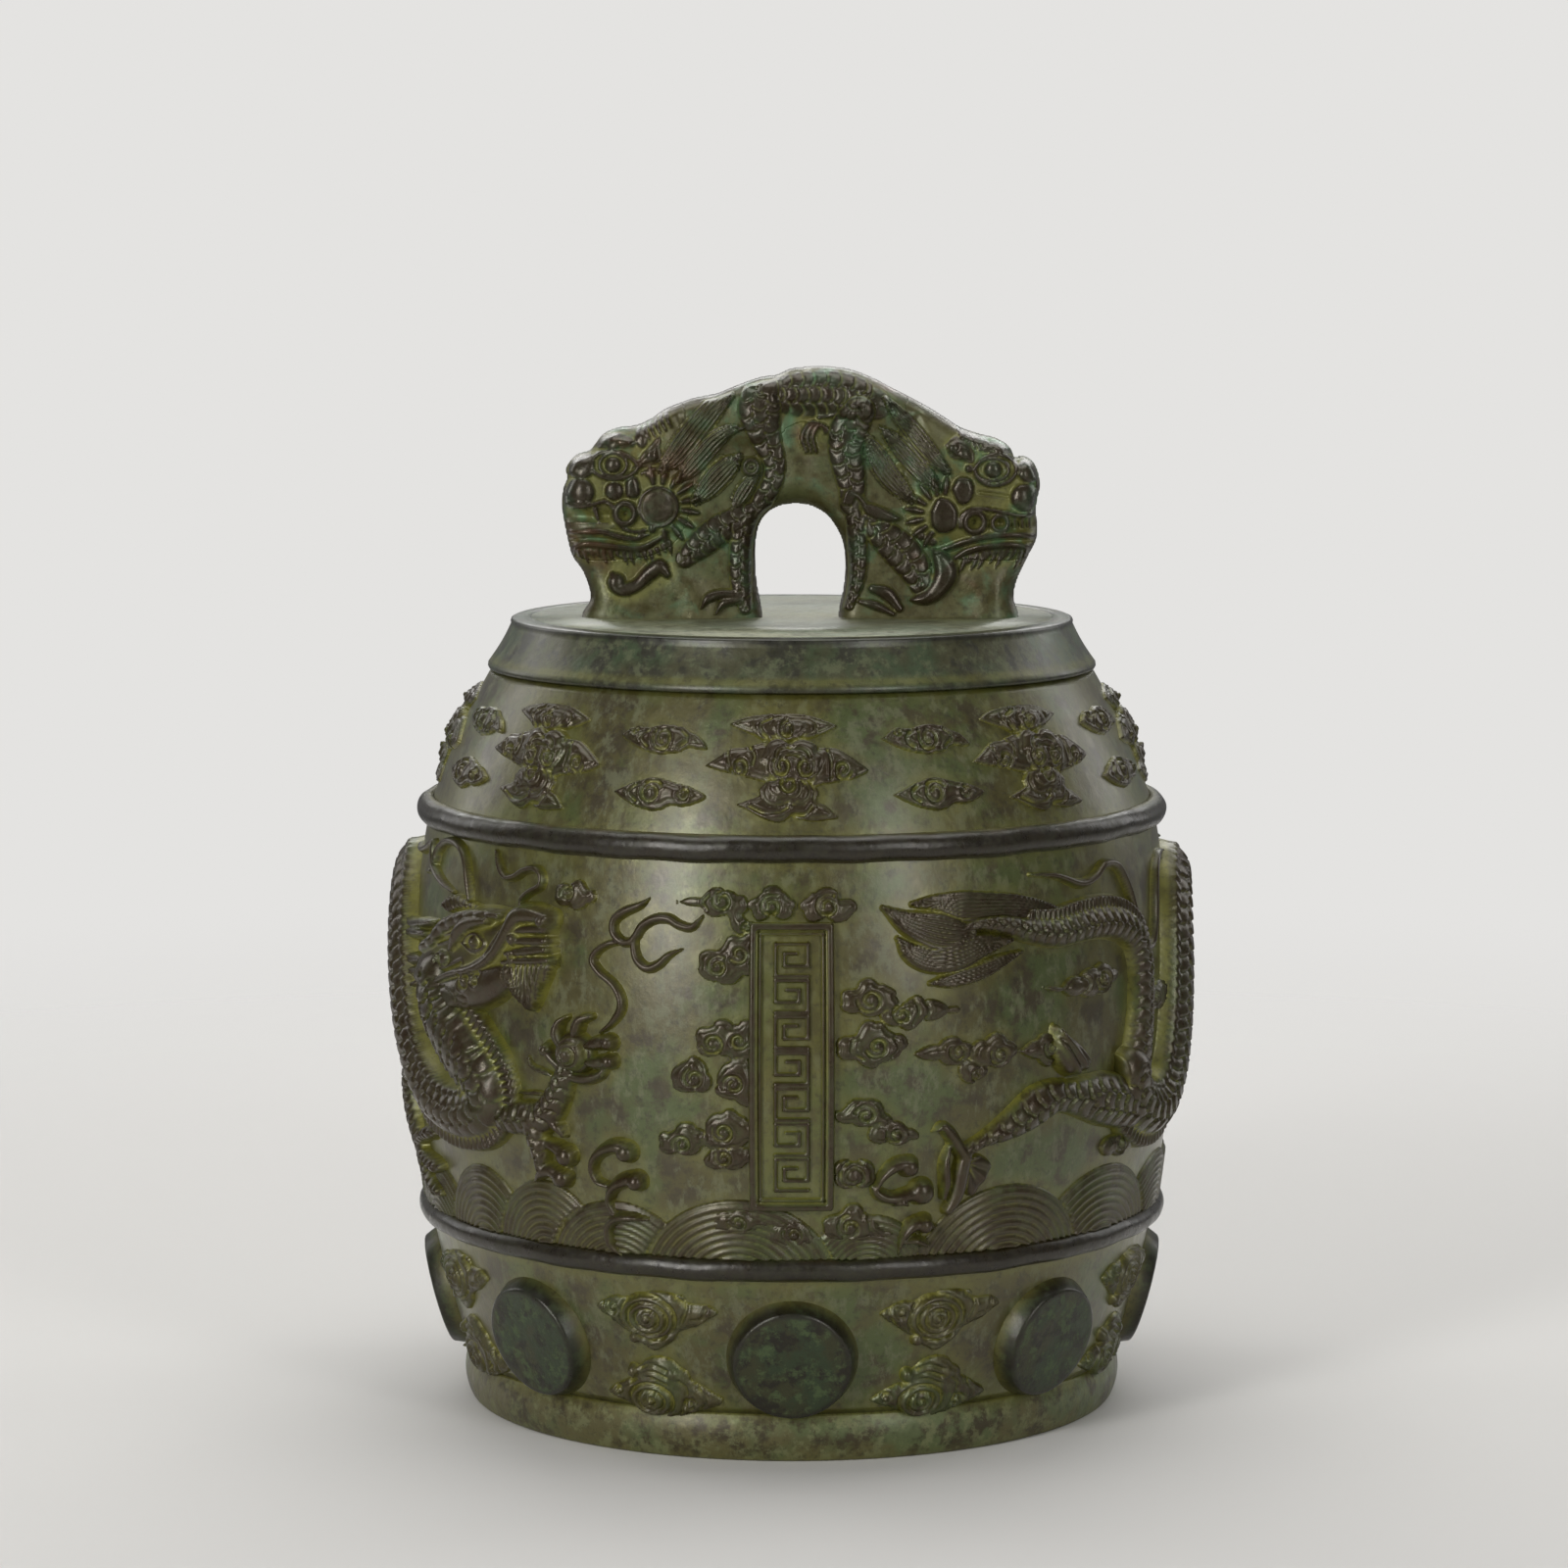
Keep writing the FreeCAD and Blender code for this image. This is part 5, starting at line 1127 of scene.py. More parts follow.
def drawWaves():
    canvas = zoneCanvas(-90, 90, 3.4, 25, 0.53)
    gx, gz = gridOf(canvas, 0, canvas["lift"].shape[1], 0, canvas["lift"].shape[0])
    foot = lowBead + sea["foot"]
    lift = canvas["lift"]
    for order, (middle, reach, peak) in enumerate(waves):
        tall = lowBead + peak * (highBead - lowBead) - foot
        # arcs about a middle that lies half their height under the ring
        q = np.hypot((gx - middle * degree) / (sea["widen"] * reach * degree),
                     (gz - foot + tall / 2) / (sea["heighten"] * tall))
        line = np.abs(np.sin(q * math.pi * sea["lines"])) ** 1.6
        inside = sea["low"] + sea["overlap"] * order / len(waves)
        inside = inside + sea["crown"] * (1 - q) + sea["lineRise"] * line
        edge = np.clip((1 - q) * sea["heighten"] * tall / 0.8, 0, 1) ** 0.5
        height = np.where(q < 1, inside * edge, -(q - 1) * tall * tool["fall"])
        lift[:] = np.where(q < 1, height, np.maximum(lift, height))
    return canvas


sprays = [
    [(-27, .19, .9), (-28.9, .2, 1.2), (-29.6, .23, 1.4), (-29, .258, 1.6), (-27.4, .279, 2),
     (-25.6, .289, 2.3), (-24.2, .285, 2.3), (-23.6, .27, 1.5)],
    [(-26.4, .125, 1.1), (-27.2, .155, 1.3), (-26.4, .186, 1.8), (-24.8, .205, 2.3), (-23, .212, 2.3),
     (-21.9, .202, 1.5)],
    [(-25.6, .02, .3), (-27.2, .05, 1.5), (-27.4, .09, 1.7), (-26, .115, 1.8), (-23.6, .121, 1.7),
     (-21.2, .118, .7)],
    [(11.9, .2, 1), (12.8, .228, 1.5), (14.4, .252, 2.1), (16.2, .258, 2.2), (17.2, .245, 1.6)],
    [(11.4, .205, .8), (12.4, .186, 1.9), (14.2, .175, 2), (16.4, .18, 2.3), (18.4, .188, 3),
     (19.2, .186, 2.2)],
    [(14.6, .16, .6), (15.6, .168, 1.4), (16.4, .16, .8)],
    [(15.6, .035, .4), (16, .075, 1.4), (17.4, .105, 2.2), (19.2, .11, 2.3), (20.8, .1, .8)],
    [(16.4, .07, 1.2), (18, .072, 1.6), (19.6, .06, 1.2)],
]


def drawSprays():
    left = zoneCanvas(-31.5, -19.5, 1.5, 38, 0.42)
    right = zoneCanvas(10, 22.5, 3, 35, 0.42)
    for rows in sprays:
        strokeZone(left if rows[0][0] < 0 else right, rows, 4.2, 0.3, top=softTop)
    for canvas, x, z, radius in ((left, -24, .277, 2.6), (left, -22.6, .208, 2.4), (right, 16.6, .25, 2.5),
                                 (right, 18.6, .187, 3.3), (right, 19.2, .108, 2.3)):
        discZone(canvas, x, z, radius, 2.6, 2.4)
    return left, right


flame = [
    [(-28, .558, .5), (-26.3, .58, 1.1), (-24.9, .612, 1.5), (-24.8, .64, 1.5), (-26, .672, 1.4),
     (-28.4, .7, 1.4), (-29.5, .726, 1.4), (-28.8, .75, 1.3), (-27, .768, 1.1), (-25.6, .772, .8)],
    [(-21.2, .878, .3), (-22.4, .862, 1.1), (-24.8, .845, 1.5), (-26.3, .825, 1.5), (-26.3, .795, 1.5),
     (-25, .775, 1.4), (-23.6, .776, 1.4), (-22.8, .79, 1.4), (-21.8, .815, 1.5), (-20, .832, 1.5),
     (-18, .834, 1.5), (-16.2, .82, 1.4), (-14.4, .817, 1.2), (-13, .842, .4)],
    [(-23, .79, 1), (-22.9, .755, 1.4), (-22.2, .73, 1.5), (-20.8, .717, 1.5), (-19.2, .727, 1.4),
     (-17.8, .748, 1.1), (-15.9, .764, .3)],
]


def drawFlame():
    canvas = zoneCanvas(-31, -12, 65, 107, 0.42)
    for rows in flame:
        strokeZone(canvas, rows, 2.6, 0.2, top=softTop)
    return canvas


dragonHead = {
    "skull": [(-73, .6), (-70, .66), (-66, .712), (-62, .752), (-57, .785), (-51, .8), (-47, .8), (-44, .822),
              (-40, .818), (-38.6, .8), (-38.8, .75), (-40, .72), (-38.4, .702), (-44, .665), (-49, .645),
              (-52, .612), (-56, .582), (-63, .572), (-69, .58)],
    "throat": [(-63, .598, 4), (-58, .607, 5.2), (-53, .622, 5.6), (-49, .648, 5.6), (-45.2, .672, 4)],
    "crest": [(-73, .693, 1.6), (-68, .72, 2), (-64.6, .754, 2.2), (-62, .77, 2.2), (-58.5, .788, 1.9),
              (-55, .799, 1.6), (-52, .805, 1.3), (-49, .806, 1)],
    "brow": [(-60.6, .71, .7), (-59, .738, 1.8), (-57.6, .762, 2.4), (-55.6, .778, 2.1), (-53.4, .786, 1.6),
             (-51.4, .79, 1)],
    "lip": [(-39, .815, 1.4), (-42, .818, 2.2), (-44.6, .812, 2.6), (-46, .785, 2.2), (-47.4, .752, 1.9),
            (-49, .72, 1.7), (-51.4, .692, 1.5), (-55, .67, 1.3), (-60, .652, 1.2), (-64.6, .628, 1.2),
            (-69, .6, 1.1), (-73, .583, .6)],
    "lipInner": [(-48.2, .769, .6), (-49.7, .739, .8), (-51.3, .709, .8), (-53.4, .689, .8),
                 (-55.6, .675, .7),
                 (-58.7, .664, .5)],
    "folds": [[(-44.6, .774, 1), (-42, .784, 1.5), (-38.8, .787, 1.2)],
              [(-45, .752, 1), (-42, .757, 1.4), (-38.6, .761, 1.2)],
              [(-46, .722, .8), (-44, .727, 1.3), (-41.2, .735, 1.5), (-38.4, .741, 1.1)],
              [(-46.6, .7, .6), (-43.4, .708, 1.1), (-40.4, .713, 1.2), (-37.6, .717, .8)]],
    "beard": [(-46.4, .692), (-43, .704), (-40, .711), (-37.4, .711), (-36.9, .698), (-37.8, .662),
              (-39.6, .602),
              (-40.4, .592), (-41.4, .6), (-43.3, .62), (-45, .647), (-46.4, .668)],
    "ear": [(-69.4, .655), (-67.4, .678), (-65.4, .695), (-63, .7), (-61.8, .688), (-62.4, .67), (-65, .658)],
    "tuft": [(-63.6, .797), (-62, .822), (-59, .836), (-55.6, .828), (-52, .823), (-48.6, .824),
             (-46.6, .817),
             (-48, .806), (-53, .806), (-57.4, .8), (-60.4, .788)],
    "locks": [
        [(-66, .755, .6), (-71, .742, 1.4), (-77, .728, 1.5), (-84, .742, .4)],
        [(-69, .72, .8), (-74.5, .712, 1.7), (-80, .7, 1.5), (-86, .71, .3)],
        [(-70, .655, 1), (-76, .642, 2), (-82, .64, 1.6), (-88, .655, .3)],
        [(-71, .625, 1), (-77, .607, 1.9), (-82, .6, 1.4), (-87, .605, .3)],
        [(-72, .592, .8), (-76, .568, 1.5), (-80, .555, .4)],
    ],
}


def seen(rows, rise=5.5):
    # moved round the bell to where they show from the front when they stand rise mm proud
    turned = [math.asin(math.sin(math.radians(row[0])) * drawRadius / (drawRadius + rise)) for row in rows]
    return [(math.degrees(turn),) + tuple(row[1:]) for turn, row in zip(turned, rows)]


def drawHead():
    canvas = zoneCanvas(-89.5, -35.5, 60, 103, 0.42)
    h = dragonHead
    for rows in h["locks"]:
        strokeZone(canvas, rows, 2.6, 1.2, ribsAlong(3, 0.5))
    pillowZone(canvas, h["tuft"], 2.2, 2.0, 0.6, lambda x, z, t: 0.5 * np.sin((x + 0.9 * z) * 2.2))
    pillowZone(canvas, h["skull"], 4.4, 5, 0)
    strokeZone(canvas, seen(h["throat"], 3), 4.2, 2)

    def fan(x, z, t):
        (cx, cz), = onZone(seen([(-41.2, .5)], 3))
        return 0.7 * np.cos(np.arctan2(x - cx, z - cz) * math.tau / math.radians(4.2))
    pillowZone(canvas, seen(h["beard"], 2), 3.2, 2, 1.4, fan)
    for rows in h["folds"]:
        strokeZone(canvas, seen(rows, 4), 1.9, 3.6)
    for x, z, wide, tall in ((-61.5, .592, 4, .032), (-66.6, .607, 2.4, .02), (-56.6, .602, 2.4, .022)):
        fold = [(x + wide * math.cos(a), z + tall * math.sin(a)) for a in np.linspace(0, math.tau, 16, False)]
        pillowZone(canvas, seen(fold), 2.6, 2.6, 3.2)
    strokeZone(canvas, seen(h["crest"]), 2.8, 4, ribsAcross(4.6, 0.5))
    pillowZone(canvas, seen(h["ear"]), 2, 1.8, 4)
    strokeZone(canvas, seen(h["lipInner"]), 1.5, 4)
    strokeZone(canvas, seen(h["lip"]), 3, 4.2)
    # eye: a sunk almond, its rim, the ball and the pupil; fang, nostril and curls
    almond = seen([(-57.4, .728), (-56, .748), (-54.2, .757), (-52.6, .748), (-51.6, .734), (-53, .719),
                   (-55, .715)])
    strokeZone(canvas, [(x, z, .6) for x, z in almond + almond[:1]], 1.4, 4)
    strokeZone(canvas, seen(h["brow"]), 3, 4.6)
    for x, z, r, rise, low in (
            (-54.4, .736, 2.1, 2.4, 3.8), (-54.2, .736, .8, .7, 6), (-45.2, .757, 1.8, 2.2, 4.4),
            (-39.4, .806, 1.6, 1.8, 5.4), (-52.7, .649, 2.5, 2.2, 4.4), (-55.8, .642, 3.3, 1.8, 4.2)):
        discZone(canvas, seen([(x, z)])[0][0], z, r, rise, low)
    for x, z, r, start in ((-64.6, .68, 1.7, 200), (-55.8, .642, 2.4, 160), (-52.7, .649, 1.6, 60)):
        spiralZone(canvas, seen([(x, z)])[0][0], z, r, start, 1.3)
    strokeZone(canvas, seen([(-45.4, .722, 1.1), (-45.2, .694, .4)]), 2, 4.4)
    for rows in ([(-68, .635), (-63, .652), (-58, .68)], [(-66, .72), (-62, .735), (-59.6, .745)]):
        engrave(canvas, onZone(seen(rows)), 0.9, 0.6)
    return canvas


dragonNeck = [(-62.4, .63, 8), (-62, .59, 9), (-60, .548, 9.6), (-56.8, .507, 9.8), (-53.4, .466, 9.4)]
dragonBody = [
    (-58, .52, 9.4), (-55, .483, 9.6), (-51.8, .446, 9.2), (-49.2, .405, 8.6), (-48.6, .368, 8.2),
    (-50.4, .333, 7.8), (-54.6, .313, 7.4), (-59.6, .315, 7.2), (-64.6, .34, 7.2), (-69.4, .39, 7.2),
    (-74, .475, 7.6), (-78, .575, 8), (-82.6, .69, 8.4), (-87, .78, 8.7), (-92, .832, 8.7), (-97, .808, 8.7),
    (-101, .72, 8.7), (-103.2, .6, 8.6), (-105, .48, 8.5), (-107.6, .375, 8.4), (-112, .31, 8.2),
    (-117, .305, 8), (-121.4, .345, 8), (-122.6, .41, 7.6),
]
dragonTail = [
    (-121.6, .395, 7.4), (-120.6, .45, 6.2), (-119.6, .52, 5.4), (-118.9, .6, 5), (-118.8, .67, 4.9),
    (-120.2, .73, 4.9), (-123.4, .765, 4.8), (-128, .783, 4.6), (-133, .783, 4.4), (-138.6, .775, 4.1),
    (-143.6, .787, 3.5), (-148.6, .808, 2.7), (-152.6, .812, 1.8), (-156, .803, .8),
]


def beside(rows, side, gap, half, first=0, last=None):
    # a band that runs along the edge of another
    path = np.array([(r[0] * degree, r[1] * (highBead - lowBead), r[2]) for r in rows])
    ahead = np.gradient(path[:, :2], axis=0)
    ahead /= np.hypot(*ahead.T)[:, None]
    moved = path[:, :2] + side * np.stack([-ahead[:, 1], ahead[:, 0]], axis=1) * (path[:, 2:] * gap)
    found = [(x / degree, z / (highBead - lowBead), half) for x, z in moved]
    return found[first:last]


def drawBody():
    canvas = zoneCanvas(-125.5, -40.5, 21, 113, 0.55)
    comb = beside(dragonBody, 1, 1.12, 2.5)
    comb = [(x, z, 2.6 if 0 < k < len(comb) - 1 else 1.2) for k, (x, z, _) in enumerate(comb)]
    strokeZone(canvas, comb, 2.6, 1.2, ribsAcross(2.3, 1.1), plateTop)
    strokeZone(canvas, dragonBody, 7.4, 0.8, scales(4.4, 5.2, 0.9))
    inner = beside(dragonBody, -1, 0.8, 1.9)
    strokeZone(canvas, inner, 2.2, 3.2, bellyPlates(3.2, 0.8))
    strokeZone(canvas, dragonNeck, 7.4, 0.8, scales(4.8, 6.4, 1))
    return canvas


def drawTail():
    canvas = zoneCanvas(-158, -111.5, 42, 106, 0.45)
    comb = beside(dragonTail, -1, 1.2, 2.3, 1, -3)
    strokeZone(canvas, comb, 2, 0.8, ribsAcross(1.9, 0.8), plateTop)
    strokeZone(canvas, dragonTail, 5.2, 0.9, scales(3.6, 4.4, 0.8))
    return canvas


tailFins = [  # rows, count of lines
    ([(-162.5, .868, .8), (-159, .868, 2.4), (-155, .856, 4.4), (-150, .853, 3.9), (-145, .846, 3.4),
      (-140, .828, 2.6), (-134, .8, .5)], 8),
    ([(-160.2, .682, .5), (-157, .688, 2.2), (-153, .702, 2.6), (-149, .722, 1.9), (-145.4, .74, .4)], 5),
    ([(-164.9, .79, .4), (-163, .757, 2.8), (-160, .738, 3.7), (-156, .745, 4.4), (-152, .763, 3.2),
      (-147, .77, .7)], 8),
    ([(-166.9, .862, .3), (-163.4, .826, 3.2), (-159.4, .803, 5.2), (-156.4, .795, 4.4), (-154, .797, 2)], 8),
]


def drawFins():
    canvas = zoneCanvas(-168.5, -132, 77, 109, 0.36)
    for k, (rows, lines) in enumerate(tailFins):
        strokeZone(canvas, rows, 1.7, 0.6 + 0.35 * k, ribsAlong(lines, 1), plateTop)
    return canvas


foreLeg = {
    "near": [[(-48, .335, 3.6), (-44.4, .325, 4.6), (-41, .333, 5), (-38.6, .335, 5), (-36.6, .358, 4.7),
              (-35.2, .393, 4.3), (-34.2, .428, 3.8), (-33.3, .462, 3.2)],
             [(-39.6, .33, 4.2), (-38.9, .29, 3.8), (-38.5, .25, 3), (-38.4, .212, 2)]],
    "toes": [[(-37.8, .28, 1.4), (-35.8, .272, 1.9), (-34.3, .26, 2.4)],
             [(-39.8, .183, .6), (-38.6, .203, 1.7), (-36.8, .213, 2.1), (-35.3, .203, 2.3)],
             [(-36.4, .335, 1.2), (-35, .322, 1.5), (-34.2, .303, .8)]],
    "far": [[(-76, .4, 3.4), (-79.6, .33, 4.6), (-79, .26, 4.4), (-76.5, .208, 3.6), (-73.6, .168, 3)],
            [(-74.6, .19, 1.6), (-70.6, .218, 2), (-67.6, .232, 2.4), (-65.6, .236, 1.2)],
            [(-74.6, .17, 1.6), (-70.6, .157, 2), (-67, .15, 2.4), (-65, .152, 1.2)],
            [(-74.6, .158, 1.6), (-71.5, .118, 2), (-68, .09, 2.4), (-66, .083, 1.2)]],
    "wisps": [[(-40.8, .478, .4), (-39.9, .457, .8), (-38, .449, .85), (-36.4, .442, .6), (-36.1, .424, .3)],
              [(-42.5, .39, .4), (-40, .394, .75), (-37.4, .396, .4)],
              [(-43.6, .36, .4), (-42.6, .34, 1.2), (-42.8, .31, .5)]],
    "claw": [[(-34.2, .468, 1.5), (-35.6, .485, 1.6), (-36.5, .502, 1.7)],
             [(-34.2, .515, 1.2), (-35, .545, 1.7), (-34.6, .572, 1.3), (-33.4, .588, .5)],
             [(-31.8, .54, 1.2), (-31.6, .562, 1.8), (-31, .584, 1.6), (-29.4, .594, .8)],
             [(-30.4, .52, 1.2), (-28.4, .532, 2), (-26.4, .536, 1.9)],
             [(-30.2, .486, 1.2), (-28.2, .486, 2), (-26.3, .492, 1.9)]],
    "balls": [(-33.9, .253, 2.9), (-34.9, .198, 2.8), (-36.7, .504, 2.1), (-26.4, .536, 2.1),
              (-26.3, .492, 2.1)],
}


def drawForelegs():
    canvas = zoneCanvas(-83.5, -24.5, 6.5, 73.5, 0.45)
    for rows in foreLeg["far"]:
        strokeZone(canvas, rows, 3.6, 0.6, scales(3.4, 4, 0.7))
    for rows in foreLeg["wisps"]:
        strokeZone(canvas, rows, 1.6, 0.3)
    for rows in foreLeg["near"][::-1]:
        strokeZone(canvas, rows, 4.6, 0.6, scales(3.6, 4.2, 0.8))
    for rows in foreLeg["toes"] + foreLeg["claw"]:
        strokeZone(canvas, rows, 3.4, 0.8)
    for x, z, r in foreLeg["balls"]:
        discZone(canvas, x, z, r, 3, 1.8)
    crescent = [(-35.6, .505, .4), (-35.1, .477, 1.2), (-33.2, .453, 1.6), (-30.6, .445, 1.6),
                (-28.2, .455, 1.2),
                (-27, .472, .5)]
    strokeZone(canvas, crescent, 2.2, 1.6)
    return canvas


def drawPearl():
    canvas = zoneCanvas(-35.5, -28.5, 52, 69, 0.4)
    discZone(canvas, -32, .504, 5.9, 2.2, 1.8)
    discZone(canvas, -32, .504, 4.7, 4.4, 2.8)
    spiralZone(canvas, -32, .504, 3.2, 60, 1.8)
    return canvas


hindLeg = {
    "leg": [(-119, .335, 6.4), (-122, .33, 7.5), (-126, .345, 7.8), (-130, .36, 7.6), (-134, .372, 6),
            (-137, .38, 4.9), (-140, .385, 4.9), (-143, .37, 5.6), (-146, .343, 4.8), (-149, .32, 3.5),
            (-152, .3, 2.1), (-154.4, .282, 1.8), (-155.2, .268, 1.8)],
    "toes": [[(-154.8, .262, 1.9), (-156.2, .295, 2), (-157.4, .325, 1.9), (-158.6, .34, 1.5),
              (-159.8, .33, .3)],
             [(-154.9, .27, 2.2), (-155.4, .23, 2.4), (-155.8, .19, 2.4), (-156.4, .16, 2.1),
              (-157.2, .138, 1.6)],
             [(-157.4, .295, .5), (-158, .255, 1.4), (-157.8, .205, 1.5), (-158, .17, .8)]],
    "web": [(-154.4, .262), (-152.6, .266), (-150.9, .25), (-150.4, .228), (-151.4, .2), (-153, .17),
            (-154.2, .172), (-154.6, .21)],
    "tuft": [(-140.6, .5), (-139.8, .556), (-138.6, .542), (-137, .522), (-135, .492), (-133.8, .466),
             (-134, .446), (-135.4, .436), (-137, .432), (-138.6, .445), (-139.8, .47)],
}


def drawHindleg():
    canvas = zoneCanvas(-161.5, -117, 13, 67, 0.45)
    pillowZone(canvas, hindLeg["web"], 1.5, 1.4, 0.4,
               lambda x, z, t: 0.4 * np.cos(np.arctan2(x + 154.7 * degree, z - lowBead - 30) * 11))
    strokeZone(canvas, hindLeg["leg"], 5.6, 0.8, scales(4.4, 5, 0.9))
    pillowZone(canvas, hindLeg["tuft"], 4.2, 3.6, 1.6, lambda x, z,
               t: 0.55 * np.sin((0.8 * x + 0.6 * z) * 2.3))
    for rows in hindLeg["toes"][::-1]:
        strokeZone(canvas, rows, 3.6, 0.5)
    return canvas


whiskers = [
    [(-43.2, .832, .8), (-43, .853, 1.1), (-41.6, .872, 1.2), (-39.8, .888, 1.2), (-39.7, .91, 1.2),
     (-41, .926, 1.2), (-43.2, .92, 1.2), (-45.2, .902, 1.2), (-47.2, .898, 1.1), (-48.8, .918, 1),
     (-50.4, .956, .3)],
    [(-55.4, .83, .9), (-56.2, .865, 1.3), (-57.8, .915, 1.3), (-60, .945, 1.3), (-63, .956, 1.3),
     (-66, .95, 1.3), (-68.6, .925, 1.3), (-69, .9, 1.2)],
    [(-61, .838, .7), (-65.4, .855, 1.2), (-69, .88, 1.4), (-70.4, .905, 1.4), (-71.6, .938, 1.3),
     (-75, .92, 1.2), (-80, .905, 1.1), (-86, .91, .4)],
    [(-69.6, .872, .9), (-72, .868, .7), (-73.4, .862, .3)],
    [(-142.6, .918, .4), (-137.6, .908, 1), (-132.6, .882, 1.4), (-129, .892, 1.4), (-126, .918, 1.4),
     (-122.8, .91, 1.4), (-120.6, .865, 1.4), (-119, .8, 1.4), (-117.8, .735, 1.4), (-115.8, .698, 1.3),
     (-113.4, .7, 1.3), (-111.4, .745, 1.3), (-109.6, .82, 1.3), (-107.2, .878, 1.2), (-103.6, .905, 1),
     (-98, .9, .4)],
]


def drawWhiskers():
    strips = [zoneCanvas(-88, -37.5, 97, 117.5, 0.42),
              zoneCanvas(-145, -96, 81, 112, 0.42)]
    for rows in whiskers:
        strokeZone(strips[1 if rows[0][0] < -100 else 0], rows, 2.3, 0.3, top=softTop)
    return strips


# The hanging loop: one dragon's body with a head at each end, alike on its two faces.
# Rows are in mm from the bell's axis and up from its mouth.

loop = {
    "step": 0.4, "foot": 234.2,  # half thicknesses follow, in mm
    "bed": 9.4, "edge": 4.2, "head": 12.2, "back": 11.6, "turnOver": 7,
    "outline": [
        (-62.6, 236.2), (-60.3, 240), (-60.6, 244), (-62.6, 249), (-65.4, 253), (-66.8, 258), (-67.8, 263),
        (-68.5, 268), (-68.2, 273), (-67, 276.4), (-67.2, 279.6), (-64.6, 282.9), (-60.6, 284.3),
        (-58.6, 286.6), (-56.2, 289.4), (-52, 291.1), (-46.5, 291.9), (-42, 293.9), (-38.4, 296.4),
        (-34, 298.3), (-29, 300), (-22.5, 301.3), (-17, 303.5), (-10, 306), (-4.5, 306.9), (-1.5, 308.3),
        (2.4, 309.1), (8, 309.4), (14, 309.1), (19, 308), (24.5, 305.8), (29.5, 303.2), (35, 300.4),
        (41, 297.2), (47, 293.4), (50.5, 291.2), (56, 289.3), (61, 288), (64.8, 285.7), (66.6, 282.3),
        (69, 282.7), (71.8, 281.3), (73.4, 278), (73.9, 274), (73.1, 270), (72.8, 266.5), (73.2, 262),
        (72.8, 258), (70.8, 253.8), (68.5, 249), (66.9, 245), (66.3, 240.5), (67.6, 236), (68, 230),
        (66, 227),
        (58, 226), (40, 226), (22, 226), (15.5, 228), (14, 232), (14.2, 237), (15.5, 243), (16.1, 250),
        (15.3, 257), (13.1, 262), (9.8, 266), (5, 268.4), (0, 268.8), (-4, 268), (-7.5, 265.9), (-9.9, 262),
        (-10.9, 256), (-10.9, 250), (-10.4, 244), (-9.2, 238), (-8.6, 232), (-10, 228), (-16, 226),
        (-35, 226), (-54, 226), (-61, 227), (-63, 231),
    ],
    "leftHead": [
        (-66, 254), (-68.6, 262), (-70, 270), (-68.6, 280), (-60, 287), (-52, 293), (-42, 296), (-34, 301),
        (-31, 292), (-29.6, 283), (-29.4, 274), (-31, 265), (-35, 257.4), (-43, 253.4), (-52, 252.4),
        (-61, 252.4),
    ],
    "rightHead": [
        (72, 254), (74.6, 262), (75.6, 272), (73.6, 282), (66, 288), (56, 291), (48, 295), (36, 302),
        (33.4, 293), (32, 284), (31.6, 275), (33.4, 266), (38, 258), (46, 253.4), (56, 252.4), (66, 252.4),
    ],
    "backMass": [
        (-36, 300), (-22, 303), (-10, 308), (8, 311), (24, 308), (36, 302), (42, 296), (36, 288), (28, 281),
        (21, 284), (14, 290), (6, 293.5), (-1, 292), (-6, 286), (-13, 283), (-22, 284), (-30, 287),
        (-37, 293),
    ],
}


def ring(canvas, x, z, wide, tall, half, rise, base):
    rows = [(x + wide * math.cos(a), z + tall * math.sin(a), half) for a in np.radians(np.arange(0, 361, 24))]
    stroke(canvas, rows, rise, base)


def leafBars(canvas, x, z, near, far, angles, half, rise):
    # short leaves that stand round a cheek
    for angle in angles:
        c, s = math.cos(math.radians(angle)), math.sin(math.radians(angle))
        stroke(canvas, [(x + near * c, z + near * s, half * 0.7),
                        (x + (near + far) / 2 * c, z + (near + far) / 2 * s, half),
                        (x + far * c, z + far * s, half * 0.55)], rise, 0.1, top=softTop)


def fringe(canvas, rows, spacing, length, lean):
    # the beard's hanging tufts, under a line
    half = 0.95
    path = curve([(x, z, 1) for x, z in rows], spacing)
    for k, (x, z, _) in enumerate(path):
        drop = length * (0.8 + 0.35 * math.sin(k * 1.9))
        stroke(canvas, [(x, z, half), (x + lean * 0.4, z - drop * 0.55, half * 0.8),
                        (x + lean, z - drop, 0.25)], 1.3, 0.1)


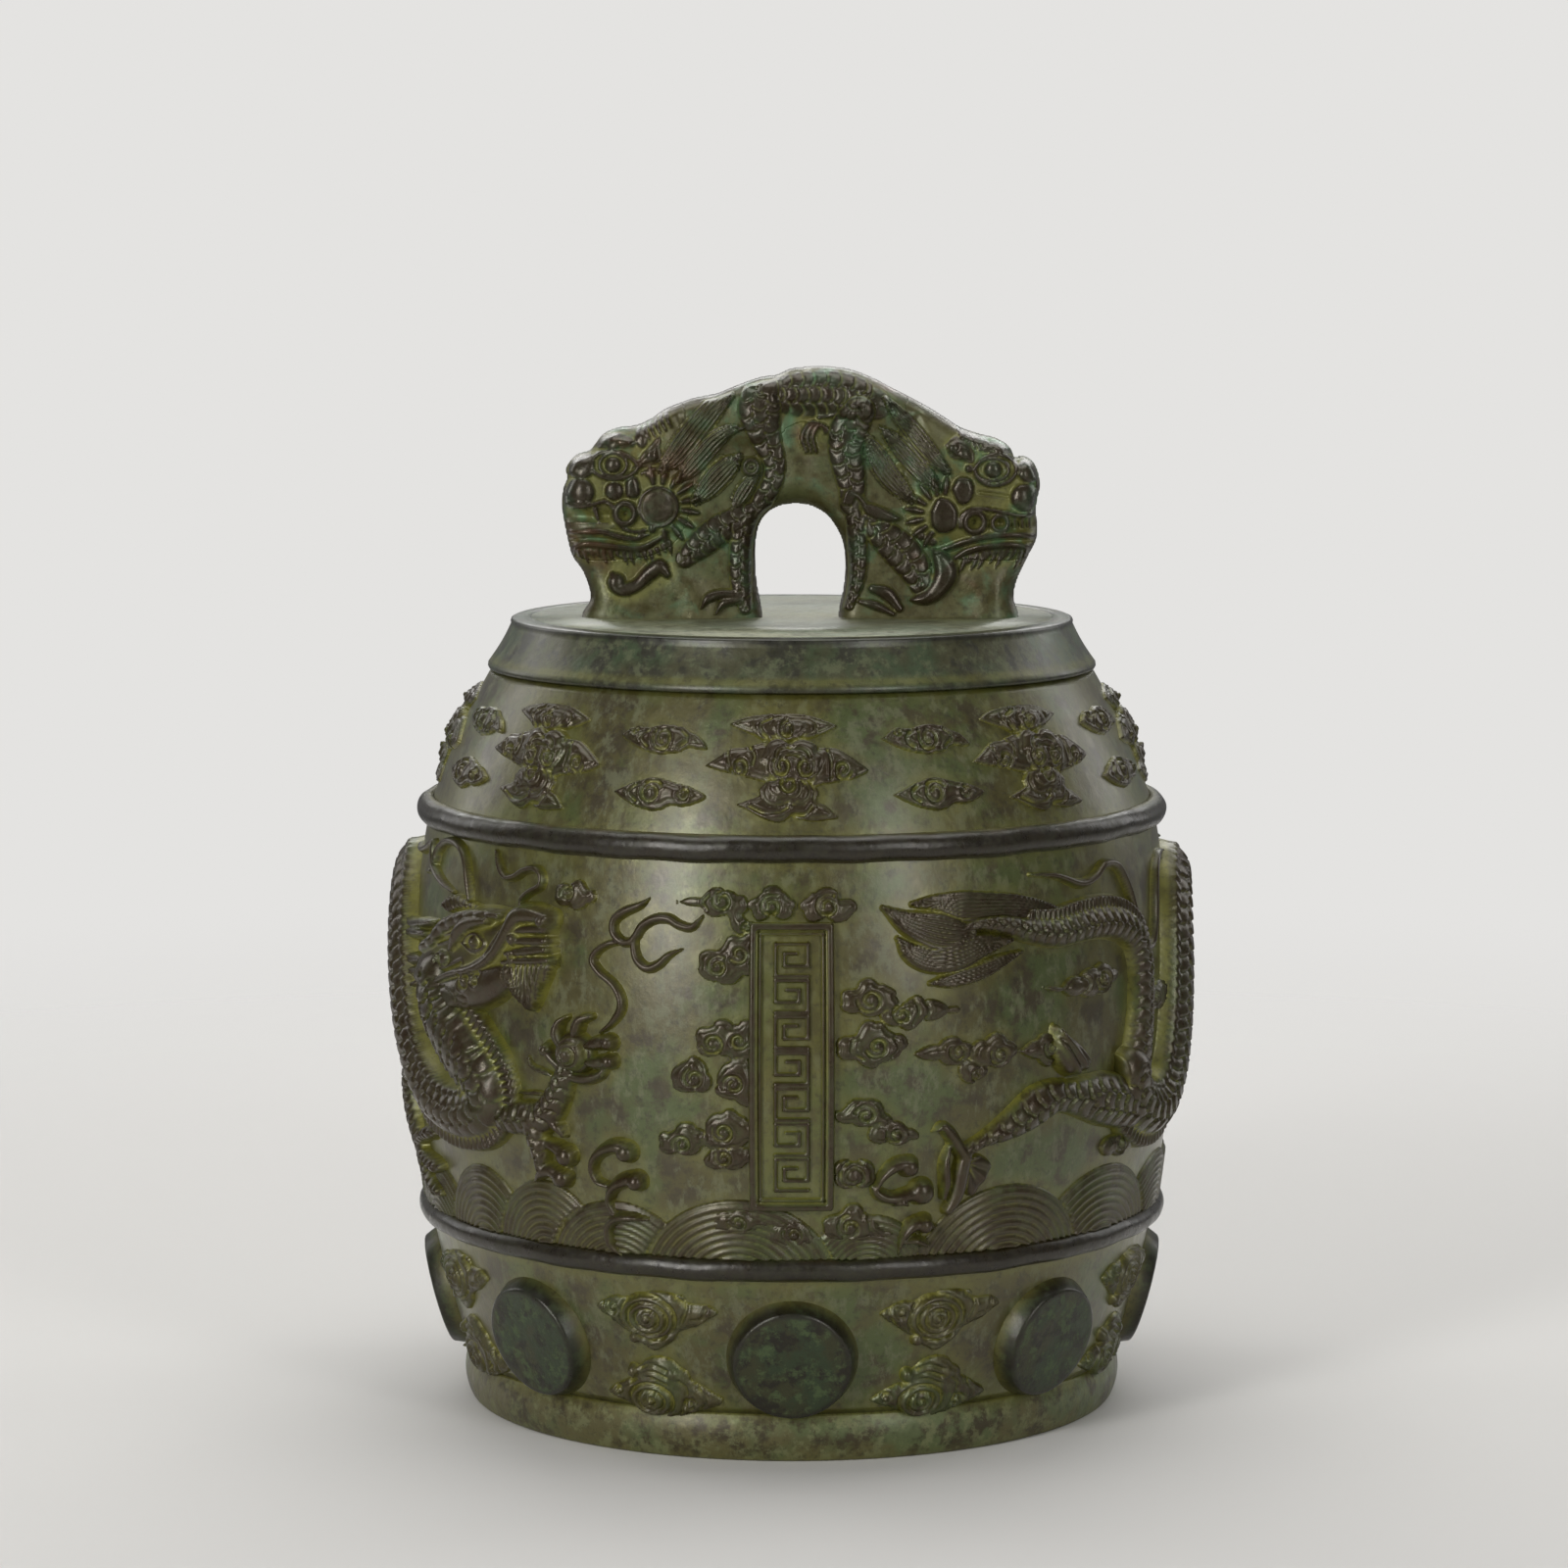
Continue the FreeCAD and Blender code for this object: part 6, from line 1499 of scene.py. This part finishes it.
def drawLeftHead(skin):
    # brow, eye and temple
    almond = [(-60.4, 281), (-57.4, 284), (-52.6, 284.8), (-48, 283), (-45.6, 280.2), (-48.6, 277.4),
              (-53.6, 276.6), (-58, 278.2)]
    stroke(skin, [(x, z, 0.75) for x, z in almond + almond[:1]], 1.5, 0.2)
    ring(skin, -53, 280.8, 4.1, 3.3, 0.6, 1.3, 0.2)
    disc(skin, -53, 280.8, 2.6, 1.9, 0.2)
    pillow(skin, [(-59.4, 286.2), (-57, 289), (-52.4, 290), (-47.6, 288.8), (-46.6, 286.6), (-50.2, 285.6),
                  (-55.6, 285.4)], 1.7, 1.8, 0.2, rim=0.7)
    disc(skin, -53.2, 287.3, 2, 1, 1.3)
    pillow(skin, [(-46.8, 287.6), (-46, 291), (-43, 290.6), (-42.8, 287), (-44.6, 285.6)], 1, 1.8)
    for k in range(6):  # wrinkles over the crest
        x, z = -45.4 + 1.6 * k, 292.2 + 0.86 * k
        stroke(skin, [(x, z, 0.72), (x + 0.5, z - 2.3, 0.72), (x + 1.6, z - 4.6, 0.35)], 1.3, 0.1)
    pillow(skin, [(-47.6, 279.6), (-45, 283.2), (-42.4, 286.2), (-39.2, 289.2), (-38.9, 285.4),
                  (-38.6, 282.2),
                  (-41.6, 280.6), (-44.6, 279.8)], 1.5, 1.4, 0.1, rim=0.8)
    disc(skin, -41.6, 283.3, 1.7, 1, 1.2)
    disc(skin, -45.4, 281, 1.3, 0.9, 0.8)
    # muzzle
    pillow(skin, [(-66.6, 277.8), (-66, 281), (-63, 283.6), (-59.4, 283.8), (-58.2, 280.8), (-59.4, 277.6),
                  (-62.6, 276.2)], 1.7, 2.8, 0.1)
    disc(skin, -62.8, 272.6, 4.5, 2.6, 0)
    stroke(skin, [(-67.2, 276.6, .6), (-68, 273.2, .85), (-66.8, 269.6, .85), (-63, 268.2, .8),
                  (-59, 269.1, .75),
                  (-55.4, 269.9, .75), (-53.2, 268.2, .75), (-52.3, 265, .75), (-50, 262, .75),
                  (-46.6, 260.9, .75),
                  (-43.6, 261.4, .6)], 1.5, 0.1)
    disc(skin, -52.6, 273, 3, 1.7, 0.1)
    pillow(skin, [(-49.4, 271.2), (-49.6, 275.4), (-47.4, 277.6), (-45.4, 276.2), (-44.9, 272), (-47, 270.6)],
           1.8, 1.8, 0.1)
    # mouth: the dark gap, fang, lips and jaw
    engrave(skin, [(-66, 265.8), (-60, 265.4), (-54.6, 265.6)], 1.5, 2)
    stroke(skin, [(-58.4, 267.8, 1), (-57.8, 265.6, .8), (-57, 263.4, .3)], 1.8, -0.6)
    stroke(skin, [(-66.9, 263.4, .4), (-61, 263.4, .45), (-54.6, 263.2, .4)], 0.7, -0.2)
    ring(skin, -49.5, 266.3, 2.9, 3.1, 1.15, 1.9, 0.1)
    engrave(skin, [(-49.6, 266.2), (-49.3, 266.4)], 1.6, 1.3)
    stroke(skin, [(-67.4, 260.6, .7), (-62, 260.9, .95), (-56, 260.8, 1), (-51, 259.4, 1.1),
                  (-46.4, 258.8, 1),
                  (-42.8, 260, .5)], 1.6, 0.1)
    engrave(skin, [(-66.2, 258), (-61, 258.8), (-55, 258.6), (-50, 257.6), (-45, 257)], 0.8, 0.5)
    stroke(skin, [(-65.2, 253.4, .6), (-64.6, 256, .95), (-61, 257, 1.2), (-56, 256.6, 1.3),
                  (-50, 255.8, 1.3),
                  (-44.6, 255.8, 1.3), (-40, 258.2, .9), (-37, 260.6, .4)], 1.5, 0.1)
    fringe(skin, [(-63.4, 255), (-56, 254.8), (-48, 254.2), (-42, 254.8), (-36.6, 257.6)], 1.75, 3, 0.9)
    # cheek
    disc(skin, -39.6, 268.2, 6, 0.7, 0.1, top=plateTop)
    ring(skin, -39.6, 268.2, 5.7, 5.7, 0.5, 0.5, 0.5)
    leafBars(skin, -39.6, 268.2, 7.4, 11.8, (-78, -54, -31, -9, 12, 34, 57, 80, 102), 1.25, 1.6)
    for x, z in ((-42.4, 278.2), (-44.6, 260), (-41.4, 261.6)):
        disc(skin, x, z, 1.3, 1.2, 0.1)
    stroke(skin, [(-44.4, 278.2, .5), (-41, 279.6, .6), (-37, 278.6, .4)], 0.8, 0.1)


def drawRightHead(skin):
    almond = [(54, 279.4), (56.6, 282.6), (61, 283.8), (65.2, 282.4), (66.6, 279.4), (64.4, 276),
              (59.6, 274.6),
              (55.6, 276.4)]
    stroke(skin, [(x, z, 0.75) for x, z in almond + almond[:1]], 1.5, 0.2)
    ring(skin, 59.4, 279.3, 4.9, 3.3, 0.6, 1.3, 0.2)
    disc(skin, 59.6, 279.3, 2.7, 1.9, 0.2)
    pillow(skin, [(55.8, 284.8), (57, 287.2), (61.4, 287.8), (65.4, 285.4), (66.4, 283.6), (62, 284.4),
                  (58, 284.4)], 1.7, 1.6, 0.2, rim=0.7)
    disc(skin, 61.6, 285.8, 1.9, 1, 1.2)
    for k in range(6):
        x, z = 49.6 + 1.5 * k, 291.2 - 0.5 * k
        stroke(skin, [(x, z, 0.72), (x + 0.9, z - 2.2, 0.72), (x + 1.6, z - 4.4, 0.35)], 1.3, 0.1)
    pillow(skin, [(45.4, 286.6), (48, 289), (52, 288), (54, 284.4), (53.6, 281.2), (50, 282), (47, 283)],
           1.5, 1.6, 0.1, rim=0.8)
    disc(skin, 48, 285.8, 1.6, 1.1, 1.1)
    disc(skin, 51, 284, 1.7, 1, 1.1)
    # muzzle
    pillow(skin, [(66.9, 277.6), (67.4, 281), (69.4, 282.4), (72, 280.8), (73.2, 277), (71.6, 275.4),
                  (68.6, 275.6)],
           1.8, 2.4, 0.1)
    disc(skin, 69, 271, 4.3, 2.6, 0)
    stroke(skin, [(72.9, 276.2, .5), (73.4, 272, .8), (72.8, 267.6, .85), (69, 265.7, .8), (63.4, 266.5, .75),
                  (57.6, 267.7, .75), (53.2, 267.6, .75), (50.4, 265.6, .75), (49.9, 262.4, .6)], 1.5, 0.1)
    pillow(skin, [(47, 273.6), (49.4, 277), (53, 276.6), (54.2, 273), (52.4, 269.4), (49.4, 269.2)], 1.8, 2,
           0.1)
    engrave(skin, [(55.6, 272.6), (60, 272), (64, 271.4)], 0.7, 0.5)
    # mouth
    engrave(skin, [(72, 262.6), (67, 262.8), (58.6, 263.6)], 1.5, 2)
    ring(skin, 54.2, 263.7, 2.9, 3, 1.15, 1.9, 0.1)
    engrave(skin, [(54.1, 263.6), (54.4, 263.8)], 1.6, 1.3)
    ring(skin, 61.8, 263.4, 2.3, 2.3, 0.85, 1.7, -0.2)
    for k in range(3):
        stroke(skin, [(66 + 2.2 * k, 265.2, .85), (66.2 + 2.2 * k, 262.6, .6)], 1.5, -0.8)
    stroke(skin, [(72.5, 259.4, .8), (66, 260, 1), (58, 259.4, 1.05), (52, 258, 1.1), (47, 256.2, 1),
                  (42.6, 254.8, .6)], 1.6, 0.1)
    engrave(skin, [(71.4, 257.8), (66, 258.2), (58, 257.6), (52, 256.2), (47.4, 254.4)], 0.8, 0.5)
    stroke(skin, [(71.6, 254.4, .6), (70, 256, 1), (64, 256.7, 1.3), (57, 256, 1.3), (51.6, 254.6, 1.2),
                  (48, 252.6, .8)], 1.5, 0.1)
    fringe(skin, [(70, 254.6), (64, 255), (57, 254.2), (51.4, 252.4)], 1.75, 4.2, -1.6)
    # cheek
    pillow(skin, [(41, 267), (43.4, 271), (47.2, 270.2), (49.4, 266.6), (48.6, 262), (44.4, 260.2),
                  (41.4, 262.6)],
           1.5, 1.6, 0.1)
    leafBars(skin, 44.8, 266, 6.4, 10.8, (84, 106, 128, 150, 172, 194, 216, 240), 1.25, 1.6)
    for x, z in ((41.8, 257.6), (38.4, 259.4), (52.6, 279.6)):
        disc(skin, x, z, 1.3, 1.2, 0.1)


def drawLoopBody(skin):
    # scales over the back, the ridge under them, the paw that grips it, and the foot
    stroke(skin, [(-4, 301.6, 5.4), (3, 301.4, 6.8), (10, 301.6, 7.2), (17, 300.8, 6.8), (25, 298.4, 4.6)],
           1.3, 0.1, scales(3.6, 4.4, 0.9), softTop)
    stroke(skin, [(8, 294.6, .55), (13, 295.6, .6), (18, 298, .65), (22.6, 299.8, .6), (27.6, 300.4, .5)],
           1.3, 0.2)
    for k in range(3):
        stroke(skin, [(4.2 + 1.5 * k, 284.6, .5), (3.0 + 1.6 * k, 289, .75),
                      (5.2 + 1.5 * k, 292.8 - .2 * k, .8),
                      (8.6 + 1.2 * k, 292.6 - .9 * k, .6), (9.8 + 1.2 * k, 290 - .9 * k, .3)], 1.7, 0.2)
    stroke(skin, [(-53.4, 248, 1), (-52.8, 245.2, 2.1), (-50, 243.6, 2.2), (-46.2, 244.9, 2),
                  (-42.6, 248.2, 2.4), (-39.4, 250.2, 2.6), (-37.2, 248.2, 1.3)], 2.6, 0.1)
    disc(skin, -52.2, 246, 2.4, 1.6, 1.2)


loopLocks = {  # rows, count of strands, rise
    "left": [
        ([(-38.6, 279.4, 1.6), (-35.4, 282.6, 3.6), (-31.4, 287.6, 4.4), (-27.2, 293, 4.3),
          (-22.6, 298.2, 3.6),
          (-18.4, 301.2, 1.6)], 7, 2.3),
        ([(-33.6, 276, 1.2), (-30.6, 279.4, 3.2), (-27, 283.6, 3.7), (-22.8, 288, 3.4), (-18.4, 291, 2.2),
          (-14.6, 291.6, .8)], 6, 2.5),
        ([(-28.4, 270, 1.8), (-25.6, 273.2, 3.6), (-22.2, 277, 4.2), (-18.8, 280.4, 3.6), (-15.8, 283, 1.6)],
         7, 2.1),
        ([(-17.8, 266.4, .8), (-15.8, 270.4, 2.5), (-13.6, 274, 2.8), (-11, 277.6, 1.8)], 5, 2),
    ],
    "right": [
        ([(27.4, 300.6, .8), (31.6, 295.6, 2.5), (36.4, 289.8, 3.2), (41.2, 283.9, 2.8), (46, 278.8, 1.5)], 6,
         2.3),
        ([(26.4, 291.8, .9), (30.8, 287.4, 3.2), (35.1, 282.6, 3.8), (39, 278.2, 3.3), (42.8, 274.4, 1.8)], 7,
         2.4),
        ([(21.8, 289.8, 1), (24.8, 284.2, 3.5), (28, 278.8, 4), (31.6, 274.4, 3.4), (35.4, 270.4, 1.8)], 7,
         2.2),
    ],
}


def drawLeftLegs(canvas):
    # the shoulder comes down from the crest, then parts into a forearm and a leg beside the arch
    for rows, rise, length, width in (
            ([(-9, 303.2, 5.2), (-9.6, 297.6, 6.6), (-8.6, 291.6, 5.4), (-7, 286.4, 4.4), (-5.2, 281.4, 3.5),
              (-5.8, 275.6, 3.2), (-9, 269.6, 3.4)], 2.8, 4, 4.4),
            ([(-9.8, 267.2, 3.2), (-15.8, 264.3, 4.2), (-21.7, 261.2, 4.7), (-27, 257.1, 4.4),
              (-31.8, 252.8, 3)], 2.8, 3.8, 4.2),
            ([(-12.9, 265.4, 3), (-14.5, 260, 3.6), (-15, 254, 3.8), (-15.2, 248, 3.5), (-14.8, 242.6, 3),
              (-13.8, 238, 2.2)], 2.5, 3.8, 4.2)):
        stroke(canvas, rows, rise, 0, scales(length, width, 0.9))
    for reach, z, half in ((-27, 238, 1.7), (-22.6, 236.4, 1.5)):
        stroke(canvas, [(reach, z, .5), (reach + 2.2, z + 3, half), (reach + 6.4, z + 4.2, half),
                        (-14.6, 241.6, half)], 2.6, 0)
    ring(canvas, -12.1, 280, 2, 2.1, 0.85, 2.4, 0.8)
    disc(canvas, -12.1, 280, 1.1, 2, 0.8)


def drawRightLegs(canvas):
    for rows, rise, length, width, depth in (
            ([(19.8, 296.4, 5), (16.8, 290.8, 5.8), (15.8, 284.8, 5.2), (17, 279, 4.9), (17.8, 273.8, 4.2),
              (17.4, 268.6, 3.4)], 2.8, 4, 4.4, 0.9),
            ([(18.4, 266, 2.8), (19.3, 260, 3.1), (19.5, 254, 3.2), (19.1, 248, 3), (17.9, 243, 2.6),
              (16.6, 238.8, 1.8)], 2.5, 3.6, 4, 0.85),
            ([(22.6, 264, 3.2), (27.4, 259.6, 4.9), (32.2, 255.2, 5.6), (36.2, 250.4, 5.2),
              (38.6, 245.4, 4)], 2.8, 4, 4.6, 0.9)):
        stroke(canvas, rows, rise, 0, scales(length, width, depth))
    for k in range(3):
        stroke(canvas, [(15.4 + k, 269.4, .7), (16.8 + k, 272.6 - .4 * k, .9),
                        (20 + .8 * k, 271.4 - 1.1 * k, .6)],
               1.8, 1.8)
    pillow(canvas, [(19.8, 269.6), (25.6, 268.6), (32.4, 265), (28.4, 263.6), (22.6, 265.4)], 2.2, 1.4, 1)
    pillow(canvas, [(40.8, 256.4), (46, 254.6), (49.2, 250.4), (48.6, 245.4), (44.6, 240.8), (39.4, 238.8),
                    (34.8, 240.6), (39.4, 243.8), (41.8, 248), (41.6, 252.4)], 3, 3.2, 0.4)
    for rows in ([(24, 243.8, 1.5), (28.4, 242.2, 2.3), (32, 238, 1.4)],
                 [(20.4, 240, 1), (25, 238.8, 1.6), (30, 236.4, .9)]):
        stroke(canvas, rows, 2.1, 0)


def loopPlace(x, z, depth):
    return np.stack([x, -depth, z], axis=-1) * mm


def loopCanvas():
    return newCanvas(-70.5, 75.5, loop["foot"], 310.4, loop["step"])


def loopForm():
    # half the loop's thickness everywhere, and how far each place lies within the outline
    form = loopCanvas()
    edge, deep = loop["edge"], loop["head"] - loop["edge"]
    pillow(form, loop["outline"], loop["bed"] - edge, 6.5, edge)
    outline = closedCurve(loop["outline"], 0.25)
    gx, gz = gridOf(form, 0, form["lift"].shape[1], 0, form["lift"].shape[0])
    inside = within(outline, gx, gz)
    lift = form["lift"]
    for name, level in (("leftHead", deep), ("rightHead", deep), ("backMass", loop["back"] - edge)):
        mass = loopCanvas()
        pillow(mass, loop[name], level, 10.0, edge)
        lift = np.maximum(lift, mass["lift"])
    found = measure(form, outline, 12)
    far = np.full(lift.shape, 12.0)
    far[found[0]] = np.minimum(found[1], 12)
    turnOver = 1 - np.clip(far / loop["turnOver"], 0, 1)  # every mass turns over towards the outline
    most = edge + (loop["head"] + 1 - edge) * np.sqrt(np.clip(1 - turnOver ** 2, 0, 1))
    lift = np.where(inside, np.minimum(lift, most), edge - 0.4)
    soft = loopCanvas()  # low swellings of the plain ground
    for rows in ([(-34, 249, 4), (-30, 244, 5), (-28, 239, 4)],
                 [(-58, 242, 4), (-50, 239.4, 5), (-41, 240, 4)],
                 [(54, 247, 4), (60, 243, 6), (58, 237, 5)], [(-2, 291, 4), (1, 283, 6), (2, 274, 4)]):
        stroke(soft, rows, 1.5, 0.0, top=softTop)
    lift = blurred(lift, 0.9 / loop["step"]) + blurred(np.maximum(soft["lift"], 0),
                                                       2.5 / loop["step"]) * inside
    lift = lift + 1.6 * np.exp(-(gz - loop["foot"]) / 2.4)
    near = ~inside & (far < 1.5 * loop["step"])
    pull = np.zeros((2,) + lift.shape)
    spots = np.stack([gx[near], gz[near]], axis=1)
    nearest = np.array([outline[((outline[:, :2] - spot) ** 2).sum(axis=1).argmin(), :2] for spot in spots])
    pull[0][near], pull[1][near] = (nearest - spots).T
    pull[1] = np.where(gz < loop["foot"] + 1, 0, pull[1])
    return lift, np.where(inside, far, 0), pull, gx, gz


def makeLoop():
    form, depth, pull, gx, gz = loopForm()
    skin = loopCanvas()
    skin["lift"] = np.zeros_like(skin["lift"])
    drawLoopBody(skin)
    drawLeftHead(skin)
    drawRightHead(skin)
    fade = np.clip(depth / 1.6, 0, 1)
    skin["lift"] = skin["lift"] * fade
    surface = form + skin["lift"]
    middleX, middleZ = gx[:-1, :-1] + loop["step"] / 2, gz[:-1, :-1] + loop["step"] / 2
    solid = within(closedCurve(loop["outline"], 0.25), middleX, middleZ)
    areas = {name: solid & within(closedCurve(loop[name]), middleX, middleZ)
             for name in ("leftHead", "rightHead", "backMass")}
    areas["backMass"] &= ~areas["leftHead"] & ~areas["rightHead"]
    areas["plinth"] = solid & ~areas["leftHead"] & ~areas["rightHead"] & ~areas["backMass"]
    for area, name, node in (
            ("leftHead", "loopHeadLeft", "loop_left_head"), ("backMass", "loopBack", "loop_back"),
            ("rightHead", "loopHeadRight", "loop_right_head"), ("plinth", "loopPlinth", "loop_plinth")):
        canvas = dict(skin, bed=form, cells=areas[area], bothFaces=True, pull=pull, residue=0.4, wear=0.65,
                      wearBed=0.15 + 0.8 * np.exp(-depth / 1.6))
        dress(joined([reliefMesh("face", canvas, loopPlace, -9)], name), name, "loop", node)
    for side, draw in (("left", drawLeftLegs), ("right", drawRightLegs)):
        for part, node in (("Mane", "mane"), ("Legs", "forelegs")):
            canvas = loopCanvas()
            if part == "Legs":
                draw(canvas)
            else:
                for rows, count, rise in loopLocks[side]:
                    stroke(canvas, rows, rise, 0.0, ribsAlong(count, 1.5), softTop)
            canvas["lift"] = np.minimum(canvas["lift"], depth * 2.4 - 1.6)
            canvas = dict(canvas, bed=surface, wear=0.7, residue=0.5)
            mesh = reliefMesh("face", canvas, loopPlace)
            turned = mesh.copy()
            turned.transform(Matrix.Scale(-1, 4, (0, 1, 0)))
            turned.flip_normals()
            label = "loop" + part + side.capitalize()
            dress(joined([mesh, turned], label), label, "loop", f"loop_{side}_{node}")


wallPiece = makeWall()
makeRings()
makeRim()
makeCollar()
makeBosses()
say("turned body made")

def bothSides(front, back):
    return [(0, front), (180, back)]


relief("shoulderCloud", drawCluster(), [(turn, f"shoulder_cloud_{k + 1}") for k, turn in enumerate(octants)],
       0.7)
relief("shoulderSmallClouds", drawSmallClouds(), [(0, "shoulder_small_clouds")], 0.6, 0.5, octants)
relief("baseClouds", drawBaseClouds(), [(0, "base_clouds")], 0.25, 0.8, octants)
for name, node, draw, wear, residue in (
        ("seaWaves", "wave_band", drawWaves, 0.38, 0.1),
        ("cartoucheFrame", "cartouche_frame", drawFrame, 0.9, 0.7),
        ("cartoucheFrets", "cartouche_field", drawFrets, 0.8, 0.7),
        ("zoneClouds", "cartouche_clouds", drawMainClouds, 0.58, 0.35),
        ("seaSpray", "sea_spray", drawSprays, 1.0, 0.6)):
    relief(name, draw(), bothSides(node + "_front", node + "_back"), wear, residue)
for name, part, draw in (
        ("dragonBody", "body", drawBody), ("dragonTail", "tail", drawTail),
        ("dragonFins", "tail_fin", drawFins),
        ("dragonHead", "head", drawHead), ("dragonForelegs", "forelegs", drawForelegs),
        ("dragonPearl", "pearl", drawPearl), ("dragonHindlegs", "hindlegs", drawHindleg),
        ("dragonWhiskers", "whiskers", drawWhiskers), ("dragonFlame", "flame", drawFlame)):
    relief(name, draw(), bothSides("left_dragon_" + part, "right_dragon_" + part), 0.85, 0.8)
say("relief made")
finishWall(wallPiece)

makeLoop()
say("loop made")


# Floor, light and camera

stage = {
    "floor": "#d9d7d3", "clearFrom": 0.3, "clearTo": 1.1,  # the floor fades out over these metres
    "backdrop": "#e4e3e1", "air": "#f4f5f7", "airStrength": 0.16, "aim": (0, 0, 0.15),
    "lens": 117.07, "sensor": 36.0, "camera": (-0.00234, -1.5249, 0.358), "down": 6.505,
    "lights": [  # place in metres, size, watts
        ("softLeft", (-0.86, -1.22, 0.62), (0.3, 1.00), 12.2),
        ("softRight", (0.84, -1.3, 0.62), (0.26, 1.00), 6.3),
        ("softTop", (0.0, 0.15, 1.35), (1.2, 0.8), 7.5),
        ("softBack", (0.0, 1.15, 0.95), (1.5, 0.5), 8.0),
        ("rimLeft", (-1.2, 0.75, 0.75), (0.5, 1.0), 3.0),
        ("rimRight", (1.2, 0.75, 0.75), (0.5, 1.0), 3.0),
    ],
}


def makeStage():
    bm = bmesh.new()
    bmesh.ops.create_grid(bm, x_segments=2, y_segments=2, size=6)
    floor = addObject("floor", meshOf(bm, "floor"))
    material, tree = newMaterial("paleFloorPaint")
    surface = put(tree, "ShaderNodeBsdfPrincipled", {"Base Color": colour(stage["floor"]), "Roughness": 0.8})
    spot = put(tree, "ShaderNodeTexCoord").outputs["Object"]
    reach = put(tree, "ShaderNodeVectorMath", {0: spot}, operation="LENGTH").outputs["Value"]
    clear = put(tree, "ShaderNodeMapRange", {
        "Value": reach, "From Min": stage["clearFrom"], "From Max": stage["clearTo"]},
        interpolation_type="SMOOTHSTEP").outputs["Result"]
    gone = put(tree, "ShaderNodeBsdfTransparent")
    faded = put(tree, "ShaderNodeMixShader", {0: clear, 1: surface.outputs["BSDF"], 2: gone.outputs[0]})
    put(tree, "ShaderNodeOutputMaterial", {"Surface": faded.outputs[0]})
    floor.data.materials.append(material)

    world = bpy.data.worlds.new("studio")
    world.use_nodes = True
    world.node_tree.nodes.clear()
    tree = world.node_tree
    path = put(tree, "ShaderNodeLightPath")
    backdrop = put(tree, "ShaderNodeBackground", {"Color": colour(stage["backdrop"]), "Strength": 1.0})
    air = put(tree, "ShaderNodeBackground", {"Color": colour(stage["air"]), "Strength": stage["airStrength"]})
    either = put(tree, "ShaderNodeMixShader",
                 {0: path.outputs["Is Camera Ray"], 1: air.outputs[0], 2: backdrop.outputs[0]})
    put(tree, "ShaderNodeOutputWorld", {"Surface": either.outputs[0]})
    bpy.context.scene.world = world

    for name, place, size, watts in stage["lights"]:
        lamp = bpy.data.lights.new(name, "AREA")
        lamp.shape = "RECTANGLE"
        lamp.size, lamp.size_y = size
        lamp.energy = watts
        light = addObject(name, lamp)
        light.location = place
        toward = Vector(stage["aim"]) - Vector(place)
        light.rotation_euler = toward.to_track_quat("-Z", "Y").to_euler()

    lens = bpy.data.cameras.new("camera")
    lens.lens, lens.sensor_width = stage["lens"], stage["sensor"]
    camera = addObject("camera", lens)
    camera.location = stage["camera"]
    camera.rotation_euler = (math.radians(90 - stage["down"]), 0, 0)
    bpy.context.scene.camera = camera
    bpy.context.scene.view_settings.view_transform = "Standard"


makeStage()
say("stage set")
